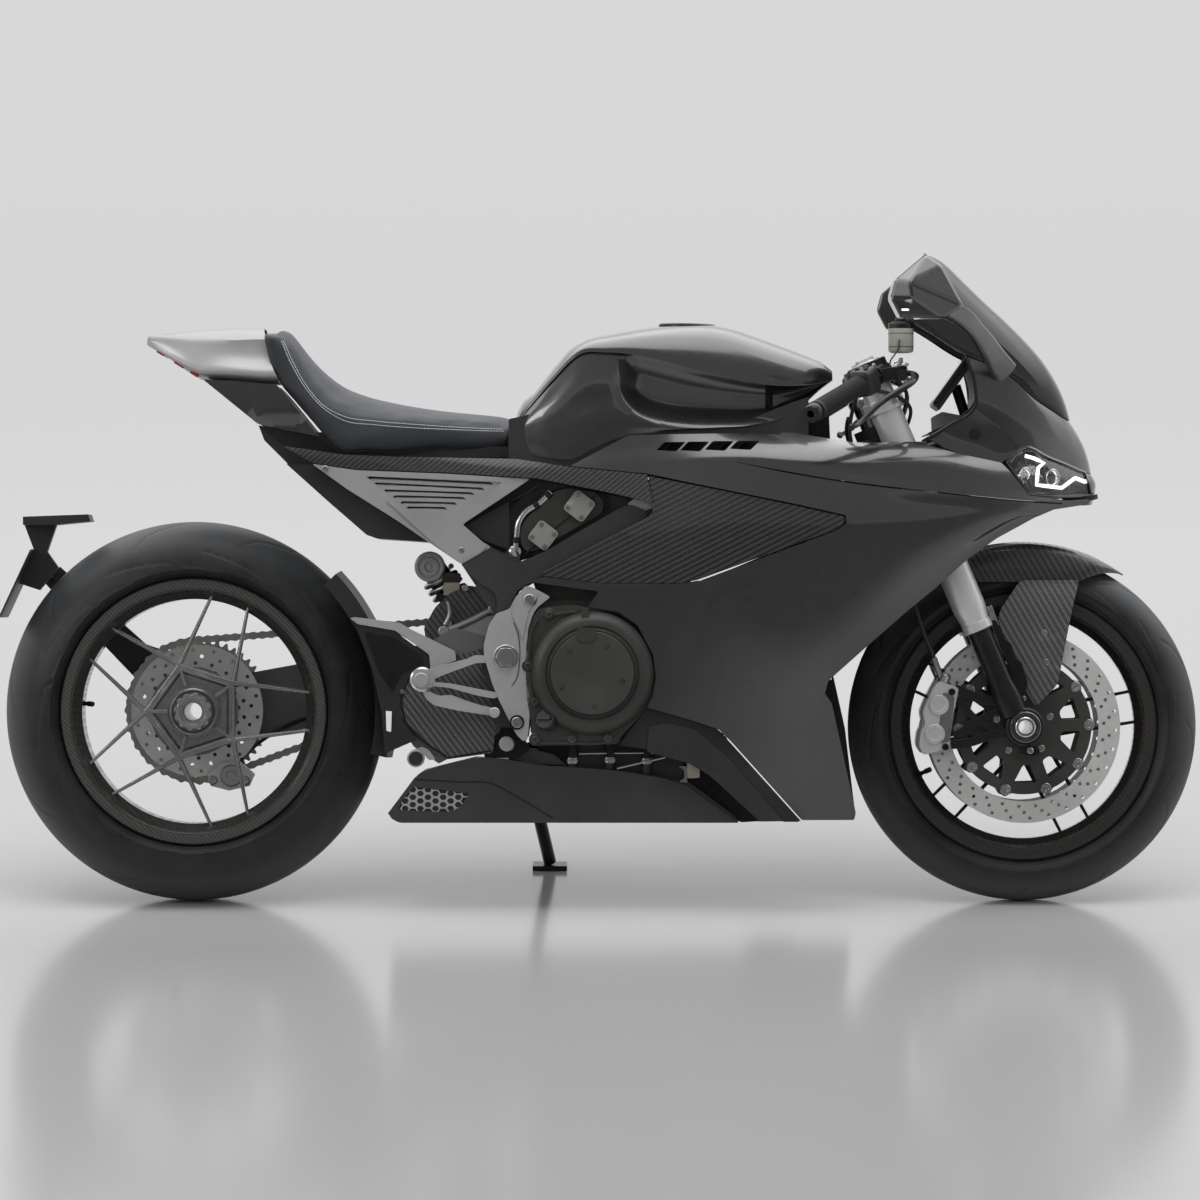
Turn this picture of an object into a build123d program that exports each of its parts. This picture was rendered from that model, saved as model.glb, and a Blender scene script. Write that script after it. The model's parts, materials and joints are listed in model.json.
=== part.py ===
# Sport bike, leaning on its side stand.
# It is modelled upright in millimetres: +X forward, +Y left, +Z up, ground at z = 0,
# and then leaned over to the left as it parks.
import os
from math import asin, atan2, cos, degrees, hypot, pi, radians, sin, tan

from build123d import *

# wheels and stance
wheelbase = 1422
rear_axle_x = -696
front_axle_x = rear_axle_x + wheelbase
rear_tyre_r = 326
rear_tyre_half = 100
front_tyre_r = 300
front_tyre_half = 61
bead_r = 216
flange_r = 229
rear_rim_half = 76
front_rim_half = 44.5
flange_wall = 7
tyre_wall = 9
lean = 10
axle_gap = 0.3
axle_bore_r = 15
front_axle_r = 17.5
front_bore_r = 12
front_axle_half = 132
rear_axle_r = 25
rear_bore_length = 230
front_disc_r = 165
disc_wall = 5
spoke_pair_gap = 9
front_star_turn = 10

# steering
rake = 23
axis_behind_axle = 36
fork_behind_axle = 8
fork_spread = 105
fork_outer_r = 27
fork_inner_r = 21.5
lock_angle = 24

# walls and clearances
panel = 4

# drive
chain_pitch = 15.875
rear_teeth = 48
front_teeth = 15
chain_y = 130
sprocket_wall = 8
front_sprocket_x = -110
front_sprocket_z = 455

# swingarm pivot and engine
pivot_x = -160
pivot_z = 420
engine_half = 150
clutch_x = -13
clutch_z = 393
clutch_r = 95

rear_hub = Vector(rear_axle_x, 0, rear_tyre_r)
front_hub = Vector(front_axle_x, 0, front_tyre_r)
up_fork = Vector(-sin(radians(rake)), 0, cos(radians(rake)))
back_fork = Vector(-cos(radians(rake)), 0, -sin(radians(rake)))
steer_base = front_hub + back_fork * axis_behind_axle
fork_base = front_hub + back_fork * fork_behind_axle
rear_pitch_r = chain_pitch / (2 * sin(pi / rear_teeth))
front_pitch_r = chain_pitch / (2 * sin(pi / front_teeth))

parts = {}


def add(name, *shapes):
    """Keep a node made of these shapes, fused where they meet."""
    whole = shapes[0]
    for shape in shapes[1:]:
        whole = whole + shape
    parts[name] = whole


def outline(points, y_low, y_high):
    """A flat plate: x, z points, from y_low to y_high."""
    face = make_face(Polyline(*[(x, y_low, z) for x, z in points], close=True))
    return extrude(face, amount=y_high - y_low, dir=(0, 1, 0))


def rod(start, end, radius, bore=0):
    """A round bar or tube between two points."""
    a, b = Vector(start), Vector(end)
    plane = Plane(origin=a, z_dir=b - a)
    low = (Align.CENTER, Align.CENTER, Align.MIN)
    solid = plane * Cylinder(radius, (b - a).length, align=low)
    if bore:
        solid = solid - plane * Cylinder(bore, (b - a).length, align=low)
    return solid


def bar(start, end, width, height, up=(0, 0, 1)):
    """A rectangular bar between two points."""
    a, b = Vector(start), Vector(end)
    along = (b - a).normalized()
    side = Vector(up).cross(along).normalized()
    plane = Plane(origin=a, x_dir=side, z_dir=along)
    low = (Align.CENTER, Align.CENTER, Align.MIN)
    return plane * Box(width, height, (b - a).length, align=low)


def turned(profile, hub):
    """A ring turned about the y axis through hub: y, radius points."""
    points = [(hub.X, hub.Y + y, hub.Z + r) for y, r in profile]
    face = make_face(Polyline(*points, close=True))
    return revolve(face, axis=Axis(hub, (0, 1, 0)), revolution_arc=360)


def ring(hub, outer, inner, y_low, y_high):
    return turned([(y_low, inner), (y_high, inner), (y_high, outer), (y_low, outer)], hub)


def both(shape):
    """The shape and its mirror image on the other side."""
    return shape, mirror(shape, Plane.XZ)


def along_fork(distance, y=0.0):
    return fork_base + up_fork * distance + Vector(0, y, 0)


def along_steer(distance, y=0.0, ahead=0.0):
    return steer_base + up_fork * distance - back_fork * ahead + Vector(0, y, 0)


def slab(stations, ruled=False):
    """A solid through sections: each is x and half-width, z points from bottom to top."""
    faces = []
    for x, half in stations:
        right = [(x, -y, z) for y, z in half]
        left = [(x, y, z) for y, z in reversed(half) if y > 0]
        faces.append(make_face(Polyline(*(right + left), close=True)))
    return loft(faces, ruled=ruled)


def shell(stations, wall):
    """A thin side skin on the right: each station is x and y, z points from top to bottom."""
    faces = []
    for x, points in stations:
        inner = []
        for i, (y, z) in enumerate(points):
            y0, z0 = points[max(i - 1, 0)]
            y1, z1 = points[min(i + 1, len(points) - 1)]
            length = hypot(y1 - y0, z1 - z0)
            inner.append((y + wall * (z1 - z0) / length, z - wall * (y1 - y0) / length))
        loop = [(x, -y, z) for y, z in points] + [(x, -y, z) for y, z in reversed(inner)]
        faces.append(make_face(Polyline(*loop, close=True)))
    return loft(faces)


# side skin of the whole bike, section by section: x, then y, z at the deck edge, top edge,
# shoulder, widest line, lower crease, lower edge and foot
side_sections = [
    (-560, (100, 800), (112, 790), (118, 770), (115, 700), (110, 600), (100, 400), (90, 130)),
    (-350, (110, 790), (122, 775), (130, 755), (132, 680), (125, 560), (115, 400), (100, 130)),
    (-130, (125, 775), (142, 755), (152, 730), (165, 640), (170, 520), (165, 300), (140, 130)),
    (80, (150, 800), (156, 770), (168, 735), (192, 640), (196, 480), (182, 300), (150, 130)),
    (232, (146, 803), (180, 757), (188, 750), (214, 640), (208, 470), (182, 300), (148, 130)),
    (330, (128, 803), (190, 758), (204, 734), (222, 640), (206, 430), (180, 300), (145, 130)),
    (430, (150, 786), (185, 765), (212, 719), (221, 642), (208, 500), (195, 420), (140, 130)),
    (556, (148, 787), (169, 776), (200, 704), (205, 652), (200, 583), (178, 526), (130, 130)),
    (640, (130, 772), (152, 760), (182, 695), (184, 662), (178, 628), (158, 597), (120, 130)),
    (720, (112, 755), (128, 742), (143, 690), (143, 676), (138, 662), (122, 648), (100, 130)),
    (800, (76, 740), (85, 722), (92, 692), (91, 676), (86, 660), (76, 645), (60, 130)),
]
side_skin = shell([(row[0], list(row[1:])) for row in side_sections], panel)

# the lines that the side panels share, x and z
band_top = [(-542, 780), (-440, 765), (-346, 761), (-142, 757), (-51, 743), (80, 730), (165, 712),
            (336, 677), (414, 659)]
band_foot = [(-491, 751), (-414, 740), (-261, 734), (-107, 724), (-5, 704), (89, 682)]
carbon_foot = [(415, 648), (403, 637), (166, 548), (135, 531), (-4, 531), (-126, 545)]
spar_top = [(-97, 565), (80, 658), (89, 682)]
clutch_edge = [(-4, 529), (-21, 505), (30, 496), (64, 474), (90, 424), (95, 385), (90, 356), (79, 334)]
arch_edge = [(828, 693), (777, 675), (743, 660), (676, 622), (625, 586), (566, 534), (524, 500),
             (453, 438), (388, 380), (382, 358), (394, 341), (415, 247), (436, 154), (433, 142)]
duct_edge = [(344, 142), (224, 275), (202, 297), (151, 314)]
fairing_top = [(-51, 745), (49, 798), (290, 806), (355, 812), (556, 800), (556, 781), (606, 767),
               (684, 752), (728, 691)]
side_reach = (-260, -60)


def side_panels():
    carbon = spar_top + [(81, 730)] + band_top[6:] + carbon_foot
    band = band_top[:6] + [(89, 682)] + list(reversed(band_foot[:-1]))
    fairing = fairing_top + arch_edge + duct_edge + list(reversed(clutch_edge))
    fairing = fairing + [(-4, 532), (100, 600)]
    cut_carbon = outline(carbon, *side_reach)
    cut_band = outline(band, *side_reach)
    return {"carbon_side": side_skin & cut_carbon, "carbon_band": side_skin & cut_band,
            "fairing": (side_skin & outline(fairing, *side_reach)) - cut_carbon - cut_band}


def reach(x, z, start, radius=7):
    """A stay from y = start out to the inside of the side skin."""
    pieces = (rod((x, -start, z), (x, side_reach[0], z), radius) - side_skin).solids()
    return max(pieces, key=lambda piece: piece.center().Y)


for label, piece in side_panels().items():
    add(label, *both(piece))

# tank: x, then y, z at the keel, lower edge, lip, recess, crease, shoulder and crown
tank_sections = [
    (-150, (0, 784), (88, 784), (92, 800), (92, 808), (86, 814), (60, 818), (0, 820)),
    (-110, (0, 770), (122, 768), (122, 800), (121, 830), (112, 862), (70, 874), (0, 877)),
    (-47, (0, 762), (143, 758), (140, 815), (137, 870), (127, 932), (80, 948), (0, 953)),
    (30, (0, 770), (143, 793), (144, 832), (140, 870), (136, 941), (85, 968), (0, 976)),
    (110, (0, 790), (143, 803), (144, 815), (112, 860), (139, 930), (88, 978), (0, 988)),
    (200, (0, 800), (139, 808), (142, 816), (104, 855), (136, 903), (84, 978), (0, 990)),
    (290, (0, 815), (128, 818), (130, 826), (96, 850), (122, 886), (72, 950), (0, 963)),
    (350, (0, 850), (98, 852), (98, 858), (92, 868), (96, 886), (56, 928), (0, 940)),
    (396, (0, 890), (48, 890), (50, 892), (50, 895), (46, 900), (24, 912), (0, 916)),
]
add("tank", slab([(row[0], list(row[1:])) for row in tank_sections]))

# seat: x, half-width, underside z, top z
seat_sections = [
    (-572, 96, 948, 979), (-545, 106, 886, 980), (-520, 112, 857, 962), (-495, 118, 826, 926),
    (-445, 124, 782, 882), (-350, 122, 780, 850), (-250, 112, 781, 836), (-152, 95, 784, 828),
]
seat_stations = []
for x, half, low, high in seat_sections:
    corners = [(0, low), (half - 8, low), (half, (low + high) / 2), (half - 14, high - 9), (0, high)]
    seat_stations.append((x, corners))
add("seat", slab(seat_stations, ruled=True))

# tail: x, half-width, underside z, top z
tail_sections = [
    (-777, 60, 957, 967), (-740, 78, 932, 973), (-683, 96, 897, 978), (-620, 104, 892, 980),
    (-546, 106, 887, 981),
]
tail_line = [(-790, 940), (-765, 948), (-683, 898), (-551, 888), (-555, 895), (-572, 943), (-575, 990),
             (-790, 990)]
tail_stations = []
for x, half, low, high in tail_sections:
    corners = [(0, low), (half - 10, low), (half, (low + high) / 2), (half - 12, high - 6), (0, high)]
    tail_stations.append((x, corners))
tail_block = slab(tail_stations, ruled=True)
add("tail_cowl", tail_block & outline(tail_line, -130, 130))
tail_low_line = [(-680, 896), (-552, 886), (-525, 855), (-480, 806), (-540, 806), (-585, 817)]
tail_low_sections = [(-690, 84, 800, 900), (-600, 100, 800, 900), (-460, 118, 790, 900)]
tail_low = slab([(x, [(0, low), (half - 20, low), (half, high - 30), (half - 4, high), (0, high)])
                 for x, half, low, high in tail_low_sections], ruled=True)
add("tail_under", tail_low & outline(tail_low_line, -130, 130))
tray_line = [(-584, 816), (-540, 804), (-474, 804), (-448, 779.7), (-152, 779.7), (-152, 762), (-346, 757),
             (-346, 651), (-292, 616), (-381, 622), (-398, 628), (-467, 688), (-536, 752), (-574, 790)]
tray_half = 124
tray_wide = [(-492, 747), (-414, 739.7), (-261, 733.7), (-152, 727), (-152, 700), (-346, 651), (-292, 616),
             (-381, 622), (-398, 628), (-467, 688)]
add("undertray", outline(tray_line, -96, 96), outline(tray_wide, -tray_half, tray_half))

# silver subframe sides with louvres
subframe_line = [(-491, 749), (-414, 738), (-261, 732), (-119, 723), (-231, 648), (-235, 641), (-226, 632),
                 (-185, 607), (-236, 578), (-294, 617), (-345, 652), (-431, 706)]
louvres = [(-397, 723, -181, 713), (-388, 713, -196, 704), (-371, 701, -213, 696), (-354, 691, -228, 688),
           (-342, 681, -243, 679), (-332, 672, -260, 671)]
louvre_height = 5
subframe = outline(subframe_line, -148, -tray_half)
for x0, z0, x1, z1 in louvres:
    slot = [(x0, z0), (x1, z1), (x1 - 6, z1 + louvre_height), (x0 + 6, z0 + louvre_height)]
    subframe -= outline(slot, -160, -90)
add("subframe", *both(subframe))

# main frame: head tube, side beams and pivot plates
head_low, head_high = 430, 575
frame_stays = [(40, 620), (250, 710), (-40, 560)]
beam_line = [(-236, 578), (-185, 607), (-134, 583), (84, 672), (300, 745), (330, 760), (345, 720),
             (300, 690), (93, 657), (-120, 544), (-140, 532), (-152, 500), (-130, 300), (-175, 300),
             (-205, 420), (-181, 495)]
beam = outline(beam_line, -158, -142) - rod((pivot_x, -170, pivot_z), (pivot_x, -120, pivot_z), 15)
head = rod(along_steer(head_low), along_steer(head_high), 34, 20)
neck = bar((322, -145, 735), along_steer(520, -30), 24, 60)
neck -= rod(along_steer(head_low - 40), along_steer(head_high + 40), 28)
for x, z in frame_stays:
    beam += reach(x, z, 150)
right_beam, left_beam = both(beam + neck)
tie = rod((-150, -145, 590), (-150, 145, 590), 14)
add("main_frame", head, right_beam, left_beam, tie)

# engine
crank_line = [(-118, 292), (-124, 450), (-105, 516), (60, 516), (150, 480), (205, 400), (205, 310),
              (160, 275), (-95, 275)]
bank_line = [(-104, 516), (-118, 560), (-100, 660), (-40, 705), (60, 690), (150, 620), (160, 480)]
pocket = ring(Vector(front_sprocket_x, 0, front_sprocket_z), 56, 0, 112, 200)
pocket += outline([(-140, 395), (-110, 399), (-110, 520), (-140, 520)], 112, 200)
add("engine_block", outline(crank_line, -engine_half, engine_half) - pocket, outline(bank_line, -126, 110))
clutch_hub = Vector(clutch_x, 0, clutch_z)
clutch_profile = [(-engine_half, 0), (-engine_half, 107), (-190, 105), (-203, clutch_r), (-203, 76),
                  (-212, 71), (-212, 0)]
add("clutch_cover", turned(clutch_profile, clutch_hub))
stator_hub = Vector(clutch_x + 20, 0, clutch_z)
add("stator_cover", turned([(engine_half, 0), (engine_half, 88), (185, 82), (193, 70), (193, 0)], stator_hub))
sump_line = [(-60, 275), (150, 275), (140, 208), (84, 216.2), (-40, 228.4)]
add("sump", outline(sump_line, -110, 110))
radiator = outline([(292, 300), (330, 302), (372, 620), (334, 618)], -140, 140)
for y in (-90, 90):
    radiator += rod((205, y, 350), (305, y, 350), 8)
add("radiator", radiator)

# exhaust box under the engine
box_line = [(-317, 213), (-302, 224), (-215, 246), (-121, 242), (-80, 232), (84, 216), (152, 206), (229, 149),
            (237, 139), (-355, 146), (-362, 153)]
add("exhaust_box", outline(box_line, -130, 104))
strut_line = [(79, 333), (151, 313), (201, 296), (222, 274), (342, 141), (271, 140), (229, 187), (169, 242),
              (117, 258), (32, 270)]
add("ducts", *both(outline(strut_line, -166, -150)))

# footrest plates, pegs and pedals
plate_line = [(-126, 543), (-86, 524), (-106, 512), (-117, 482), (-131, 448), (-137, 413), (-137, 379),
              (-127, 346), (-121, 287), (-142, 287), (-153, 296), (-167, 345), (-190, 413), (-199, 430),
              (-194, 447), (-180, 491), (-152, 507), (-140, 532)]
peg_x, peg_z = -302, 382
stay_line = [(-200, 448), (-240, 420), (-296, 394), (-312, 386), (-306, 370), (-296, 372), (-178, 350),
             (-184, 368), (-262, 380), (-232, 402), (-196, 425)]
plate = outline(plate_line, -174, -160) + outline(stay_line, -174, -160)
plate -= rod((pivot_x, -180, pivot_z), (pivot_x, -150, pivot_z), 15)
peg = rod((peg_x, -160, peg_z), (peg_x, -285, peg_z), 11)
pedal = bar((-298, -181, 368), (-182, -181, 326), 8, 12) + rod((-180, -177, 325), (-180, -215, 325), 8)
pedal += rod((peg_x, -186, peg_z), (peg_x, -174.3, peg_z), 18)
pedal -= rod((peg_x, -200, peg_z), (peg_x, -160, peg_z), 11.3)
add("footrests", *both(plate + peg))
add("pedals", *both(pedal))

# swingarm: pivot body, left beam inside the chain loop, and hub carrier
body_line = [(-140, 440), (-250, 470), (-330, 420), (-335, 360), (-344, 309), (-318, 267), (-275, 238),
             (-173, 290), (-140, 390)]
pivot_body = outline(body_line, -128, 118)
beam_left = outline([(-300, 440), (-420, 425), (-600, 392), (-700, 380), (-700, 272), (-600, 274),
                     (-500, 296), (-340, 356)], 106, 122)
carrier = ring(rear_hub, 88, 0, 58, 122)
pivot_pin_r = 14.7
pivot_pin = rod((pivot_x, -185, pivot_z), (pivot_x, 185, pivot_z), pivot_pin_r)
caliper_lug = outline([(-720, 330), (-640, 330), (-606, 205), (-650, 196)], 58, 70)
swingarm = pivot_body + beam_left + carrier + caliper_lug
swingarm -= rod((pivot_x, -200, pivot_z), (pivot_x, 200, pivot_z), pivot_pin_r + 0.2)
swingarm -= rod(rear_hub, rear_hub + Vector(0, 200, 0), rear_axle_r + axle_gap)
add("swingarm", swingarm)
add("pivot_pin", pivot_pin)
hugger_rise = [(-112, -14), (-116, -14), (-108, 14), (0, 22), (108, 14), (116, -14), (112, -14), (104, 10),
               (0, 18), (-104, 10)]
hugger_profile = [(y, rear_tyre_r + rise) for y, rise in hugger_rise]
hugger_ring = turned(hugger_profile, rear_hub)
wedge = outline([(rear_axle_x, rear_tyre_r), (-100, 185), (-100, 900)], -200, 200)
arm_way = outline([(-700, 250), (-300, 250), (-300, 470), (-700, 470)], 100, 130)
brace = outline([(-425, 486), (-345, 478), (-242, 421), (-242, 409), (-288, 398), (-290, 429), (-344, 459),
                 (-420, 476)], -138, -128)
boss = rod((-405, -138, 470), (-405, -112, 470), 8)
add("hugger", (hugger_ring & wedge) - arm_way, brace, boss)
shock_top, shock_foot = Vector(-326, 0, 604), Vector(-222, 0, 475)
shock = rod(shock_top + (shock_foot - shock_top) * 0.15, shock_top + (shock_foot - shock_top) * 0.85, 30)
for eye in (shock_top, shock_foot):
    shock += rod(eye - Vector(0, 16, 0), eye + Vector(0, 16, 0), 12)
shock += rod(shock_top, shock_foot, 9)
add("shock", shock)

# chain
def loop_face(gap, y):
    """The chain's run round both sprockets, gap outside the pitch line."""
    a = Vector(rear_axle_x, y, rear_tyre_r)
    b = Vector(front_sprocket_x, y, front_sprocket_z)
    ra, rb = rear_pitch_r + gap, front_pitch_r + gap
    run = b - a
    base = atan2(run.Z, run.X)
    open_angle = asin((ra - rb) / run.length)
    top, foot = base + pi / 2 - open_angle, base - pi / 2 + open_angle

    def on(centre, radius, angle):
        return centre + Vector(cos(angle), 0, sin(angle)) * radius
    edges = [Line(on(a, ra, top), on(b, rb, top)),
             ThreePointArc(on(b, rb, top), on(b, rb, base), on(b, rb, foot)),
             Line(on(b, rb, foot), on(a, ra, foot)),
             ThreePointArc(on(a, ra, foot), on(a, ra, base + pi), on(a, ra, top))]
    return make_face(Wire(edges))


def chain_plate(y_low, y_high):
    face = loop_face(7.2, y_low) - loop_face(-7.2, y_low)
    return extrude(face, amount=y_high - y_low, dir=(0, 1, 0))


half_tooth = sprocket_wall / 2
chain = chain_plate(chain_y - half_tooth - 5.5, chain_y - half_tooth - 1.5)
chain += chain_plate(chain_y + half_tooth + 1.5, chain_y + half_tooth + 5.5)
for share in (0.3, 0.5, 0.7):
    for angle in (1, -1):
        a = rear_hub + Vector(0, chain_y, 0)
        b = Vector(front_sprocket_x, chain_y, front_sprocket_z)
        run = b - a
        turn = angle * (pi / 2 - asin((rear_pitch_r - front_pitch_r) / run.length)) + atan2(run.Z, run.X)
        out = Vector(cos(turn), 0, sin(turn))
        spot = a + out * rear_pitch_r + (b - a + out * (front_pitch_r - rear_pitch_r)) * share
        chain += rod(spot - Vector(0, half_tooth + 4, 0), spot + Vector(0, half_tooth + 4, 0), 5)
add("chain", chain)
drive_hub = Vector(front_sprocket_x, 0, front_sprocket_z)
add("front_sprocket", ring(drive_hub, front_pitch_r - 5.5, 0, chain_y - half_tooth, chain_y + half_tooth),
    ring(drive_hub, 25, 0, 112, chain_y - half_tooth))

# rear wheel
def rim_profile(half):
    wall = flange_wall
    return [(-half - wall, flange_r), (-half, flange_r), (-half, bead_r), (-half + 24, bead_r - 4),
            (-half + 32, bead_r - 18), (half - 32, bead_r - 18), (half - 24, bead_r - 4), (half, bead_r),
            (half, flange_r), (half + wall, flange_r), (half + wall, bead_r - 8), (half - 20, bead_r - 12),
            (half - 30, bead_r - 24), (-half + 30, bead_r - 24), (-half + 20, bead_r - 12),
            (-half - wall, bead_r - 8)]


def tyre_solid(hub, radius, half, rim_half):
    """A tyre whose crown is one arc as wide as the tyre."""
    crown = half - 1
    centre = radius - crown
    low = centre + crown * cos(radians(80))
    edge = crown * sin(radians(80))

    def at(y, r):
        return Vector(hub.X, hub.Y + y, hub.Z + r)
    inner = crown - tyre_wall
    inner_low = centre + inner * cos(radians(80))
    inner_edge = inner * sin(radians(80))
    edges = [ThreePointArc(at(-edge, low), at(0, radius), at(edge, low)),
             Line(at(edge, low), at(rim_half, flange_r)), Line(at(rim_half, flange_r), at(rim_half, bead_r)),
             Line(at(rim_half, bead_r), at(rim_half - 14, bead_r)),
             Line(at(rim_half - 14, bead_r), at(inner_edge, inner_low)),
             ThreePointArc(at(inner_edge, inner_low), at(0, radius - tyre_wall),
                           at(-inner_edge, inner_low)),
             Line(at(-inner_edge, inner_low), at(-rim_half + 14, bead_r)),
             Line(at(-rim_half + 14, bead_r), at(-rim_half, bead_r)),
             Line(at(-rim_half, bead_r), at(-rim_half, flange_r)),
             Line(at(-rim_half, flange_r), at(-edge, low))]
    return revolve(make_face(Wire(edges)), axis=Axis(hub, (0, 1, 0)), revolution_arc=360)


def spoke_star(hub, vertex_r, rim_r, y_hub, y_rim, width, depth, start=0):
    """Five bent bars, each from the rim past two corners of a pentagon back to the rim."""
    def at(radius, angle, y):
        a = radians(angle)
        return hub + Vector(radius * cos(a), y, radius * sin(a))
    star = None
    for turn in range(start, 360 + start, 72):
        stops = [at(rim_r, turn - spoke_pair_gap, y_rim), at(vertex_r, turn - 36, y_hub),
                 at(vertex_r, turn - 108, y_hub), at(rim_r, turn - 144 + spoke_pair_gap, y_rim)]
        for a, b in zip(stops, stops[1:]):
            piece = bar(a, b, depth, width, up=(0, 1, 0))
            star = piece if star is None else star + piece
        for stop in stops[1:3]:
            star += rod(stop - Vector(0, depth / 2, 0), stop + Vector(0, depth / 2, 0), width / 2)
    return star


rear_star = spoke_star(rear_hub, 83, bead_r - 20, -56, -44, 10, 16)
rear_hub_profile = [(-90, axle_bore_r), (-90, 32), (-66, 34), (-66, 92), (-46, 92), (-30, 45), (36, 45),
                    (36, 60), (56, 60), (56, rear_axle_r), (126, rear_axle_r), (126, axle_bore_r)]
rear_hub_body = turned(rear_hub_profile, rear_hub)
add("rear_wheel", turned(rim_profile(rear_rim_half), rear_hub), rear_star, rear_hub_body)
add("rear_tyre", tyre_solid(rear_hub, rear_tyre_r, rear_tyre_half, rear_rim_half))
add("rear_disc", ring(rear_hub, 114, 60, 42, 42 + disc_wall))
sprocket = ring(rear_hub, rear_pitch_r - 5.5, rear_axle_r, chain_y - half_tooth, chain_y + half_tooth)
add("rear_sprocket", sprocket)
add("rear_nut", ring(rear_hub, 34, axle_bore_r, -104, -90))
caliper_line = [(-677, 216), (-655, 236), (-621, 238), (-596, 216), (-605, 196), (-640, 188), (-672, 196)]
rear_caliper = outline(caliper_line, 30, 58) - ring(rear_hub, 116, 0, 38, 51)
add("rear_caliper", rear_caliper)

# number plate carrier behind the rear wheel
hanger = rod((-545, 122, 340), (-545, 158, 340), 14)
hanger_line = [(-535, 352), (-545, 326), (-750, 372), (-800, 372), (-965, 545), (-940, 575), (-790, 440)]
hanger += outline(hanger_line, 146, 158)
hanger += bar((-962, 150, 563), (-962, 14, 563), 22, 16)
add("plate_hanger", hanger)
holder = outline([(-1001, 546), (-964, 534), (-932, 573), (-951, 600), (-935, 646), (-990, 646), (-974, 604)],
                 -14, 14)
lamp = outline([(-990, 660), (-878, 664), (-874, 652), (-935, 646), (-990, 646)], -52, 52)
add("plate_holder", holder + lamp)
plate_wall = 3
plate_top, plate_foot = Vector(-974.4, 0, 604), Vector(-1028.4, 0, 488)
plate_face = (plate_top - plate_foot).cross(Vector(0, 1, 0)).normalized()
number_plate = bar(plate_foot, plate_top, 190, plate_wall, up=plate_face)
plate_step = plate_wall / 2 if plate_face.X < 0 else -plate_wall / 2
number_plate = number_plate.moved(Location(plate_face * plate_step))
plate_hole_r = 3.5
plate_hole_gap = 120
plate_middle = (plate_top + plate_foot) * 0.5
for y in (-plate_hole_gap / 2, plate_hole_gap / 2):
    spot = plate_middle + Vector(0, y, 0)
    number_plate -= rod(spot - plate_face * 10, spot + plate_face * 10, plate_hole_r)
add("number_plate", number_plate)

# fork, turning with the steering
fork_top, fork_split = 680, 182
uppers = None
lowers = None
for y in (-fork_spread, fork_spread):
    leg = rod(along_fork(fork_split, y), along_fork(fork_top, y), fork_outer_r)
    uppers = leg if uppers is None else uppers + leg
    leg = rod(along_fork(24, y), along_fork(fork_split, y), fork_inner_r)
    foot = rod(front_hub + Vector(0, y - 19, 0), front_hub + Vector(0, y + 19, 0), 34)
    lowers = leg + foot if lowers is None else lowers + leg + foot
lower_yoke = bar(along_fork(395, -fork_spread - 30), along_fork(395, fork_spread + 30), 70, 40, up=up_fork)
upper_yoke = bar(along_fork(600, -fork_spread - 30), along_fork(600, fork_spread + 30), 70, 26, up=up_fork)
stem = rod(along_steer(385), along_steer(612), 19.5)
add("fork_uppers", uppers + lower_yoke + upper_yoke + stem)
axle_out = Vector(0, front_axle_half, 0)
lowers -= rod(front_hub - axle_out * 1.1, front_hub + axle_out * 1.1, front_axle_r)
add("fork_lowers", lowers)
add("front_axle", rod(front_hub - axle_out, front_hub + axle_out, front_axle_r, front_bore_r))

guard_rise = [(-66, -12), (-70, -10), (-64, 9), (0, 17), (64, 9), (70, -10), (66, -12), (60, 5), (0, 13),
              (-60, 5)]
guard_profile = [(y, front_tyre_r + rise) for y, rise in guard_rise]
guard_cut = outline([(front_axle_x, front_tyre_r), (front_axle_x + 400, front_tyre_r + 590),
                     (front_axle_x - 235, front_tyre_r + 500)], -200, 200)
leaf_head = [(-26, -48), (-2, -11), (44, -14), (86, -24)]
leaf_foot = [(80, 188), (65, 102), (53, 60), (25, 34), (7, 46), (-13, 85), (-36, 153), (-45, 179)]
leaf_line = [(front_axle_x + x, 2 * front_tyre_r + z) for x, z in leaf_head]
leaf_line += [(front_axle_x + x, front_tyre_r + z) for x, z in leaf_foot]
leaf_cut = outline([(front_axle_x, front_tyre_r), (front_axle_x + 120, front_tyre_r + 400),
                    (front_axle_x - 10, front_tyre_r + 400)], -200, 200)
leaf = outline(leaf_line, -84, -80)
leaf += ring(front_hub, front_tyre_r - 9, front_tyre_r - 14, -84, -64) & leaf_cut
guard_lug = front_tyre_r - 4
leaf += rod(along_fork(guard_lug, -62), along_fork(guard_lug, -fork_spread + fork_outer_r), 9)
add("front_mudguard", turned(guard_profile, front_hub) & guard_cut, *both(leaf))
brake_line = [(578, 379), (613, 367), (604, 324), (596, 264), (554, 252), (545, 267), (562, 350)]
brake_arm = [(600, 352), (690, 326), (690, 284), (598, 290)]
brake = outline(brake_line, -112, -46) - ring(front_hub, front_disc_r + 3, 0, -76, -63)
brake += outline(brake_arm, -112, -84)
brake -= rod(along_fork(0, -fork_spread), along_fork(200, -fork_spread), fork_inner_r)
brake -= rod(front_hub - axle_out, front_hub + axle_out, 34)
add("front_calipers", *both(brake))

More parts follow.
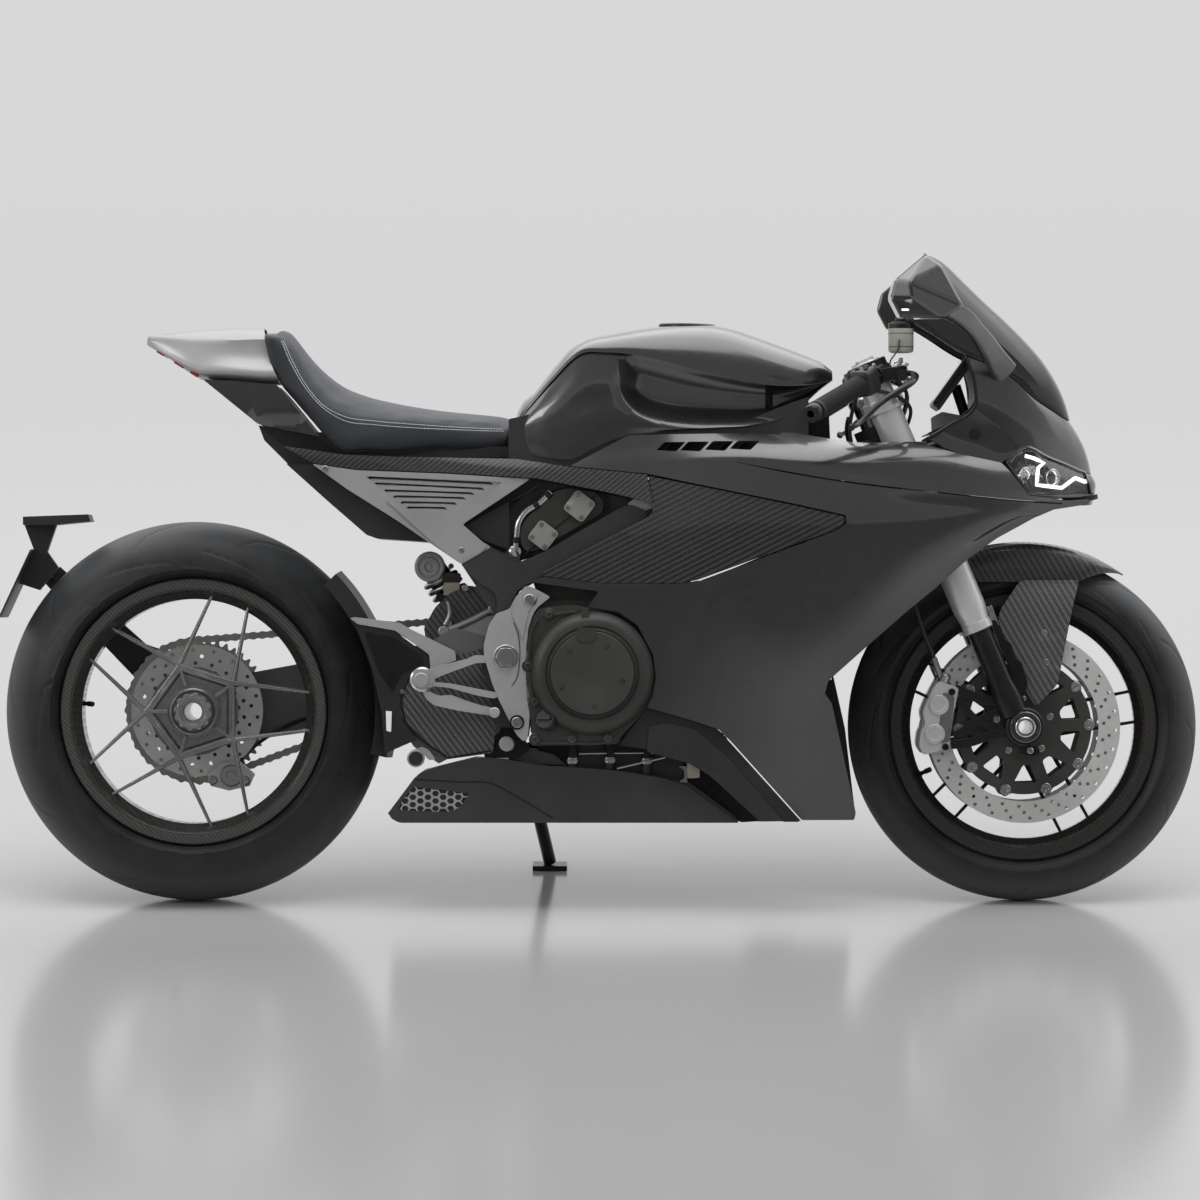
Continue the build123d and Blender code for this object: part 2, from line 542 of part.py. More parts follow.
# front wheel
front_star = spoke_star(front_hub, 40, bead_r - 20, 0, 0, 9, 14, front_star_turn)
front_bush_r = front_axle_r + axle_gap
front_hub_body = turned([(-62, front_bush_r), (-62, 34), (-30, 40), (30, 40), (62, 34), (62, front_bush_r)],
                        front_hub)
add("front_wheel", turned(rim_profile(front_rim_half), front_hub), front_star, front_hub_body)
add("front_tyre", tyre_solid(front_hub, front_tyre_r, front_tyre_half, front_rim_half))
discs = None
for y in (-72.5, 67.5):
    disc = ring(front_hub, front_disc_r, 36, y, y + disc_wall)
    neck_y = 62 if y > 0 else -67.5
    disc += ring(front_hub, 45, 34, neck_y, neck_y + 5.5)
    for turn in range(10):
        out = radians(20 + 36 * turn)
        window = front_hub + Vector(cos(out), 0, sin(out)) * 84
        disc -= rod(window + Vector(0, y - 1, 0), window + Vector(0, y + disc_wall + 1, 0), 13)
    discs = disc if discs is None else discs + disc
add("front_discs", discs)

# handlebars: clip-on clamps, grips, levers and the fluid reservoir
grip_in = Vector(488, -fork_spread, 910)
grip_out = Vector(350, -335, 827)
grip_run = grip_out - grip_in
grip_r = 17
clamp_low, clamp_high = 638, 678
end_bore_r = 6
pump_share = 0.13
pump_reach = Vector(30, 0, 3)


def on_grip(share):
    return grip_in + grip_run * share


pump = on_grip(pump_share) + pump_reach
handle = rod(along_fork(clamp_low, -fork_spread), along_fork(clamp_high, -fork_spread), fork_outer_r + 8)
handle += rod(grip_in, grip_out, 11)
handle += rod(on_grip(0.36), on_grip(0.98), grip_r)
handle += rod(on_grip(0.2), on_grip(0.36), 22)
handle += bar(on_grip(pump_share), pump, 16, 16)
handle -= rod(on_grip(0.85), on_grip(1.02), end_bore_r)
handle -= rod(along_fork(600, -fork_spread), along_fork(700, -fork_spread), fork_outer_r)
add("handlebars", *both(handle))
lever = bar(pump, pump + Vector(20, 0, 2), 24, 24)
lever += rod(pump + Vector(14, 32, 10), pump + Vector(14, -16, -4), 11)
lever += bar(pump + Vector(18, -6, 0), on_grip(0.92) + Vector(62, 0, -26), 10, 14)
add("levers", *both(lever))
cup = pump + Vector(14, 27, 10.6)
cup_r = 22
add("reservoir", rod(cup + Vector(0, 0, 10), cup + Vector(0, 0, 28), 5)
    + rod(cup + Vector(0, 0, 26), cup + Vector(0, 0, 80), cup_r))

# nose cowl, screen, lamps, dash and mirrors
nose_sections = [
    (560, (128, 792), (138, 800), (134, 830), (128, 900), (124, 985)),
    (640, (132, 772), (140, 800), (132, 850), (126, 900), (118, 925)),
    (700, (120, 752), (122, 790), (110, 850), (96, 890), (60, 960)),
    (760, (97, 735), (94, 770), (84, 820), (66, 880), (30, 925)),
    (845, (40, 708), (40, 725), (34, 735), (20, 738), (4, 740)),
]
nose_line = [(560, 792), (642, 843), (638, 890), (624, 933), (650, 921), (690, 911), (728, 872), (801, 821),
             (830, 781), (833, 737), (721, 780), (692, 753), (606, 769)]
nose_side = shell([(row[0], [p for p in reversed(row[1:])]) for row in nose_sections], panel)
right, left = both(nose_side & outline(nose_line, -200, 0))
add("nose_cowl", right, left)

screen_sections = [
    (548, 122, 990, 1108), (612, 122, 942, 1075), (681, 108, 916, 1012), (751, 80, 862, 944),
    (805, 34, 822, 832),
]
screen = []
for x, half, low, high in screen_sections:
    drop = high - low
    arch = [(half, low), (half * 0.88, low + drop * 0.5), (half * 0.5, high - drop * 0.12), (0, high)]
    screen.append((x, [(-y, z) for y, z in arch] + list(reversed(arch[:-1]))))
add("windscreen", shell(screen, panel))
lamp_line = [(692, 752), (721, 779.5), (833, 736.5), (846, 707), (842, 696), (790, 694), (731, 694)]
lamp_sections = [(690, 146, 690, 790), (760, 112, 690, 790), (820, 66, 690, 790), (850, 36, 690, 790)]
add("headlamps", slab([(x, [(0, low), (half, low), (half - 24, high), (0, high)])
                       for x, half, low, high in lamp_sections], ruled=True) & outline(lamp_line, -200, 200))
stay = rod(along_steer(510), (640, 0, 800), 9) + rod((640, -133, 800), (640, 133, 800), 9)
stay += rod((640, 0, 800), (612, 0, 886), 9)
add("cockpit_stay", stay - rod(along_steer(head_low), along_steer(head_high), 34))
dash_line = [(571, 851), (633, 938), (644, 930), (582, 843)]
add("dash", outline(dash_line, -78, 78) - rod((640, 0, 800), (600, 0, 903), 9.5))
mirror_line = [(547, 1097), (522, 1079), (497, 1055), (489, 1025), (506, 991), (578, 990), (612, 1012),
               (581, 1067)]
pod = outline(mirror_line, -390, -255) + bar((600, -262, 1003), (678, -122, 918), 30, 14)
add("mirrors", *both(pod))

# side stand on the left, out on its foot
stand_pivot = Vector(-130, 140, 240)
foot_y = 262
foot_x = -88
foot_clear = tan(radians(lean)) * foot_y
stand_foot = Vector(foot_x, foot_y, foot_clear + 4)
stand_ankle = stand_foot + Vector(0, 0, 8)
stand_down = (stand_ankle - stand_pivot).normalized()
stand_up_way = Vector(-0.985, 0.12, -0.02).normalized()
stand_axis = stand_down.cross(stand_up_way).normalized()
stand_lug = 12
stand = rod(stand_pivot, stand_ankle, 11)
stand += rod(stand_pivot - stand_axis * stand_lug, stand_pivot + stand_axis * stand_lug, 16)
floor_up = Vector(0, -sin(radians(lean)), cos(radians(lean)))
foot_plane = Plane(origin=stand_foot, x_dir=(1, 0, 0), z_dir=floor_up)
stand += foot_plane * Box(60, 40, 8)
add("side_stand", stand)
bracket_line = [(-110, 275), (-50, 275), (-112, 222), (-148, 222), (-148, 262)]
stand_boss = rod(stand_pivot - stand_axis * 26, stand_pivot - stand_axis * stand_lug, 16)
add("stand_bracket", outline(bracket_line, 110, 119), stand_boss)


# the leaning pose
def placed(dx=0, dy=0, dz=0):
    sink_rear = (rear_tyre_half - 1) * (1 - cos(radians(lean)))
    sink_front = (front_tyre_half - 1) * (1 - cos(radians(lean)))
    tip = degrees((sink_rear - sink_front) / wheelbase)
    level = Location((0, 0, 0), (0, tip, 0)) * Location((0, 0, 0), (-lean, 0, 0))
    return Location((dx, dy, dz)) * level


def pose():
    leaned = [Compound(list(shape.moved(placed()).solids())) for shape in parts.values()]
    bounds = Compound(children=leaned).bounding_box()
    centre = bounds.center()
    return placed(-centre.X, -centre.Y, -bounds.min.Z)


if __name__ == "__main__":
    os.makedirs("parts", exist_ok=True)
    where = pose()
    for name, shape in parts.items():
        export_step(Compound(shape.moved(where).solids()), f"parts/{name}.step")
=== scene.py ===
import json
import math
import bmesh
import bpy
import numpy as np
from mathutils import Matrix, Vector, geometry, kdtree


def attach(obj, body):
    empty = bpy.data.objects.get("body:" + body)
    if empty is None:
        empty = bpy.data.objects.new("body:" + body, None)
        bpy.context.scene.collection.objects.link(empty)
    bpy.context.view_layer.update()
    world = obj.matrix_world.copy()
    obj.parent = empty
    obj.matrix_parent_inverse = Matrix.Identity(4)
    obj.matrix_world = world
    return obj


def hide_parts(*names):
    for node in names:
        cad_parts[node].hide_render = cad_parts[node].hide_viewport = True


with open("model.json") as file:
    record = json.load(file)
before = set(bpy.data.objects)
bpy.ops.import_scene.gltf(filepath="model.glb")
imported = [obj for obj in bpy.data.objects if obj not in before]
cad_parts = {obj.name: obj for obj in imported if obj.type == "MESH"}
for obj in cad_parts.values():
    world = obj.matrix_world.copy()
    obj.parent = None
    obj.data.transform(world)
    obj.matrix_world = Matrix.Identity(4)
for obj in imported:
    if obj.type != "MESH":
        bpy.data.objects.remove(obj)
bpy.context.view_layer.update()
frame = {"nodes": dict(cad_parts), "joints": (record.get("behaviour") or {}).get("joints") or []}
joints = {joint["name"]: joint for joint in frame["joints"]}
nodes = frame["nodes"]
print("frame loaded")

# everything below is written in the upright bike's millimetres: x forward, y left, z up
rearHub = np.array((-696.0, 0, 326))
frontHub = np.array((726.0, 0, 300))


def basis(run, side):
    run = np.array(run, float) / np.linalg.norm(run)
    side = np.array(side, float) / np.linalg.norm(side)
    return np.column_stack([run, side, np.cross(run, side)])


rearPlace = np.array(joints["rear_wheel_spin"]["pos_m"]) * 1000
frontPlace = np.array(joints["front_wheel_spin"]["pos_m"]) * 1000
leanTurn = basis(frontPlace - rearPlace, joints["rear_wheel_spin"]["axis"]) @ basis(frontHub - rearHub, (0, 1, 0)).T
leanShift = rearPlace - leanTurn @ rearHub


def place(points):
    return (np.asarray(points, float) @ leanTurn.T + leanShift) / 1000


def link(name, mesh, body, instead=()):
    made = bpy.data.objects.new(name, mesh)
    bpy.context.collection.objects.link(made)
    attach(made, body)
    if instead:
        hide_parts(*instead)
    return made


def piece(name, points, faces, finish, body="chassis", sharp=35, instead=(), slot=None, bevel=0, merge=0):
    mesh = bpy.data.meshes.new(name)
    mesh.from_pydata(place(points).tolist(), [], [tuple(int(i) for i in face) for face in faces])
    mesh.materials.append(finish)
    if merge:
        work = bmesh.new()
        work.from_mesh(mesh)
        bmesh.ops.remove_doubles(work, verts=work.verts, dist=merge / 1000)
        bmesh.ops.dissolve_degenerate(work, dist=1e-6, edges=work.edges)
        bmesh.ops.recalc_face_normals(work, faces=work.faces)
        work.to_mesh(mesh)
        work.free()
    mesh.polygons.foreach_set("use_smooth", [True] * len(mesh.polygons))
    mesh.set_sharp_from_angle(angle=math.radians(sharp))
    made = link(name, mesh, body, instead)
    if bevel:
        addBevel(made, bevel)
    return made


def addBevel(made, width, segments=2, angle=32):
    mod = made.modifiers.new("softEdge", "BEVEL")
    mod.width, mod.segments, mod.limit_method = width / 1000, segments, "ANGLE"
    mod.angle_limit = math.radians(angle)
    mod.harden_normals = True


def addWall(made, wall):
    mod = made.modifiers.new("wall", "SOLIDIFY")
    mod.thickness, mod.offset = wall / 1000, -1
    mod.use_even_offset = True


class Build:
    # points and faces of one piece, put together from simple shapes
    def __init__(self):
        self.points, self.faces = [], []

    def add(self, points, faces):
        base = len(self.points)
        self.points += [tuple(p) for p in np.asarray(points, float)]
        self.faces += [[base + i for i in face] for face in faces]
        return self

    def mirrored(self):
        copy = [(x, -y, z) for x, y, z in self.points]
        return self.add(copy, [list(reversed(face)) for face in self.faces])

    def turned(self, hub, angles, axis=(0, 1, 0)):
        points, faces = np.array(self.points), [list(f) for f in self.faces]
        self.points, self.faces = [], []
        for angle in angles:
            spin = np.array(Matrix.Rotation(math.radians(angle), 3, Vector(axis)))
            self.add((points - hub) @ spin.T + hub, faces)
        return self

    def done(self, name, key, **options):
        return piece(name, self.points, self.faces, finish[key], **options)

    def pair(self, name, key, **options):
        return self.mirrored().done(name, key, **options)


def formed(shape):
    return Build().add(*shape)


def spline(at, knots, values, corners=()):
    # a smooth curve through the values, broken at the corner knots
    at, knots, values = np.asarray(at, float), np.asarray(knots, float), np.asarray(values, float)
    flat = values.reshape(len(knots), -1)
    result = np.zeros((len(at), flat.shape[1]))
    stops = [0, *sorted(c % len(knots) for c in corners), len(knots) - 1]
    for first, last in zip(stops, stops[1:]):
        if last <= first:
            continue
        x, y = knots[first:last + 1], flat[first:last + 1]
        step = np.diff(x)[:, None]
        slope = np.diff(y, axis=0) / step
        tangent = np.vstack([slope[:1], slope[-1:]]) if len(x) == 2 else None
        if tangent is None:
            inner = (slope[:-1] * step[1:] + slope[1:] * step[:-1]) / (step[1:] + step[:-1])
            tangent = np.vstack([1.5 * slope[:1] - 0.5 * inner[:1], inner, 1.5 * slope[-1:] - 0.5 * inner[-1:]])
        use = (at >= x[0] - (1e9 if first == 0 else 0)) & (at <= x[-1] + (1e9 if last == len(knots) - 1 else 0))
        u = np.clip(at[use], x[0], x[-1])
        k = np.clip(np.searchsorted(x, u, side="right") - 1, 0, len(x) - 2)
        h = np.diff(x)[k]
        s = ((u - x[k]) / h)[:, None]
        h = h[:, None]
        result[use] = ((2 * s**3 - 3 * s**2 + 1) * y[k] + (s**3 - 2 * s**2 + s) * h * tangent[k]
                       + (3 * s**2 - 2 * s**3) * y[k + 1] + (s**3 - s**2) * h * tangent[k + 1])
    return result.reshape((len(at), *values.shape[1:]))


def chord(points):
    points = np.asarray(points, float)
    return np.concatenate([[0], np.cumsum(np.linalg.norm(np.diff(points, axis=0), axis=1) + 1e-6)])


def curve(points, step=6, corners=(), close=False):
    # the points of a smooth line, about step apart
    points = [tuple(p) for p in points]
    if close:
        points.append(points[0])
        corners = (*corners, 0)
    knots = chord(points)
    stops = [0, *sorted(c for c in corners if 0 < c < len(points) - 1), len(points) - 1]
    at = []
    for first, last in zip(stops, stops[1:]):
        count = max(2, int(round((knots[last] - knots[first]) / step)) + 1)
        at += list(np.linspace(knots[first], knots[last], count)[:-1])
    at.append(knots[-1])
    line = spline(at, knots, points, corners)
    return line[:-1] if close else line


def straight(points, step=8, close=True):
    # the points of a straight-sided line, about step apart, corners kept
    return curve(points, step, corners=range(len(points)), close=close)


def grid(rows, close=False, flip=False):
    # faces between rows of points
    rows = np.asarray(rows, float)
    count, width = rows.shape[:2]
    faces = []
    for i in range(count - 1):
        for j in range(width if close else width - 1):
            k = (j + 1) % width
            face = [i * width + j, i * width + k, (i + 1) * width + k, (i + 1) * width + j]
            faces.append(face[::-1] if flip else face)
    return rows.reshape(-1, 3), faces


def patch(table, rows, columns, cornerRows=(), cornerColumns=()):
    # a smooth surface through a small table of points
    table = np.asarray(table, float)
    down = chord(table.mean(axis=1))
    across = chord(table.mean(axis=0))
    fine = spline(pick(down, rows, cornerRows), down, table, cornerRows)
    fine = np.swapaxes(fine, 0, 1)
    fine = spline(pick(across, columns, cornerColumns), across, fine, cornerColumns)
    return np.swapaxes(fine, 0, 1)


def pick(knots, count, corners=()):
    # count places spread over the knots that keep every corner
    stops = [0, *sorted(c % len(knots) for c in corners), len(knots) - 1]
    total, at = knots[-1] - knots[0], []
    for first, last in zip(stops, stops[1:]):
        if last > first:
            span = knots[last] - knots[first]
            at += list(np.linspace(knots[first], knots[last], max(2, int(round(count * span / total)) + 1))[:-1])
    return at + [knots[-1]]


def lathe(profile, start, aim=(0, 1, 0), segments=48, closed=False):
    # a turned shape: along, radius points about the line from start along aim
    aim = np.array(aim, float) / np.linalg.norm(aim)
    side = np.cross(aim, (0, 0, 1) if abs(aim[2]) < 0.9 else (1, 0, 0))
    side /= np.linalg.norm(side)
    up = np.cross(side, aim)
    start = np.array(start, float)
    rows = []
    for k in range(segments):
        a = 2 * math.pi * k / segments
        out = side * math.cos(a) + up * math.sin(a)
        rows.append([start + aim * along + out * max(radius, 0.01) for along, radius in profile])
    rows = np.swapaxes(np.array(rows), 0, 1)
    if closed:
        rows = np.concatenate([rows, rows[:1]])
    return grid(rows, close=True)


def sweep(line, section, close=False, up=(0, 0, 1), taper=None):
    # a section (side, up points) carried along a line
    line = np.asarray(line, float)
    section = np.asarray(section, float)
    apart = np.linalg.norm(np.diff(line, axis=0), axis=1) > 1e-6
    keep = np.concatenate([[True], apart])
    if close and np.linalg.norm(line[0] - line[-1]) < 1e-6:
        keep[-1] = False
    line, taper = line[keep], None if taper is None else np.asarray(taper, float)[keep]
    count = len(line)
    ahead = np.roll(line, -1, axis=0) - np.roll(line, 1, axis=0)
    if not close:
        ahead[0], ahead[-1] = line[1] - line[0], line[-1] - line[-2]
    ahead /= np.linalg.norm(ahead, axis=1)[:, None]
    side = np.cross(ahead[0], up)
    side /= np.linalg.norm(side)
    rows = []
    for k in range(count):
        side = side - ahead[k] * (side @ ahead[k])
        side /= np.linalg.norm(side)
        over = np.cross(side, ahead[k])
        scale = 1 if taper is None else taper[k]
        rows.append([line[k] + (side * a + over * b) * scale for a, b in section])
    points, faces = grid(rows, close=True)
    width = len(section)
    if close:
        last = (count - 1) * width
        faces += [[last + j, last + (j + 1) % width, (j + 1) % width, j] for j in range(width)]
    else:
        faces += [list(range(width))[::-1], [(count - 1) * width + j for j in range(width)]]
    return points, [face[::-1] for face in faces]


def circle(radius, count=10):
    return [(radius * math.cos(2 * math.pi * k / count), radius * math.sin(2 * math.pi * k / count))
            for k in range(count)]


def tube(points, radius, step=6, count=10, corners=()):
    return sweep(curve(points, step, corners), circle(radius, count))


def insideMany(points, loop):
    points, loop = np.asarray(points, float), np.asarray(loop, float)
    after = np.roll(loop, -1, axis=0)
    hit = np.zeros(len(points), bool)
    for (x0, y0), (x1, y1) in zip(loop, after):
        if y0 == y1:
            continue
        cross = (y0 > points[:, 1]) != (y1 > points[:, 1])
        where = (x1 - x0) * (points[:, 1] - y0) / (y1 - y0) + x0
        hit ^= cross & (points[:, 0] < where)
    return hit


def filled(outer, holes=(), step=10, finer=()):
    # triangles that fill a flat outline with holes; finer is a list of (box, step)
    outer = np.asarray(outer, float)
    loops = [outer, *[np.asarray(hole, float) for hole in holes]]
    points = [p for loop in loops for p in loop]
    edges, base = [], 0
    for loop in loops:
        edges += [(base + i, base + (i + 1) % len(loop)) for i in range(len(loop))]
        base += len(loop)
    low, high = outer.min(axis=0), outer.max(axis=0)
    fill = []
    boxes = [((low[0], low[1], high[0], high[1]), step), *finer]
    for rank, ((x0, y0, x1, y1), gap) in enumerate(boxes):
        xs, ys = np.arange(x0 + gap / 2, x1, gap), np.arange(y0 + gap / 2, y1, gap)
        spots = np.array([(x + (gap / 2 if j % 2 else 0), y) for j, y in enumerate(ys) for x in xs]).reshape(-1, 2)
        for (bx0, by0, bx1, by1), _ in boxes[rank + 1:]:
            spots = spots[~((spots[:, 0] > bx0) & (spots[:, 0] < bx1) & (spots[:, 1] > by0) & (spots[:, 1] < by1))]
        spots = spots[insideMany(spots, outer)]
        for hole in loops[1:]:
            spots = spots[~insideMany(spots, hole)]
        border = np.array(points)
        keep = [np.min(np.sum((border - s)**2, axis=1)) > (gap * 0.45)**2 for s in spots]
        fill += list(spots[np.array(keep, bool)]) if len(spots) else []
    points += fill
    found = geometry.delaunay_2d_cdt([Vector(p) for p in points], edges, [], 0, 1e-5)
    verts = np.array([tuple(v) for v in found[0]])
    faces = [list(f) for f in found[2]]
    middles = np.array([verts[f].mean(axis=0) for f in faces])
    keep = insideMany(middles, outer)
    for hole in loops[1:]:
        keep &= ~insideMany(middles, hole)
    return verts, [f for f, k in zip(faces, keep) if k]


def rimOf(faces):
    # the open edges of a set of faces, each in its face's direction
    seen = {}
    for face in faces:
        for a, b in zip(face, face[1:] + face[:1]):
            seen[(a, b)] = seen.get((a, b), 0) + 1
    return [(a, b) for a, b in seen if (b, a) not in seen]


def plate(outer, yLow, yHigh, holes=(), step=14, lift=None, finer=()):
    # a plate in the xz plane from yLow to yHigh; lift moves each face out
    flat, faces = filled(outer, holes, step, finer)
    front = np.array([(x, yLow - (lift(x, z) if lift else 0), z) for x, z in flat])
    back = np.array([(x, yHigh, z) for x, z in flat])
    count = len(flat)
    rim = rimOf(faces)
    ordered = signed(flat, faces)
    sides = [[b, a, a + count, b + count] if ordered else [a, b, b + count, a + count] for a, b in rim]
    frontFaces = faces if ordered else [f[::-1] for f in faces]
    backFaces = [[i + count for i in reversed(f)] for f in frontFaces]
    return np.vstack([front, back]), frontFaces + backFaces + sides


def signed(flat, faces):
    a, b, c = (np.array(flat[i]) for i in faces[0][:3])
    return (b[0] - a[0]) * (c[1] - a[1]) - (b[1] - a[1]) * (c[0] - a[0]) > 0


def rounded(points, radius, steps=4):
    # an outline with its corners rounded
    points = [np.array(p, float) for p in points]
    result = []
    for before, here, after in zip(points[-1:] + points[:-1], points, points[1:] + points[:1]):
        a, b = before - here, after - here
        reach = min(radius, np.linalg.norm(a) * 0.45, np.linalg.norm(b) * 0.45)
        a, b = here + a / np.linalg.norm(a) * reach, here + b / np.linalg.norm(b) * reach
        for k in range(steps + 1):
            s = k / steps
            result.append(tuple((1 - s)**2 * a + 2 * s * (1 - s) * here + s**2 * b))
    return result


def flats(points, radius=0, step=12):
    # a rounded outline with points along its long sides
    loop = rounded(points, radius) if radius else [tuple(p) for p in points]
    line = []
    for a, b in zip(loop, loop[1:] + loop[:1]):
        a, b = np.array(a, float), np.array(b, float)
        count = max(1, int(np.linalg.norm(b - a) / step))
        line += [tuple(a + (b - a) * k / count) for k in range(count)]
    return np.array(line)


def disc2d(x, z, radius, count=28):
    return [(x + radius * math.cos(t), z + radius * math.sin(t))
            for t in np.linspace(0, 2 * math.pi, count, endpoint=False)]


def polar(hub, spots):
    # x and z of places given as radius and angle round a hub
    return [(r * math.cos(math.radians(a)) + hub[0], r * math.sin(math.radians(a)) + hub[2]) for r, a in spots]


def outward(degrees):
    return np.array((math.cos(math.radians(degrees)), 0, math.sin(math.radians(degrees))))


def flatBar(wide, tall):
    # a rectangular section for a sweep
    return [(wide, -tall), (wide, tall), (-wide, tall), (-wide, -tall)]


def facing(y, spots, sides=(1, -1)):
    # screw places on the bike's outer faces, on both sides of it
    return [(np.array((x, side * -y, z)), (0, -side, 0), (1, 0, 0)) for side in sides for x, z in spots]


print("helpers ready")


def addNode(tree, kind, inputs=None, **props):
    made = tree.nodes.new(kind)
    for key, value in props.items():
        setattr(made, key, value)
    for key, value in (inputs or {}).items():
        if hasattr(value, "is_output"):
            tree.links.new(value, made.inputs[key])
        else:
            made.inputs[key].default_value = value
    return made


class Finish:
    # one material: a shader with its values, and short ways to add nodes to it
    def __init__(self, name, **values):
        self.material = bpy.data.materials.new(name)
        self.material.use_nodes = True
        self.tree = self.material.node_tree
        self.shader = self.tree.nodes["Principled BSDF"]
        for key, value in values.items():
            self.set(key, value)

    def set(self, socket, value):
        if socket == "Base Color" or socket.endswith("Color") or socket.endswith("Tint"):
            value = (*value, 1) if len(value) == 3 else value
        self.shader.inputs[socket].default_value = value

    def node(self, kind, inputs=None, **props):
        return addNode(self.tree, kind, inputs, **props)

    def math(self, operation, a, b=0.0, c=0.0):
        return self.node("ShaderNodeMath", {0: a, 1: b, 2: c}, operation=operation).outputs[0]

    def feed(self, socket, output):
        self.tree.links.new(output, self.shader.inputs[socket])

    def space(self, turn=0.0):
        # the upright bike's own axes in metres, turned about its y axis
        at = self.node("ShaderNodeTexCoord").outputs["Object"]
        spin = Matrix.Rotation(math.radians(turn), 3, "Y") @ Matrix(leanTurn.T.tolist())
        move = spin @ Vector(-leanShift / 1000)
        return self.node("ShaderNodeMapping", {"Vector": at, "Rotation": spin.to_euler(), "Location": move}).outputs[0]

    def noise(self, scale, detail=2.0, rough=0.5, at=None, stretch=None):
        at = at or self.space()
        if stretch:
            at = self.node("ShaderNodeMapping", {"Vector": at, "Scale": stretch}).outputs[0]
        return self.node("ShaderNodeTexNoise", {"Vector": at, "Scale": scale, "Detail": detail,
                                                "Roughness": rough}).outputs["Fac"]

    def spread(self, factor, low, high, fromLow=0.3, fromHigh=0.7):
        return self.node("ShaderNodeMapRange", {"Value": factor, "From Min": fromLow, "From Max": fromHigh,
                                                "To Min": low, "To Max": high}).outputs[0]

    def tint(self, factor, low, high):
        made = self.node("ShaderNodeMix", {0: factor}, data_type="RGBA")
        made.inputs[6].default_value, made.inputs[7].default_value = (*low, 1), (*high, 1)
        self.feed("Base Color", made.outputs[2])

    def bump(self, height, strength=0.3, distance=0.001):
        made = self.node("ShaderNodeBump", {"Height": height, "Strength": strength, "Distance": distance})
        self.feed("Normal", made.outputs[0])


def grainy(name, low, high, metallic, rough, scale=900, relief=0.15, blotch=7, **more):
    # a plain finish with a fine grain, and tone that drifts a little
    made = Finish(name, **{"Metallic": metallic, "Roughness": rough, **more})
    drift = made.noise(blotch, 4, 0.6)
    made.tint(made.spread(drift, 0, 1), low, high)
    fine = made.noise(scale, 3, 0.6)
    made.feed("Roughness", made.math("ADD", made.spread(fine, rough - 0.05, rough + 0.05),
                                     made.spread(drift, -0.04, 0.05)))
    made.bump(fine, relief, 0.0004)
    return made.material


def lacquer(name, low, high, **more):
    made = Finish(name, **{"Roughness": 0.3, "Coat Weight": 1.0, "Coat Roughness": 0.06, "Coat IOR": 1.6,
                           "Metallic": 0.6, **more})
    drift = made.noise(5, 5, 0.65)
    made.tint(made.spread(drift, 0, 1), low, high)
    haze = made.noise(38, 6, 0.7)
    made.feed("Coat Roughness", made.math("ADD", made.spread(haze, 0.05, 0.09), made.spread(drift, 0, 0.03)))
    made.feed("Roughness", made.spread(haze, 0.26, 0.36))
    made.bump(made.noise(900, 2, 0.5), 0.04, 0.0002)
    return made.material


def woven(name, tow, turn, low, high, **more):
    # two-and-two twill: each tow runs over two and under two
    made = Finish(name, **{"Roughness": 0.34, "Coat Weight": 0.45, "Coat Roughness": 0.08, "Metallic": 0.15, **more})
    parts = made.node("ShaderNodeSeparateXYZ", {0: made.space(turn)}).outputs
    u = made.math("DIVIDE", parts[0], tow)
    v = made.math("DIVIDE", parts[2], tow)
    order = made.math("ADD", made.math("FLOOR", u), made.math("FLOOR", v))
    over = made.math("LESS_THAN", made.math("FLOORED_MODULO", order, 4.0), 2.0)
    along = made.math("SINE", made.math("MULTIPLY", made.math("FRACT", u), math.pi))
    across = made.math("SINE", made.math("MULTIPLY", made.math("FRACT", v), math.pi))
    height = made.math("ADD", made.math("MULTIPLY", along, over),
                       made.math("MULTIPLY", across, made.math("SUBTRACT", 1.0, over)))
    shade = made.math("MULTIPLY", made.math("ADD", made.math("MULTIPLY", over, 0.62), 0.25), height)
    fibre = made.noise(1400, 2, 0.5, stretch=(1, 1, 0.15))
    made.tint(made.math("ADD", shade, made.spread(fibre, -0.06, 0.06)), low, high)
    made.feed("Roughness", made.spread(over, 0.28, 0.42, 0, 1))
    made.bump(height, 0.35, 0.0006)
    return made.material


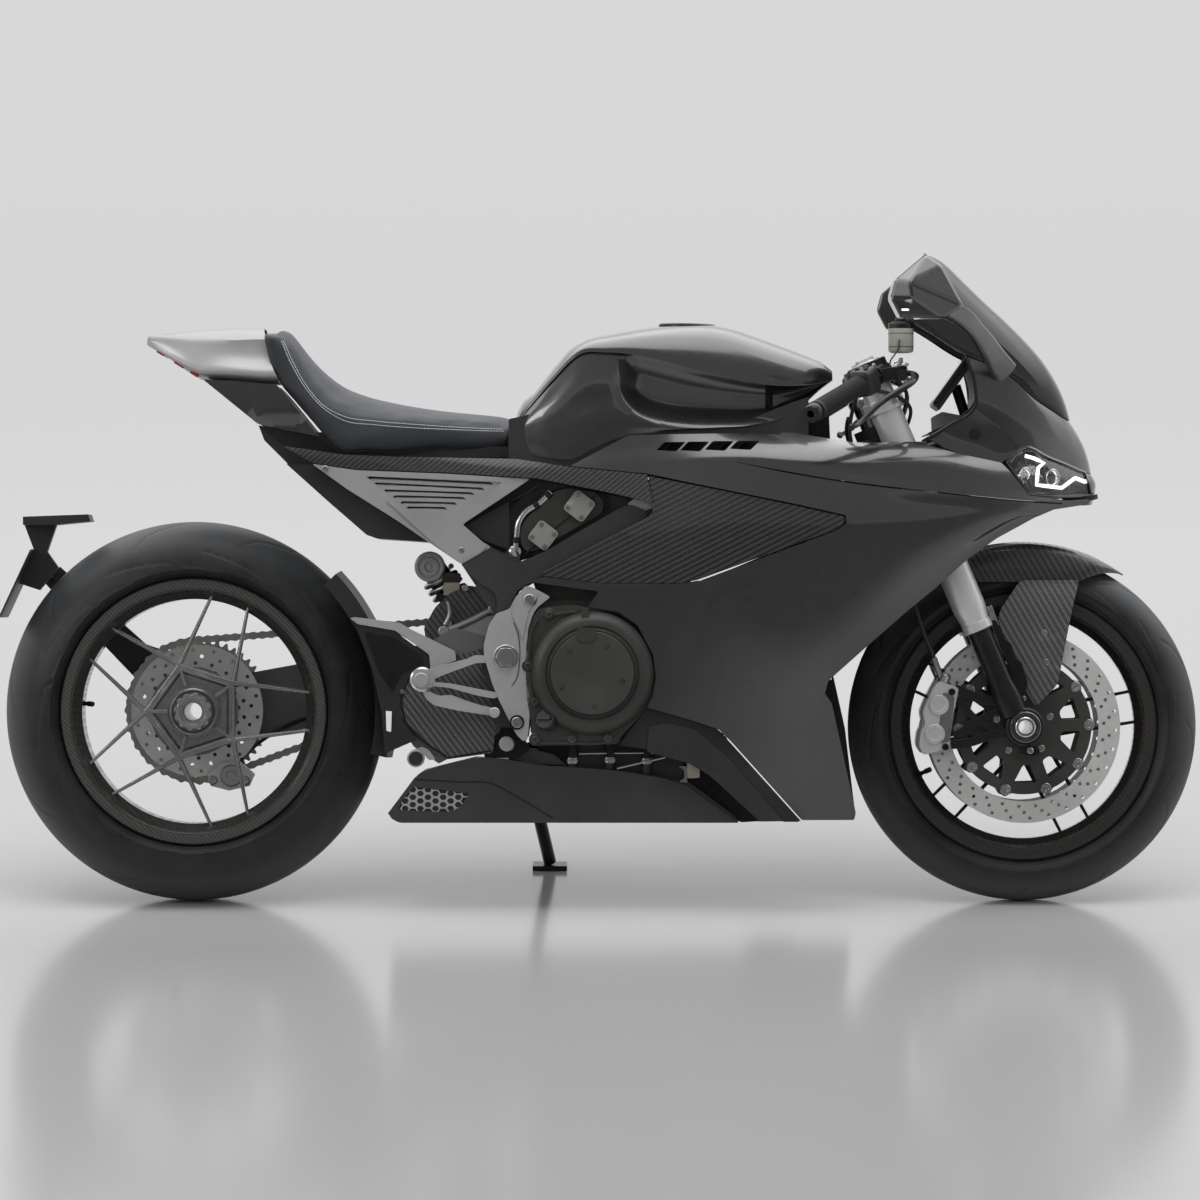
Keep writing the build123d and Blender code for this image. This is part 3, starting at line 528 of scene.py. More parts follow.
finish = {
    "glossBlack": lacquer("blackLacquer", (0.085, 0.085, 0.087), (0.1, 0.1, 0.102), **{"Metallic": 0.9}),
    "carbon": woven("sideCarbon", 0.00305, 72, (0.004, 0.004, 0.0045), (0.062, 0.062, 0.064)),
    "carbonFine": woven("fineCarbon", 0.0024, 84, (0.004, 0.004, 0.0045), (0.07, 0.07, 0.072)),
    "carbonRib": woven("guardCarbon", 0.0034, -15, (0.007, 0.007, 0.0075), (0.1, 0.1, 0.103)),
    "darkPlastic": grainy("mouldedPlastic", (0.011, 0.011, 0.012), (0.018, 0.018, 0.019), 0, 0.46, 1500, 0.3),
    "satinBlack": grainy("satinBlackMetal", (0.008, 0.008, 0.008), (0.014, 0.014, 0.014), 0.3, 0.3, 1200, 0.08),
    "frameMetal": grainy("frameMetal", (0.045, 0.045, 0.046), (0.06, 0.06, 0.061), 0.6, 0.42, 1200, 0.1),
    "engineCast": grainy("engineCasting", (0.04, 0.04, 0.037), (0.062, 0.062, 0.058), 0.55, 0.44, 1700, 0.25),
    "coverCast": grainy("coverCasting", (0.15, 0.15, 0.14), (0.2, 0.2, 0.19), 0.6, 0.46, 1700, 0.2),
    "alloy": grainy("satinAlloy", (0.4, 0.4, 0.4), (0.5, 0.5, 0.5), 0.85, 0.4, 1500, 0.18),
    "brightAlloy": grainy("brightAlloy", (0.6, 0.6, 0.6), (0.7, 0.7, 0.7), 1.0, 0.24, 1500, 0.06),
    "steel": grainy("brushedSteel", (0.42, 0.42, 0.42), (0.52, 0.52, 0.51), 1.0, 0.3, 1500, 0.1),
    "darkSteel": grainy("darkSteel", (0.1, 0.098, 0.09), (0.16, 0.155, 0.145), 0.9, 0.36, 1500, 0.1),
    "rubber": grainy("softRubber", (0.011, 0.011, 0.0115), (0.017, 0.017, 0.0175), 0, 0.62, 1300, 0.25),
    "hose": grainy("hoseBraid", (0.012, 0.012, 0.012), (0.03, 0.03, 0.03), 0.1, 0.45, 2400, 0.4),
    "plateWhite": grainy("blankPlate", (0.7, 0.7, 0.7), (0.76, 0.76, 0.76), 0, 0.4, 900, 0.04),
    "reservoirMilk": grainy("reservoirPlastic", (0.24, 0.24, 0.2), (0.3, 0.3, 0.26), 0, 0.34, 900, 0.05),
    # painted shade: a near-black finish for backs, slots and openings where only shade is seen, also used for dark seam
    # lines
    "void": grainy("deepShade", (0.003, 0.003, 0.003), (0.005, 0.005, 0.005), 0, 0.7, 900, 0.1),
    "redPlastic": grainy("redPlastic", (0.4, 0.012, 0.02), (0.5, 0.02, 0.03), 0, 0.35, 900, 0.05),
    "tan": grainy("sandPlastic", (0.3, 0.27, 0.21), (0.36, 0.33, 0.26), 0, 0.5, 900, 0.1),
}


def leather():
    made = Finish("seatLeather", **{"Roughness": 0.55, "Sheen Weight": 0.25, "Sheen Roughness": 0.4,
                                    "Sheen Tint": (0.7, 0.75, 0.85), "Coat Weight": 0.12, "Coat Roughness": 0.4})
    at = made.space()
    cells = made.node("ShaderNodeTexVoronoi", {"Vector": at, "Scale": 420.0}, feature="DISTANCE_TO_EDGE")
    crease = made.noise(30, 5, 0.6, at)
    wear = made.noise(6, 4, 0.6, at)
    made.tint(made.spread(wear, 0, 1), (0.011, 0.012, 0.0145), (0.017, 0.0185, 0.022))
    made.feed("Roughness", made.math("ADD", made.spread(crease, 0.48, 0.6), made.spread(wear, 0, 0.06)))
    height = made.math("ADD", made.math("MINIMUM", cells.outputs["Distance"], 0.12),
                       made.math("MULTIPLY", crease, 0.05))
    made.bump(height, 0.55, 0.002)
    return made.material


finish["seatLeather"] = leather()


def tyreRubber(name, hub, radius):
    # moulded rubber: fine turned rings on the side walls, duller where it meets the road, and the tread painted lighter
    # towards its crown as a painted highlight
    made = Finish(name, **{"Roughness": 0.5, "Specular IOR Level": 0.45})
    parts = made.node("ShaderNodeSeparateXYZ", {0: made.space()}).outputs
    x = made.math("SUBTRACT", parts[0], hub[0] / 1000)
    z = made.math("SUBTRACT", parts[2], hub[2] / 1000)
    out = made.math("SQRT", made.math("ADD", made.math("MULTIPLY", x, x), made.math("MULTIPLY", z, z)))
    rings = made.math("SINE", made.math("MULTIPLY", out, 2 * math.pi / 0.0035))
    wall = made.spread(out, 1, 0, (radius - 62) / 1000, (radius - 56) / 1000)
    dust = made.noise(12, 6, 0.65)
    # painted highlight: the rubber's colour is lifted towards the tread's crown, standing in for the light it catches
    crown = made.spread(out, 0, 1, (radius - 45) / 1000, (radius - 5) / 1000)
    made.tint(made.math("ADD", made.spread(dust, 0, 0.25), made.math("MULTIPLY", crown, 0.75)),
              (0.0045, 0.0048, 0.005), (0.05, 0.052, 0.055))
    made.feed("Roughness", made.math("ADD", made.spread(dust, 0.42, 0.54), made.math("MULTIPLY", crown, 0.05)))
    height = made.math("ADD", made.math("MULTIPLY", made.math("MULTIPLY", rings, wall), 0.3),
                       made.noise(700, 3, 0.6))
    made.bump(height, 0.25, 0.0006)
    return made.material


def clear(name, colour, rough=0.02, thin=1.0):
    made = Finish(name, **{"Base Color": colour, "Transmission Weight": thin, "IOR": 1.3, "Coat Weight": 0.4,
                           "Coat Roughness": 0.02})
    made.feed("Roughness", made.spread(made.noise(30, 4, 0.6), rough, rough + 0.03))
    return made.material


finish["rearRubber"] = tyreRubber("rearRubber", rearHub, 326)
finish["frontRubber"] = tyreRubber("frontRubber", frontHub, 300)
finish["lens"] = clear("clearLens", (0.93, 0.94, 0.95))
finish["screenSmoke"] = clear("smokedScreen", (0.035, 0.035, 0.037), 0.04, 0.55)
finish["redLens"] = clear("redLens", (0.5, 0.03, 0.03), 0.1, 0.5)


def glow(name, colour, strength):
    made = Finish(name, **{"Base Color": (0.8, 0.8, 0.8), "Emission Color": colour, "Emission Strength": strength})
    made.feed("Roughness", made.spread(made.noise(300, 3, 0.6), 0.3, 0.45))
    return made.material


finish["runningLight"] = glow("runningLight", (0.92, 0.96, 1), 1.3)
print("finishes ready")


def nodeTree(name, sockets):
    tree = bpy.data.node_groups.new(name, "GeometryNodeTree")
    tree.interface.new_socket("Geometry", in_out="INPUT", socket_type="NodeSocketGeometry")
    for label, kind in sockets:
        tree.interface.new_socket(label, in_out="INPUT", socket_type=kind)
    tree.interface.new_socket("Geometry", in_out="OUTPUT", socket_type="NodeSocketGeometry")
    return tree


def placer(tree, points, turn, given):
    # the item on every point, made real, in its finish
    item = addNode(tree, "GeometryNodeObjectInfo", {"Object": given["Item"]})
    size = addNode(tree, "ShaderNodeCombineXYZ", {0: given["Size"], 1: given["Size"], 2: given["Size"]}).outputs[0]
    spread = addNode(tree, "GeometryNodeInstanceOnPoints", {"Points": points, "Instance": item.outputs["Geometry"],
                                                             "Rotation": turn, "Scale": size})
    real = addNode(tree, "GeometryNodeRealizeInstances", {"Geometry": spread.outputs[0]})
    done = addNode(tree, "GeometryNodeSetMaterial", {"Geometry": real.outputs[0], "Material": given["Finish"]})
    tree.links.new(done.outputs[0], addNode(tree, "NodeGroupOutput").inputs[0])


def scatterTree():
    # an item on every vertex, turned by the vertex's own angles
    tree = nodeTree("scatter", [("Item", "NodeSocketObject"), ("Size", "NodeSocketFloat"),
                                ("Finish", "NodeSocketMaterial")])
    given = addNode(tree, "NodeGroupInput").outputs
    points = addNode(tree, "GeometryNodeMeshToPoints", {"Mesh": given["Geometry"]}).outputs[0]
    turn = addNode(tree, "GeometryNodeInputNamedAttribute", {"Name": "turn"}, data_type="FLOAT_VECTOR").outputs[0]
    placer(tree, points, turn, given)
    return tree


def pathTree():
    # an item every so far along a line, its x along the line and its z to the line's own side
    tree = nodeTree("alongPath", [("Item", "NodeSocketObject"), ("Size", "NodeSocketFloat"),
                                  ("Finish", "NodeSocketMaterial"), ("Count", "NodeSocketInt")])
    given = addNode(tree, "NodeGroupInput").outputs
    line = addNode(tree, "GeometryNodeMeshToCurve", {"Mesh": given["Geometry"]}).outputs[0]
    even = addNode(tree, "GeometryNodeResampleCurve", {"Curve": line, "Count": given["Count"]}).outputs[0]
    points = addNode(tree, "GeometryNodeCurveToPoints", {"Curve": even}, mode="EVALUATED")
    ahead = addNode(tree, "FunctionNodeAlignRotationToVector", {"Vector": points.outputs["Tangent"]}, axis="X")
    side = addNode(tree, "GeometryNodeInputNamedAttribute", {"Name": "side"}, data_type="FLOAT_VECTOR").outputs[0]
    turn = addNode(tree, "FunctionNodeAlignRotationToVector", {"Rotation": ahead.outputs[0], "Vector": side},
                    axis="Z", pivot_axis="X")
    placer(tree, points.outputs["Points"], turn.outputs[0], given)
    return tree


trees = {"scatter": scatterTree(), "path": pathTree()}


def grown(name, carrier, tree, values, finish, body, sharp):
    # run a tree on a carrier and keep the result as a plain mesh
    holder = bpy.data.objects.new(name + "Seed", carrier)
    bpy.context.collection.objects.link(holder)
    mod = holder.modifiers.new("grow", "NODES")
    mod.node_group = tree
    sockets = {item.name: item.identifier for item in tree.interface.items_tree if item.in_out == "INPUT"}
    for key, value in {**values, "Finish": finish}.items():
        mod[sockets[key]] = value
    shape = bpy.data.meshes.new_from_object(holder.evaluated_get(bpy.context.evaluated_depsgraph_get()))
    holder.modifiers.remove(mod)
    shape.name = name
    if not shape.materials:
        shape.materials.append(finish)
    bpy.data.objects.remove(holder)
    bpy.data.objects.remove(values["Item"])
    shape.polygons.foreach_set("use_smooth", [True] * len(shape.polygons))
    shape.set_sharp_from_angle(angle=math.radians(sharp))
    return link(name, shape, body, ())


def seedItem(shape):
    # an item's own mesh in metres, about its own origin
    mesh = bpy.data.meshes.new("item")
    mesh.from_pydata((np.array(shape.points) / 1000).tolist(), [], shape.faces)
    made = bpy.data.objects.new("item", mesh)
    bpy.context.collection.objects.link(made)
    return made


def scatter(name, shape, places, finish, body="chassis", size=1.0, sharp=35):
    # places: origin, the way the item's z points, and the way its x points
    carrier = bpy.data.meshes.new(name + "Seed")
    carrier.from_pydata(place([spot for spot, aim, ahead in places]).tolist(), [], [])
    turns = carrier.attributes.new("turn", "FLOAT_VECTOR", "POINT")
    for k, (spot, aim, ahead) in enumerate(places):
        z = np.array(aim, float) / np.linalg.norm(aim)
        x = np.array(ahead, float) - z * (np.array(ahead, float) @ z)
        x /= np.linalg.norm(x)
        own = leanTurn @ np.column_stack([x, np.cross(z, x), z])
        turns.data[k].vector = Matrix(own.tolist()).to_euler()
    return grown(name, carrier, trees["scatter"], {"Item": seedItem(shape), "Size": size}, finish, body, sharp)


def follow(name, shape, line, count, finish, body="chassis", side=(0, -1, 0), size=1.0, close=False,
           sharp=35):
    line = np.asarray(line, float)
    carrier = bpy.data.meshes.new(name + "Seed")
    edges = [(k, k + 1) for k in range(len(line) - 1)] + ([(len(line) - 1, 0)] if close else [])
    carrier.from_pydata(place(line).tolist(), edges, [])
    sides = np.asarray(side, float)
    sides = np.tile(sides, (len(line), 1)) if sides.ndim == 1 else sides
    store = carrier.attributes.new("side", "FLOAT_VECTOR", "POINT")
    store.data.foreach_set("vector", (sides @ leanTurn.T).ravel())
    return grown(name, carrier, trees["path"], {"Item": seedItem(shape), "Size": size, "Count": count}, finish, body,
                 sharp)


def around(hub, count, start=0.0, radius=0.0, y=0.0, aim=(0, -1, 0)):
    # places round an axle, x pointing outward
    found = []
    for k in range(count):
        out = outward(start + 360 * k / count)
        found.append((np.array(hub, float) + out * radius + np.array((0, y, 0)), aim, out))
    return found


def capScrew(radius=5.0, tall=5.0, socket=0.5, sides=20):
    # a socket-head screw about z, its foot at z 0
    deep, hexR = tall * 0.55, radius * socket
    points = [(x, y, z) for z, r in ((0, radius), (tall - 0.8, radius), (tall, radius - 0.8), (tall, hexR * 1.12))
              for x, y in disc2d(0, 0, r, sides)]
    faces = [[i * sides + j, i * sides + (j + 1) % sides, (i + 1) * sides + (j + 1) % sides, (i + 1) * sides + j]
             for i in range(3) for j in range(sides)]
    base = len(points)
    for z in (tall, tall - deep):
        for j in range(sides):
            a = 2 * math.pi * j / sides
            six = hexR * math.cos(math.pi / 6) / math.cos((a % (math.pi / 3)) - math.pi / 6)
            points.append((six * math.cos(a), six * math.sin(a), z))
    for j in range(sides):
        k = (j + 1) % sides
        faces.append([3 * sides + j, 3 * sides + k, base + k, base + j])
        faces.append([base + j, base + k, base + sides + k, base + sides + j])
    faces.append([base + sides + j for j in range(sides)])
    return Build().add(points, faces)


def domeScrew(radius=5.0, tall=3.0, socket=0.45):
    made = capScrew(radius, tall, socket)
    made.points = [(x, y, z if math.hypot(x, y) < radius * 0.9 else z * 0.35) for x, y, z in made.points]
    return made


def hexNut(radius, tall, bore):
    steps = ((0, radius), (tall * 0.8, radius), (tall, radius * 0.93), (tall, bore), (0, bore))
    return formed(grid([[(x, y, z) for x, y in disc2d(0, 0, r, 6)] for z, r in steps], close=True))


print("node trees ready")
# side skin: x, then y, z at the deck edge, deck, cover, seam, soft line, ridge, crease, edge and foot
skinTable = [
    (-560, (100, 800), (112, 790), (116, 780), (118, 770), (117, 742), (115, 700), (110, 600), (100, 400), (90, 130)),
    (-350, (110, 790), (122, 775), (127, 766), (130, 755), (131, 722), (132, 680), (125, 560), (115, 400), (100, 130)),
    (-130, (125, 775), (142, 755), (149, 744), (154, 730), (160, 690), (165, 640), (168, 520), (160, 300), (138, 130)),
    (80, (150, 800), (158, 776), (166, 757), (172, 738), (182, 694), (191, 640), (190, 480), (176, 300), (150, 130)),
    (232, (146, 803), (178, 778), (190, 766), (197, 752), (207, 704), (214, 648), (203, 470), (180, 300), (148, 130)),
    (330, (128, 803), (180, 774), (199, 758), (205, 734), (213, 694), (222, 648), (203, 430), (178, 300), (145, 130)),
    (430, (150, 786), (186, 771), (206, 752), (211, 719), (215, 684), (222, 648), (207, 500), (193, 420), (140, 130)),
    (556, (148, 787), (172, 775), (194, 752), (202, 704), (203, 678), (207, 655), (198, 583), (178, 526), (130, 130)),
    (640, (130, 772), (154, 760), (174, 738), (183, 695), (183, 678), (184, 664), (177, 628), (160, 597), (120, 130)),
    (720, (112, 755), (128, 742), (138, 722), (144, 690), (144, 681), (143, 672), (138, 660), (124, 648), (100, 130)),
    (800, (76, 740), (85, 730), (90, 712), (92, 694), (92, 686), (90, 676), (86, 660), (76, 645), (60, 130)),
    (850, (44, 728), (50, 722), (54, 710), (56, 698), (56, 690), (54, 680), (50, 668), (44, 655), (30, 130)),
]
skinX = np.array([row[0] for row in skinTable], float)
skinRows = np.array([row[1:] for row in skinTable], float)
skinKnots = np.array([0, 35, 60, 95, 132, 175, 300, 400, 660], float)
skinFine = np.linspace(0, 660, 331)


def skinSection(x):
    rows = spline([x], skinX, skinRows)[0]
    return spline(skinFine, skinKnots, rows, corners=(5,))


sectionCache = {}


def sectionAt(x):
    key = round(x, 1)
    if key not in sectionCache:
        sectionCache[key] = skinSection(x)
    return sectionCache[key]


def onSkin(x, z):
    # how far down the section from the deck edge a height lies
    section = sectionAt(x)
    return float(np.interp(-z, -section[:, 1], skinFine))


def skinAt(flat, inset=0.0):
    # points of the skin for x and distance down the section
    result = []
    for x, s in flat:
        section = sectionAt(x)
        y = np.interp(s, skinFine, section[:, 0])
        z = np.interp(s, skinFine, section[:, 1])
        if inset:
            ahead, back = min(s + 6, 660), max(s - 6, 0)
            dy = np.interp(ahead, skinFine, section[:, 0]) - np.interp(back, skinFine, section[:, 0])
            dz = np.interp(ahead, skinFine, section[:, 1]) - np.interp(back, skinFine, section[:, 1])
            size = math.hypot(dy, dz)
            y, z = y + inset * dz / size, z - inset * dy / size
        result.append((x, -y, z))
    return result


def skinPanel(name, outer, look, holes=(), step=11, wall=4.0, inset=0.0, instead=(), slot=None, edge=1.0):
    # a thin panel of the side skin on both sides of the bike, cut to an outline in x and z
    def down(loop):
        return np.array([(x, onSkin(x, z)) for x, z in loop])

    flat, faces = filled(down(outer), [down(hole) for hole in holes], step)
    if not signed([(x, -s) for x, s in flat], faces):
        faces = [face[::-1] for face in faces]
    spots = np.array(skinAt(flat, inset))
    for side, turn in (("Right", 1), ("Left", -1)):
        points = spots * (1, turn, 1)
        made = piece(name + side, points, faces if turn > 0 else [f[::-1] for f in faces], look, sharp=40,
                     instead=instead, slot=slot)
        addWall(made, wall)
        addBevel(made, edge, 2, 50)
        instead = ()


bandTop = [(-542, 780), (-440, 765), (-346, 761), (-142, 757), (-51, 743), (80, 730), (165, 712), (336, 677),
           (414, 659)]
bandFoot = [(-491, 751), (-414, 740), (-261, 734), (-107, 724), (-5, 704), (89, 682)]
carbonFoot = [(412, 647), (401, 637), (166, 551), (135, 545), (0, 546), (-97, 558)]
fairingTop = [(-51, 745), (49, 798), (290, 802), (330, 803), (400, 790), (430, 786), (505, 786), (556, 787),
              (556, 781), (606, 767), (684, 751), (700, 735), (731, 695), (770, 691), (800, 687), (838, 690)]
archEdge = [(835, 681), (777, 672), (743, 658), (676, 622), (625, 586), (566, 534), (524, 500), (453, 438),
            (388, 380), (382, 358), (394, 341), (415, 247), (436, 154), (433, 142)]
ductEdge = [(344, 142), (224, 275), (202, 297), (151, 314), (79, 334)]
clutchEdge = [(90, 356), (95, 385), (90, 424), (64, 474), (30, 497), (-21, 505), (-4, 529)]
carbonLip = [(-4, 532), (135, 533), (170, 549), (402, 635), (418, 645), (417, 661)]


def panels():
    # fairing side with the long seam, vents below the tank and the carbon opening
    line = fairingTop + archEdge + ductEdge + clutchEdge + carbonLip + [(336, 679), (165, 714), (80, 732)]
    outer = flats(line, 3, 9)
    seam = [(232, 751.5), (330, 733), (430, 717), (556, 702.5), (640, 694), (720, 687), (790, 683)]
    low = [(x, z - 2.6 * min(1, (x - 200) / 120)) for x, z in reversed(seam)]
    slit = np.vstack([curve(seam, 12), curve(low, 12)])
    vents = []
    for x, z, long, tall in ((96, 779, 34, 14), (136, 779, 34, 15), (178, 780, 34, 15), (220, 781, 36, 14)):
        vents.append(flats([(x, z - tall / 2), (x + long, z - tall / 2 - 2), (x + long + 16, z + tall / 2),
                            (x + 14, z + tall / 2)], 3, 8))
    skinPanel("fairingSide", outer, finish["glossBlack"], [slit, *vents], 10, 4, 0, ("fairing",), "gloss_black", 1.1)
    # carbon infill, a little inside the fairing's edge
    carbon = [(-97, 565), (80, 658), (90, 668), (89, 682), (82, 729)] + bandTop[6:] + carbonFoot
    skinPanel("carbonPanel", flats(carbon, 4, 9), finish["carbon"], (), 12, 3, 3.0, ("carbon_side",), "carbon", 0.8)
    lip = [(-120, 548), (-97, 556), (0, 545), (135, 544), (166, 550), (172, 549), (135, 533), (-4, 532)]
    skinPanel("carbonSill", flats(lip, 2, 8), finish["glossBlack"], (), 8, 4, 1.0, slot="gloss_black", edge=0.8)
    band = bandTop[:6] + [(89, 683)] + list(reversed(bandFoot[:-1]))
    skinPanel("carbonStrip", flats(band, 3, 9), finish["carbonFine"], (), 10, 4, -1.0, ("carbon_band",), "carbon", 1)


panels()
print("fairing done")


def undertray():
    line = [(-536, 750), (-492, 747), (-431, 704), (-345, 650), (-292, 616), (-381, 622), (-398, 628), (-467, 688)]
    made = formed(plate(flats(line, 4, 12), -132, -100, (), 20)).mirrored()
    made.done("undertrayCheeks", "darkPlastic", slot="dark_plastic", bevel=3)
    nodes["undertray"].data.materials[0] = finish["darkPlastic"]


undertray()
print("undertray done")

# tank: lines along it, x then y, z
tank = {
    "columns": 84,
    "low": [(-150, 84, 792), (-138, 104, 774), (-110, 121, 763), (-78, 133, 758), (-47, 142, 757), (-10, 144, 776),
            (40, 143, 795), (90, 143, 802), (140, 142, 806), (200, 139, 809), (260, 133, 814), (310, 119, 828),
            (350, 97, 853), (380, 66, 880), (399, 40, 894)],
    "lip": [(-150, 88, 798), (-138, 109, 800), (-110, 127, 815), (-78, 138, 832), (-47, 143, 850), (-10, 145, 863),
            (20, 146, 861), (60, 146, 834), (104, 146, 816), (150, 144, 811), (200, 141, 812), (260, 135, 816),
            (310, 121, 829), (350, 98, 855), (380, 67, 882), (399, 41, 895)],
    "crease": [(-150, 84, 805), (-138, 99, 826), (-110, 112, 862), (-78, 120, 898), (-53, 126, 925), (-36, 130, 938),
               (10, 135, 942), (78, 137, 935), (120, 138, 925), (164, 137, 913), (232, 132, 897), (284, 122, 888),
               (335, 100, 887), (370, 76, 890), (399, 42, 896)],
    "crown": [(-150, 0, 813), (-144, 0, 834), (-110, 0, 877), (-76, 0, 921), (-52, 0, 948), (-24, 0, 964),
              (27, 0, 976), (96, 0, 987), (148, 0, 991), (199, 0, 989), (225, 0, 984), (268, 0, 970),
              (320, 0, 951), (363, 0, 934), (385, 0, 924), (399, 0, 912)],
    "recess": 40, "groove": 3.0,
}


def lineAt(line, xs):
    line = np.array(line, float)
    return spline(xs, line[:, 0], line[:, 1:])


def smoothStep(value):
    value = np.clip(value, 0, 1)
    return value * value * (3 - 2 * value)


def tankBody():
    xs = np.concatenate([np.linspace(-150, -40, 20)[:-1], np.linspace(-40, 399, tank["columns"] - 19)])
    low, lip, crease, crown = (lineAt(tank[key], xs) for key in ("low", "lip", "crease", "crown"))
    rows = []
    for v in np.linspace(0, 1, 5):
        y = low[:, 0] + (lip[:, 0] - low[:, 0]) * v + 1.5 * math.sin(math.pi * v)
        rows.append(np.column_stack([xs, -y, low[:, 1] + (lip[:, 1] - low[:, 1]) * v]))
    start = smoothStep((xs - 14) / 62)
    front = smoothStep((xs - 284) / 12)
    deep = tank["recess"] * start * (1 - 0.25 * smoothStep((xs - 150) / 160)) + 26 * front
    for v in np.linspace(0, 1, 19)[1:]:
        y = lip[:, 0] + (crease[:, 0] - lip[:, 0]) * v + 5 * math.sin(math.pi * v) * (1 - start)
        bowl = min(1, v / 0.42)
        bowl = math.sin(bowl * math.pi / 2) ** 1.4 * (1 - 0.45 * max(0, (v - 0.7) / 0.3) ** 2)
        narrow = np.clip((crease[:, 1] - lip[:, 1]) / 60, 0, 1)
        rows.append(np.column_stack([xs, -(y - deep * bowl * narrow - tank["groove"] * (v > 0.97)),
                                     lip[:, 1] + (crease[:, 1] - lip[:, 1]) * v]))
    body = formed(grid(rows))
    keel = [np.column_stack([xs, 0 * xs, low[:, 1] + 6]), np.column_stack([xs, -low[:, 0], low[:, 1]])]
    body.add(*grid(keel)).mirrored()
    body.done("tankBody", "glossBlack", sharp=34, instead=("tank",), slot="gloss_black", merge=0.02)
    # cover over the top, with a small step all round
    up = crown[:, 1] - crease[:, 1]
    profile = [(-0.045, -0.02, -2.6), (0.0, 0.0, -2.2), (0.006, 0.02, 0.8), (0.012, 0.10, 3), (0.06, 0.36, 0), (0.17,
            0.62, 0),
               (0.34, 0.81, 0), (0.55, 0.93, 0), (0.78, 0.985, 0), (1.0, 1.0, 0)]
    cover = []
    for inward, rise, drop in profile:
        y = crease[:, 0] * (1 - inward)
        z = crease[:, 1] + up * rise + min(drop, 1.2)
        cover.append(np.column_stack([xs, -y, z]))
    table = np.array(cover)
    knots = chord(table.mean(axis=1))
    fine = spline(pick(knots, 30, (1, 2)), knots, table, (1, 2))
    top = formed(grid(fine)).mirrored()
    top.done("tankCover", "glossBlack", sharp=40, slot="gloss_black", merge=0.02)


tankBody()


def tankCap():
    # flush filler cap
    at, aim = np.array((150, 0, 987.5)), (0.02, 0, 1)
    cap = formed(lathe([(0, 0), (4.5, 0), (4.5, 26), (3.2, 29), (3.2, 33), (4.6, 34), (4.6, 46), (2.6, 49),
                              (0, 49)], at, aim, 64))
    cap.done("fillerCap", "satinBlack", slot="black_metal", sharp=30)


tankCap()
print("tank done")

# seat: matching points of its foot, stitch line and crown, x, z, and its half width
seat = {
    "foot": [(-573, 977), (-567, 945), (-558, 915), (-548, 895), (-523, 861), (-490, 822), (-447, 773), (-400, 769),
             (-350, 767), (-281, 775), (-200, 777), (-153, 782)],
    "stitch": [(-548, 972), (-537, 955), (-529, 937), (-519, 917), (-494, 876), (-470, 850), (-436, 834), (-384, 826),
               (-314, 820), (-250, 815), (-195, 812), (-151, 810)],
    "crown": [(-545, 980), (-528, 972), (-514, 952), (-500, 932), (-466, 897), (-437, 877), (-400, 863), (-350, 851),
              (-284, 840), (-228, 834), (-180, 830), (-150, 827)],
    "half": [98, 101, 104, 107, 114, 119, 121, 121, 119, 112, 104, 95],
}


def seatRows(count=64):
    knots = chord([(x, z) for x, z in seat["stitch"]])
    at = np.linspace(0, knots[-1], count)
    foot, stitch, crown = (spline(at, knots, seat[key]) for key in ("foot", "stitch", "crown"))
    half = spline(at, knots, np.array(seat["half"], float)[:, None])[:, 0]
    rows = []
    # share of the way from line to line, and share of the half width
    side = [(0, 0.9), (0.02, 0.955), (0.25, 0.995), (0.6, 0.985), (1, 0.9)]
    over = [(0.22, 0.8), (0.5, 0.62), (0.76, 0.42), (0.93, 0.2), (1, 0)]
    for a, b, v, wide in [(foot, stitch, *s) for s in side] + [(stitch, crown, *s) for s in over]:
        spot = a + (b - a) * v
        rows.append(np.column_stack([spot[:, 0], -half * wide, spot[:, 1]]))
    table = np.array(rows)
    knots = chord(table.mean(axis=1))
    return spline(pick(knots, 26, (1, 4)), knots, table, (1, 4))


def swell(made, cap=0.004, voxel=0.006):
    # inflate the pad like stuffed cloth, and keep each point near its place
    mesh = made.data
    before = np.array([v.co for v in mesh.vertices])
    mod = made.modifiers.new("remesh", "REMESH")
    mod.mode, mod.voxel_size = "VOXEL", voxel
    graph = bpy.context.evaluated_depsgraph_get()
    fine = bpy.data.meshes.new_from_object(made.evaluated_get(graph))
    made.modifiers.clear()
    pad = bpy.data.objects.new("padCloth", fine)
    bpy.context.collection.objects.link(pad)
    rest = np.array([v.co for v in fine.vertices])
    cloth = pad.modifiers.new("cloth", "CLOTH")
    cloth.settings.use_pressure, cloth.settings.uniform_pressure_force = True, 4
    cloth.settings.effector_weights.gravity = 0
    cloth.settings.quality = 4
    cloth.collision_settings.use_collision = False
    scene = bpy.context.scene
    for step in range(1, 15):
        scene.frame_set(step)
    soft = bpy.data.meshes.new_from_object(pad.evaluated_get(bpy.context.evaluated_depsgraph_get()))
    now = np.array([v.co for v in soft.vertices])
    move = now - rest
    far = np.linalg.norm(move, axis=1)[:, None]
    now = rest + move * np.minimum(1, cap / np.maximum(far, 1e-9))
    bpy.data.objects.remove(pad)
    scene.frame_set(1)
    return rest, now, before


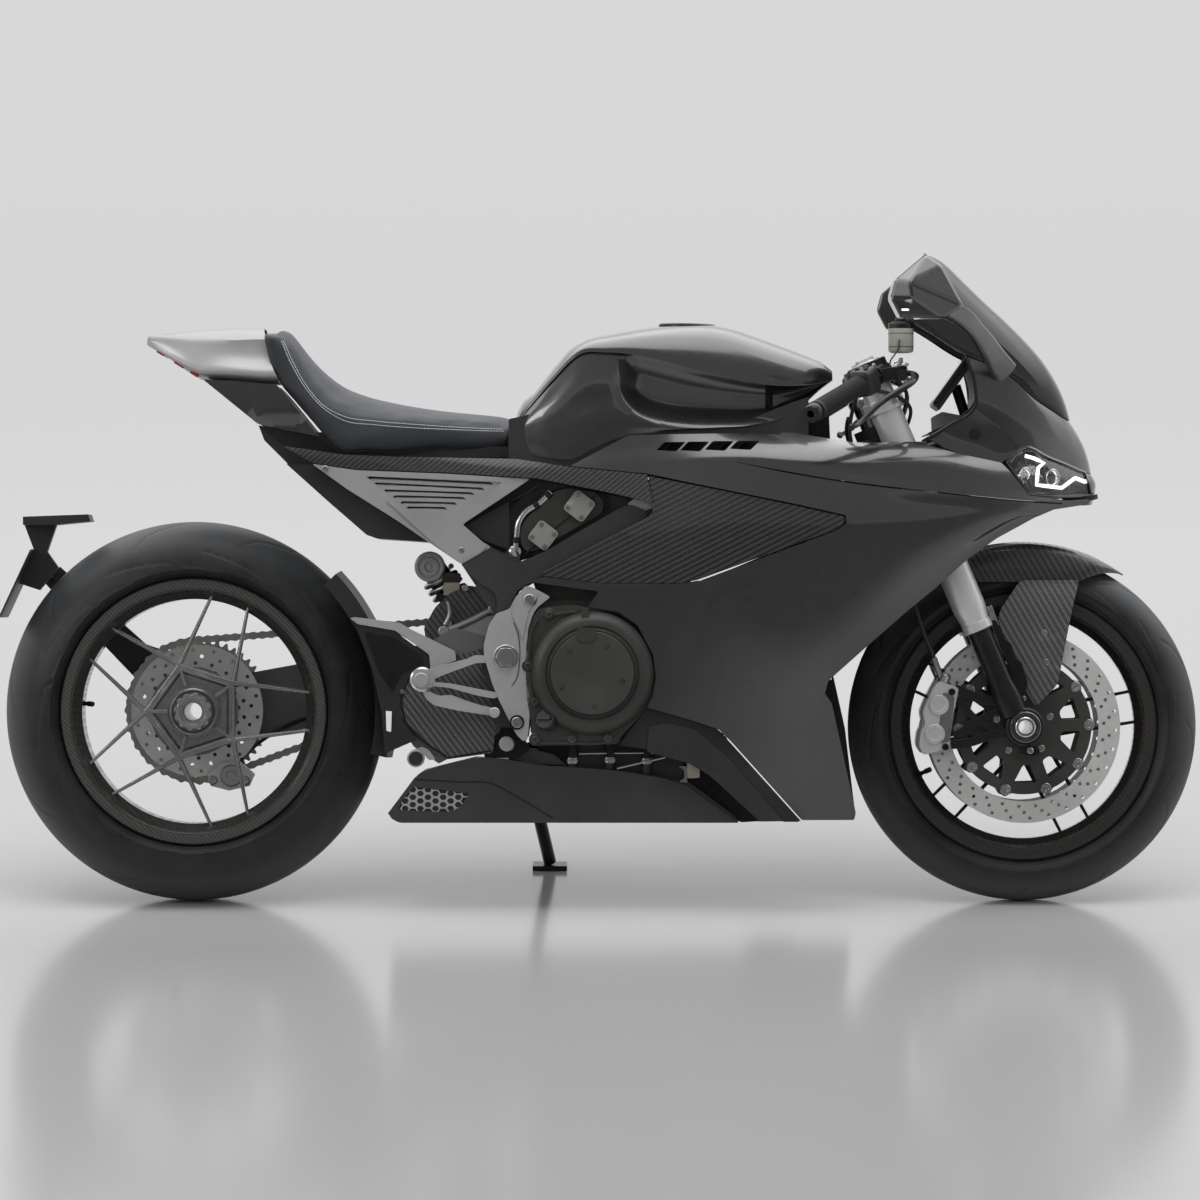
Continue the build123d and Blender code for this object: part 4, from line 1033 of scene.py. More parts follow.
def seatPad():
    rows = seatRows()
    body = formed(grid(rows))
    width = rows.shape[1]
    under = [rows[0], rows[0] * (1, 0, 1)]
    body.add(*grid(under, flip=True)).mirrored()
    count = len(rows)
    for column in (0, width - 1):
        right = [tuple(rows[r, column]) for r in range(count)]
        left = [(x, -y, z) for x, y, z in reversed(right[:-1])]
        loop = right + left
        base = len(body.points)
        body.points += loop
        face = list(range(base, base + len(loop)))
        body.faces.append(face if column else face[::-1])
    made = body.done("seatPad", "seatLeather", sharp=60, instead=("seat",), slot="seat_leather", merge=0.05)
    rest, now, before = swell(made)
    # carry the swelling of the cloth over to the pad's own points
    tree = kdtree.KDTree(len(rest))
    for i, spot in enumerate(rest):
        tree.insert(spot, i)
    tree.balance()
    moved = []
    for spot in before:
        near = tree.find_n(spot, 6)
        weight = np.array([1 / (d + 1e-4) for _, _, d in near])
        shift = np.array([now[i] - rest[i] for _, i, _ in near])
        moved.append(spot + (shift * weight[:, None]).sum(axis=0) / weight.sum())
    made.data.vertices.foreach_set("co", np.array(moved).ravel())
    mod = made.modifiers.new("smooth", "SUBSURF")
    mod.levels = mod.render_levels = 1


def seatStitches():
    # two rows of thread beside the seam
    knots = chord([(x, z) for x, z in seat["stitch"]])
    at = np.linspace(0, knots[-1], 120)
    line = spline(at, knots, seat["stitch"])
    foot = spline(at, knots, seat["foot"])
    half = spline(at, knots, np.array(seat["half"], float)[:, None])[:, 0]
    thread = formed(tube([(-1.7, 0, 0.2), (0, 0, 0.7), (1.7, 0, 0.2)], 0.62, 1, 8))
    for side, way in ((-1, "Right"), (1, "Left")):
        for below, row in ((0.06, "Upper"), (0.17, "Lower")):
            spot = line + (foot - line) * below
            run = np.column_stack([spot[:, 0], side * (half * (0.912 + below * 0.12) + 1.4), spot[:, 1]])[4:-4]
            follow("seatStitches" + row + way, thread, run, 92, finish["thread"], side=(0, side, 0.3))


finish["thread"] = grainy("seatThread", (0.4, 0.42, 0.45), (0.5, 0.52, 0.55), 0, 0.6, 1500, 0.2)
seatPad()
seatStitches()
print("seat done")

# tail cowl: x, half width, underside, side edge, crease and top z
tail = [(-777, 44, 958, 960, 965, 968), (-765, 56, 950, 954, 965, 971), (-735, 72, 931, 938, 964, 975),
        (-683, 90, 898, 912, 962, 978), (-640, 98, 895, 910, 962, 980), (-600, 103, 892, 908, 962, 981),
        (-578, 105, 890, 906, 963, 981), (-548, 106, 889, 906, 963, 981)]


def tailCowl():
    table = []
    for x, half, low, edge, crease, top in tail:
        dip = 10 * smoothStep((x + 690) / 110)
        table.append([(x, 0, low + 2), (x, -half * 0.82, low), (x, -half, edge - 4), (x, -half + 1, edge + 4),
                      (x, -half + dip + 10, edge * 0.5 + crease * 0.5), (x, -half * 0.78, crease),
                      (x, -half * 0.74, crease + 4), (x, -half * 0.5, top - 1.5), (x, 0, top)])
    table = np.swapaxes(np.array(table, float), 0, 1)
    fine = patch(table, 40, 46, cornerRows=(1, 3, 5))
    # the seat side is cut back along the pad's edge
    cut = np.array([(888, -549), (895, -550), (915, -560), (945, -569), (977, -575), (990, -577)], float)
    limit = np.interp(fine[:, :, 2], cut[:, 0], cut[:, 1])
    share = (fine[:, :, 0] + 777) / (777 - 548)
    fine[:, :, 0] = -777 + (limit + 777) * share
    formed(grid(fine, flip=True)).pair(
        "tailCowl", "tailSilver", sharp=38, instead=("tail_cowl",), slot="satin_silver", merge=0.05)
    # tail light strip under the rear edge
    strip = Build()
    at, half, low = np.array(tail, float).T[:3]
    for x0, x1 in ((-758, -746), (-728, -712), (-700, -688)):
        line = [(x, -np.interp(x, at, half) * 0.93, np.interp(x, at, low) - 1.5) for x in np.linspace(x0, x1, 5)]
        strip.add(*sweep(line, [(5, -2), (5, 2), (-5, 2), (-5, -2)]))
    strip.pair("tailLight", "redLens", bevel=0.8)
    lower = [(-680, 895), (-553, 885), (-540, 872), (-524, 853), (-478, 796), (-540, 808), (-585, 818)]
    side = plate(flats(lower, 4, 10), -100, -84, (), 14,
                 lambda x, z: 16 * smoothStep((x + 700) / 240) - 8 * (z < 830))
    formed(side).pair("tailSides", "glossBlack", sharp=40, instead=("tail_under",),
                                       slot="gloss_black", bevel=1.5)
    core = [(-672, 894), (-555, 884), (-484, 800), (-540, 811), (-582, 820)]
    formed(plate(flats(core, 3, 30), -84, 84)).done("tailCore", "darkPlastic", slot="dark_plastic")
    # painted shade: a near-black plate fills the slot in the tail's side
    slot = [(-584, 815), (-536, 777), (-447, 769), (-476, 791), (-520, 806)]
    formed(plate(flats(slot, 3, 20), -97, -60)).pair("tailSlot", "void", bevel=1)


finish["tailSilver"] = grainy("graphiteSilver", (0.3, 0.3, 0.3), (0.35, 0.35, 0.35), 0.4, 0.38, 1500, 0.06)
tailCowl()
print("tail done")
# nose cowl: cheek, side and screen as matching lines from the rear to the front
nose = {
    "cheek": [
        [(560, -140, 793), (606, -137, 769), (650, -130, 759), (684, -122, 752), (721, -110, 778)],
        [(573, -134, 800), (614, -131, 780), (655, -126, 769), (688, -119, 760), (721, -110, 778.3)],
        [(606, -133, 822), (638, -128, 806), (668, -123, 788), (696, -116, 774), (721, -110, 778.6)],
        [(640, -133, 843), (660, -128, 828), (682, -121, 810), (703, -114.5, 793), (721, -110, 779)]],
    "side": [
        [(640, -133, 843), (682, -121, 810), (721, -110, 779), (765, -88, 763), (805, -58, 748), (832, -35, 738),
         (843, -16, 734), (846, 0, 733)],
        [(643, -131, 868), (690, -119, 838), (730, -103, 812), (770, -80, 795), (805, -53, 777), (828, -30, 763),
         (838, -15, 758), (841, 0, 757)],
        [(636, -127, 900), (686, -114, 874), (726, -99, 848), (765, -76, 828), (798, -50, 807), (818, -28, 792),
         (828, -14, 786), (831, 0, 785)],
        [(624, -121, 933), (668, -113, 916), (705, -102, 895), (742, -84, 862), (775, -58, 841), (797, -34, 828),
         (806, -16, 824), (809, 0, 823)]],
    "screenEdge": [(514, -125, 1002), (560, -124, 975), (624, -121, 935), (668, -113, 918), (705, -102, 897),
                   (742, -84, 864), (775, -58, 843), (797, -34, 830), (806, -16, 826), (809, -2, 825)],
    "screenCrown": [(560, 0, 1112), (590, 0, 1098), (625, 0, 1065), (660, 0, 1031), (697, 0, 997), (730, 0, 964),
                    (760, 0, 930), (784, 0, 893), (799, 0, 860), (809, 0, 826)],
    "wall": 3.0,
}


def noseCowl():
    cheek = patch(nose["cheek"], 12, 22)
    side = patch(nose["side"], 18, 40)
    made = formed(grid(cheek)).add(*grid(side)).pair(
        "noseCowl", "glossBlack", sharp=30, instead=("nose_cowl",), slot="gloss_black", merge=0.4)
    addWall(made, nose["wall"])
    addBevel(made, 0.9, 2, 50)
    # rolled rim of the cockpit opening
    rim = [(560, -138, 792), (600, -136, 817), (634, -134, 838), (641, -132, 850), (641, -131, 870), (636, -127, 900),
           (625, -122, 930)]
    formed(tube(rim, 3.0, 6, 8)).pair("noseRim", "satinBlack", slot="gloss_black")


noseCowl()


def screenPane():
    edge = curve(nose["screenEdge"], 9)
    knots = np.linspace(0, 1, len(nose["screenCrown"]))
    crown = spline(np.linspace(0, 1, len(edge)), knots, nose["screenCrown"])
    rows = []
    for s in np.linspace(0, 1, 18):
        a = s * math.pi / 2
        spot = edge + (crown - edge) * math.sin(a) ** 1.15
        spot[:, 1] = edge[:, 1] * math.cos(a) ** 0.9
        rows.append(spot)
    fine = np.array(rows)
    made = formed(grid(fine)).pair("screenPane", "screenSmoke", sharp=60,
                                                    instead=("windscreen",), slot="smoke_glass", merge=0.3)
    addWall(made, 3)
    # dark border where the pane is bonded to the cowl
    band = fine[:3]
    low = formed(grid(band + np.array((0, 1.2, 0)))).pair("screenBorder", "glossBlack",
                                                                          sharp=60, merge=0.3)
    addWall(low, 1)
    rear = [tuple(p) for p in fine[:, 0]]
    formed(tube(rear, 2.2, 8, 8)).pair("screenRim", "satinBlack")


screenPane()

# the side drawing's scale, slope, middle, ground line and eye, in its own units and in millimetres
drawing = {"scale": 1.722, "slope": 0.00726, "middle": 600, "ground": 900, "eye": 517, "distance": 13700}

# headlamps: matching points from the rear to the front
lamp = {
    "top": [(694, -122, 751), (722, -110, 777), (765, -88, 761), (805, -58, 746), (832, -36, 735)],
    "foot": [(731, -117, 695), (747, -111, 694), (778, -96, 694), (815, -66, 695), (842, -39, 697)],
    "strip": [(1028, 459), (1036, 461), (1047, 466), (1041, 471), (1039, 488), (1065, 491), (1079, 481), (1090, 485)],
    "depth": 15,
}


def lampY(x, z):
    high, low = np.array(lamp["top"], float), np.array(lamp["foot"], float)
    a, b = np.interp(x, high[:, 0], high[:, 1]), np.interp(x, low[:, 0], low[:, 1])
    return b + (a - b) * np.clip((z - 695) / 60, 0, 1)


def pixel(px, py, y=0.0):
    # x and z of a place of the side drawing, y to the left of the middle plane
    size = (drawing["distance"] + y) / drawing["distance"]
    px -= drawing["middle"]
    x, high = px * drawing["scale"] * size, (drawing["ground"] - py + drawing["slope"] * px) * drawing["scale"]
    z = drawing["eye"] + (high - drawing["eye"]) * size
    return x - z * drawing["slope"], z


def headlamps():
    top, foot = np.array(lamp["top"], float), np.array(lamp["foot"], float)
    middle = (top + foot) / 2 + np.array([(2, -5, 0)])
    shape = patch([foot, middle, top], 12, 26)
    lens = formed(grid(shape)).pair("lampLens", "lens", slot="lamp_lens", sharp=60,
                                                      instead=("headlamps",))
    addWall(lens, 2.2)
    inner = shape + np.array((-6.0, lamp["depth"], 0))
    house = formed(grid(inner))
    border = np.vstack([shape[0], shape[1:, -1], shape[-1][::-1][1:], shape[::-1, 0][1:-1]])
    back = border + np.array((-6.0, lamp["depth"], 0))
    house.add(*grid([np.vstack([border, border[:1]]), np.vstack([back, back[:1]])]))
    house.pair("lampHousing", "satinBlack", slot="black_metal", sharp=40, merge=0.1)
    formed(sweep(border[::2], flatBar(3.2, 2), close=True)).pair("lampBezel", "glossBlack",
            slot="gloss_black", bevel=0.8)
    # running light strip folded round two projector lenses
    line = [(x, lampY(x, z) + 7, z) for x, z in (pixel(px, py, -90) for px, py in lamp["strip"])]
    formed(sweep(straight(line, 12, False), flatBar(1.6, 2.9))).pair("runningLight",
            "runningLight", slot="lamp_lens", bevel=0.6)
    eyes, bezels, ribs = Build(), Build(), Build()
    for px, py, r in ((1056, 481, 13), (1028, 478, 11)):
        x, z = pixel(px, py, -90)
        y = lampY(x, z) + 9
        aim = (0.62, -0.78, 0)
        eyes.add(*lathe([(-8, 0.1), (-8, r), (0, r), (3.5, r * 0.72), (5, r * 0.36), (5.4, 0.05)], (x, y, z), aim, 28))
        bezels.add(*lathe([(-8, r + 0.3), (0.5, r + 0.3), (1.2, r + 1.4), (0.5, r + 2.8), (-8, r + 3)], (x, y, z), aim,
                          28, True))
    for k in range(7):
        column = int((0.12 + 0.11 * k) * 25)
        a = np.array([inner[2, column], inner[9, column]])
        ribs.add(*sweep(a + np.array((0, -1.5, 0)), [(1, -1), (1, 1), (-1, 1), (-1, -1)]))
    eyes.pair("lampEyes", "lens", slot="lamp_lens")
    bezels.pair("lampEyeRings", "brightAlloy", slot="bare_alloy")
    ribs.pair("lampRibs", "darkSteel")
    # middle of the nose between the lamps, and the intake slot below it
    beak = patch([[(832, -36, 736), (843, -17, 733), (846, 0, 732)], [(838, -38, 716), (850, -19, 716), (854, 0, 716)],
                  [(842, -39, 698), (849, -20, 699), (852, 0, 700)]], 8, 12)
    made = formed(grid(beak, flip=True)).pair("noseBeak", "glossBlack", slot="gloss_black",
                                                               merge=0.2)
    addWall(made, 3)
    # painted shade: the intake slot is a near-black band
    mouth = [(800, -56, 690), (838, -40, 692), (846, -18, 694), (848, 0, 694.5), (846, 18, 694), (838, 40, 692),
             (800, 56, 690)]
    formed(sweep(curve(mouth, 6), [(9, -4), (9, 4), (-9, 4), (-9, -4)])).done("noseIntake", "void")
    chin = []
    for s in np.linspace(0, 1, 7):
        a = s * math.pi / 2
        chin.append([(836 + 14 * math.sin(a) - drop * 0.35, -52 * math.cos(a), 689 - drop)
                     for drop in (0, 2, 5, 8, 9)])
    made = formed(grid(np.array(chin), flip=True)).pair("noseChin", "glossBlack",
                                                                         slot="gloss_black", merge=0.2)
    addWall(made, 3)


headlamps()
print("nose done")

# mirrors: a faceted pod on a blade
mirrorPod = {
    "rim": [(930, 257), (900, 282), (895, 300), (905, 320), (948, 321), (968, 308), (946, 267)],
    "crest": [(912, 284), (916, 301)], "outer": -334, "tip": -384, "inner": -262,
}


def mirrors():
    rim = [pixel(px, py, -320) for px, py in mirrorPod["rim"]]
    crest = [pixel(px, py, -350) for px, py in mirrorPod["crest"]]
    points = [(x, mirrorPod["outer"], z) for x, z in rim] + [(x, mirrorPod["tip"], z) for x, z in crest]
    points += [(x - 4, mirrorPod["inner"], z) for x, z in rim]
    t, l, m, k, n, r, s, v1, v2 = range(9)
    faces = [[t, v1, l], [s, r, v1], [t, s, v1], [l, v1, v2, m], [v1, r, n, v2], [m, v2, n, k]]
    faces += [[9 + i for i in range(7)][::-1]]
    faces += [[a, 9 + a, 9 + b, b] for a, b in ((t, s), (s, r), (r, n), (n, k))]
    body = Build().add(points, faces)
    # rear: bezel round the glass
    rear = [t, l, m, k]
    body.faces += [[a, b, 9 + b, 9 + a] for a, b in zip(rear, rear[1:])]
    made = body.pair("mirrorPods", "glossBlack", instead=("mirrors",), slot="gloss_black",
                                merge=0.05, sharp=75)
    addBevel(made, 6.0, 4, 14)
    glass = Build()
    spots = np.array([(x - 1.2, y, z) for (x, z) in rim[:4] for y in (mirrorPod["outer"], mirrorPod["inner"])])
    for a in range(3):
        quad = spots[[2 * a, 2 * a + 2, 2 * a + 3, 2 * a + 1]]
        quad = quad.mean(axis=0) + (quad - quad.mean(axis=0)) * 0.9
        thick = np.array((1.6, 0, 0))
        glass.add(np.vstack([quad, quad + thick]), [[0, 1, 2, 3], [7, 6, 5, 4], [0, 4, 5, 1], [1, 5, 6, 2],
                                                   [2, 6, 7, 3], [3, 7, 4, 0]])
    glass.pair("mirrorGlass", "mirrorGlass", slot="steel", merge=0, sharp=20)
    blade = curve([(590, -300, 1006), (616, -262, 993), (648, -196, 962), (676, -136, 926), (694, -106, 904)], 8)
    section = [(20 * math.cos(a), 6.5 * math.sin(a)) for a in np.linspace(0, 2 * math.pi, 18, endpoint=False)]
    taper = np.interp(np.linspace(0, 1, len(blade)), [0, 0.4, 1], [0.9, 0.75, 1.15])
    formed(sweep(blade, section, up=(-0.6, 0.3, 0.5), taper=taper)).pair("mirrorArms",
            "glossBlack", slot="gloss_black", sharp=50)
    slot = [pixel(px, py, -368) for px, py in ((906, 310.6), (913, 310.6), (913.6, 312.4), (906.6, 312.4))]
    formed(plate(flats(slot, 2, 8), -366, -352)).pair("mirrorLight", "runningLight",
            slot="lamp_lens")


finish["mirrorGlass"] = grainy("mirrorGlass", (0.75, 0.77, 0.8), (0.8, 0.82, 0.84), 1.0, 0.04, 900, 0.01)
mirrors()


def cockpit():
    for name, key in (("dash", "darkPlastic"), ("cockpit_stay", "satinBlack")):
        nodes[name].data.materials[0] = finish[key]
    a, b = np.array((571.0, 0, 851)), np.array((633.0, 0, 938))
    up = (b - a) / np.linalg.norm(b - a)
    out = np.array((-up[2], 0, up[0]))
    middle = (a + b) / 2 + out * 1.5

    def slab(width, height, base, top, radius):
        loop = rounded([(-width, -height), (width, -height), (width, height), (-width, height)], radius, 5)
        rows = [[middle + np.array((0, 1, 0)) * p + up * q + out * lift for p, q in loop] for lift in (base, top)]
        points, faces = grid(np.array(rows), close=True)
        count = len(loop)
        return points, faces + [list(range(count))[::-1], [count + j for j in range(count)]]

    formed(slab(82, 52, -6, 1.5, 12)).done("dashFrame", "satinBlack", bevel=1.2, merge=0.01)
    formed(slab(74, 44, 1.4, 2.4, 8)).done("dashScreen", "dashScreen", bevel=0.4, merge=0.01)
    trim = patch([[(560, -134, 800), (600, -70, 812), (612, 0, 818)], [(636, -126, 848), (650, -66, 856), (655, 0,
            860)],
                  [(626, -116, 928), (656, -62, 946), (664, 0, 952)]], 10, 14)
    made = formed(grid(trim, flip=True)).pair("cockpitTrim", "darkPlastic",
                                                               slot="dark_plastic", merge=0.2)
    addWall(made, 2)


finish["dashScreen"] = lacquer("displayGlass", (0.006, 0.008, 0.01), (0.01, 0.012, 0.014))
cockpit()
print("cockpit done")
# wheels and tyres
tyres = {
    # crown radius, half width, rim half, tread shoulder radius, groove sets round the tyre
    "rear": {"hub": rearHub, "radius": 326, "half": 99.5, "rim": 76, "shoulder": 268, "sipes": 10, "wall": 9},
    "front": {"hub": frontHub, "radius": 300, "half": 60.5, "rim": 44.5, "shoulder": 250, "sipes": 12, "wall": 9},
}
rimSize = {"bead": 216, "flange": 229, "wall": 7}
tyreMesh = {"turns": 600, "crownRows": 76, "wallRows": 14, "grooveDepth": 1.8, "grooveHalf": 1.9,
            "grooveEdge": 1.5, "treadStep": 1.4}


def tyreProfile(size, count):
    # from the near bead over the crown to the far bead, then back inside
    crown = size["half"] - 0.5
    centre = size["radius"] - crown - 0.5
    reach = math.radians(80)
    outer = [(crown * math.sin(t), centre + crown * math.cos(t)) for t in np.linspace(-reach, reach, count)]
    side = outer[-1]
    wall = []
    for s in np.linspace(0, 1, tyreMesh["wallRows"] + 1)[1:]:
        y = side[0] + (size["rim"] - side[0]) * s
        r = side[1] + (rimSize["flange"] + 1 - side[1]) * s
        bulge = 2.2 * math.sin(math.pi * s)
        ridge = 1.3 if 0.82 < s < 0.93 else 0
        wall.append((y + bulge + ridge, r))
    bead = [(size["rim"] - 1, rimSize["bead"] + 1), (size["rim"] - 14, rimSize["bead"] + 1)]
    inner = crown - size["wall"]
    inside_ = [(inner * math.sin(t), centre + inner * math.cos(t)) for t in np.linspace(reach, -reach, 12)]
    near = [(-y, r) for y, r in reversed(wall)]
    return near + outer + wall + bead + inside_ + [(-y, r) for y, r in reversed(bead)]


def sipeLines(size):
    # one repeat of the tread, as angle and share of the crown's half width
    step = 360 / size["sipes"]
    return [[(0.02, 0.96), (0.18, 0.86), (0.24, 0.79), (0.62, 0.72), (0.9, 0.66)],
            [(0.45, 0.99), (0.66, 0.93), (0.7, 0.88), (1.1, 0.83)],
            [(0.1, 0.18), (0.42, 0.34), (0.56, 0.52)]], step


def nearLine(u, v, line, wide):
    best = np.full(u.shape, 1e9)
    for (a0, b0), (a1, b1) in zip(line, line[1:]):
        du, dv = (a1 - a0) * wide[0], (b1 - b0) * wide[1]
        pu, pv = (u - a0) * wide[0], (v - b0) * wide[1]
        t = np.clip((pu * du + pv * dv) / (du * du + dv * dv), 0, 1)
        best = np.minimum(best, np.hypot(pu - t * du, pv - t * dv))
    return best


def tyre(key):
    size = tyres[key]
    hub, turns, rows = size["hub"], tyreMesh["turns"], tyreMesh["crownRows"]
    profile = tyreProfile(size, rows)
    points, faces = lathe(profile, hub, (0, 1, 0), turns)
    points = np.array(points).reshape(len(profile), turns, 3)
    lines, step = sipeLines(size)
    profile = np.array(profile)
    crown = size["half"]
    first, last = tyreMesh["wallRows"], tyreMesh["wallRows"] + rows
    arm = points[first:last] - hub
    angle = np.degrees(np.arctan2(arm[:, :, 2], arm[:, :, 0])) % 360
    reach = profile[first:last, 0][:, None] / crown * np.ones((1, turns))
    share = np.arcsin(np.clip(np.abs(reach), 0, 1)) / math.radians(90)
    depth = np.zeros(angle.shape)

    def carved(gap):
        return np.clip(tyreMesh["grooveEdge"] - gap / tyreMesh["grooveHalf"], 0, 1)

    wide = (math.radians(step) * size["radius"] * 0.9, crown * 1.5)
    for offset, sign in ((0.0, 1), (0.5, -1)):
        for line in lines:
            for lap in (0, 1):
                gap = nearLine((angle / step + offset) % 1.0 + lap, share, line, wide)
                depth = np.maximum(depth, np.where(reach * sign > -0.02, carved(gap), 0))
    pull = arm * (1, 0.4, 1)
    pull /= np.linalg.norm(pull, axis=2)[:, :, None]
    points[first:last] -= pull * depth[:, :, None] * tyreMesh["grooveDepth"]
    # the moulded step where the tread ends
    for k, (y, radius) in enumerate(profile):
        if (k < first or last <= k < last + tyreMesh["wallRows"]) and radius < size["shoulder"]:
            points[k, :, 1] -= np.sign(y) * tyreMesh["treadStep"]
    end = (len(profile) - 1) * turns
    faces = list(faces) + [[end + j, end + (j + 1) % turns, (j + 1) % turns, j] for j in range(turns)]
    piece(key + "TyreTread", points.reshape(-1, 3), faces, finish[key + "Rubber"], body=key + "_wheel", sharp=28,
          instead=(key + "_tyre",), slot="tyre")


def rimRings(half):
    wall, bead, flange = rimSize["wall"], rimSize["bead"], rimSize["flange"]
    barrel = [(half - 1, flange - 1), (half - 1, bead), (half - 24, bead - 4), (half - 32, bead - 18)]
    over = [(-y, r) for y, r in barrel] + [(y, r) for y, r in reversed(barrel)]
    lip = [(half + wall - 2.5, flange - 0.4), (half + wall - 0.4, flange - 2.6), (half + wall - 0.4, bead - 6),
           (half + wall - 2.6, bead - 8.4), (half - 18, bead - 12.4), (half - 30, bead - 23.4)]
    return over + lip + [(-y, r) for y, r in reversed(lip)]


def rim(key, slot):
    size = tyres[key]
    formed(lathe(rimRings(size["rim"]), size["hub"], (0, 1, 0), 160, True)).done(
        key + "Rim", "rimDark", body=key + "_wheel", sharp=25, instead=(key + "_wheel",), slot=slot, bevel=0.8)


def starLines(hub, vertexR, rimR, yHub, yRim, start, gap):
    def at(radius, angle, y):
        return hub + outward(angle) * radius + np.array((0, y, 0))

    found = []
    for turn in range(0, 360, 72):
        turn += start
        found.append([at(rimR, turn - gap, yRim), at(vertexR, turn - 36, yHub), at(vertexR, turn - 108, yHub),
                      at(rimR, turn - 144 + gap, yRim)])
    return found


def spokeBars(lines, thin, thick, deep):
    made = Build()
    for a, b, c, d in lines:
        path = [a, a + (b - a) * 0.5, b + (a - b) * 0.06, b + (c - b) * 0.06, (b + c) / 2, c + (b - c) * 0.06,
                c + (d - c) * 0.06, d + (c - d) * 0.5, d]
        section = [(-0.5, -0.35), (-0.25, -0.5), (0.25, -0.5), (0.5, -0.35), (0.5, 0.35), (0.25, 0.5), (-0.25, 0.5),
                   (-0.5, 0.35)]
        scale = [thin, (thin + thick) / 2, thick, thick, thick, thick, thick, (thin + thick) / 2, thin]
        rows = []
        path = np.array(path)
        ahead = np.gradient(path, axis=0)
        ahead /= np.linalg.norm(ahead, axis=1)[:, None]
        for p, t, s in zip(path, ahead, scale):
            side = np.cross((0, 1, 0), t)
            side /= np.linalg.norm(side)
            over = np.cross(t, side)
            rows.append([p + side * u * s + over * v * deep for u, v in section])
        points, faces = grid(np.array(rows), close=True)
        faces += [list(range(8))[::-1], [64 + j for j in range(8)]]
        made.add(points, faces)
    return made


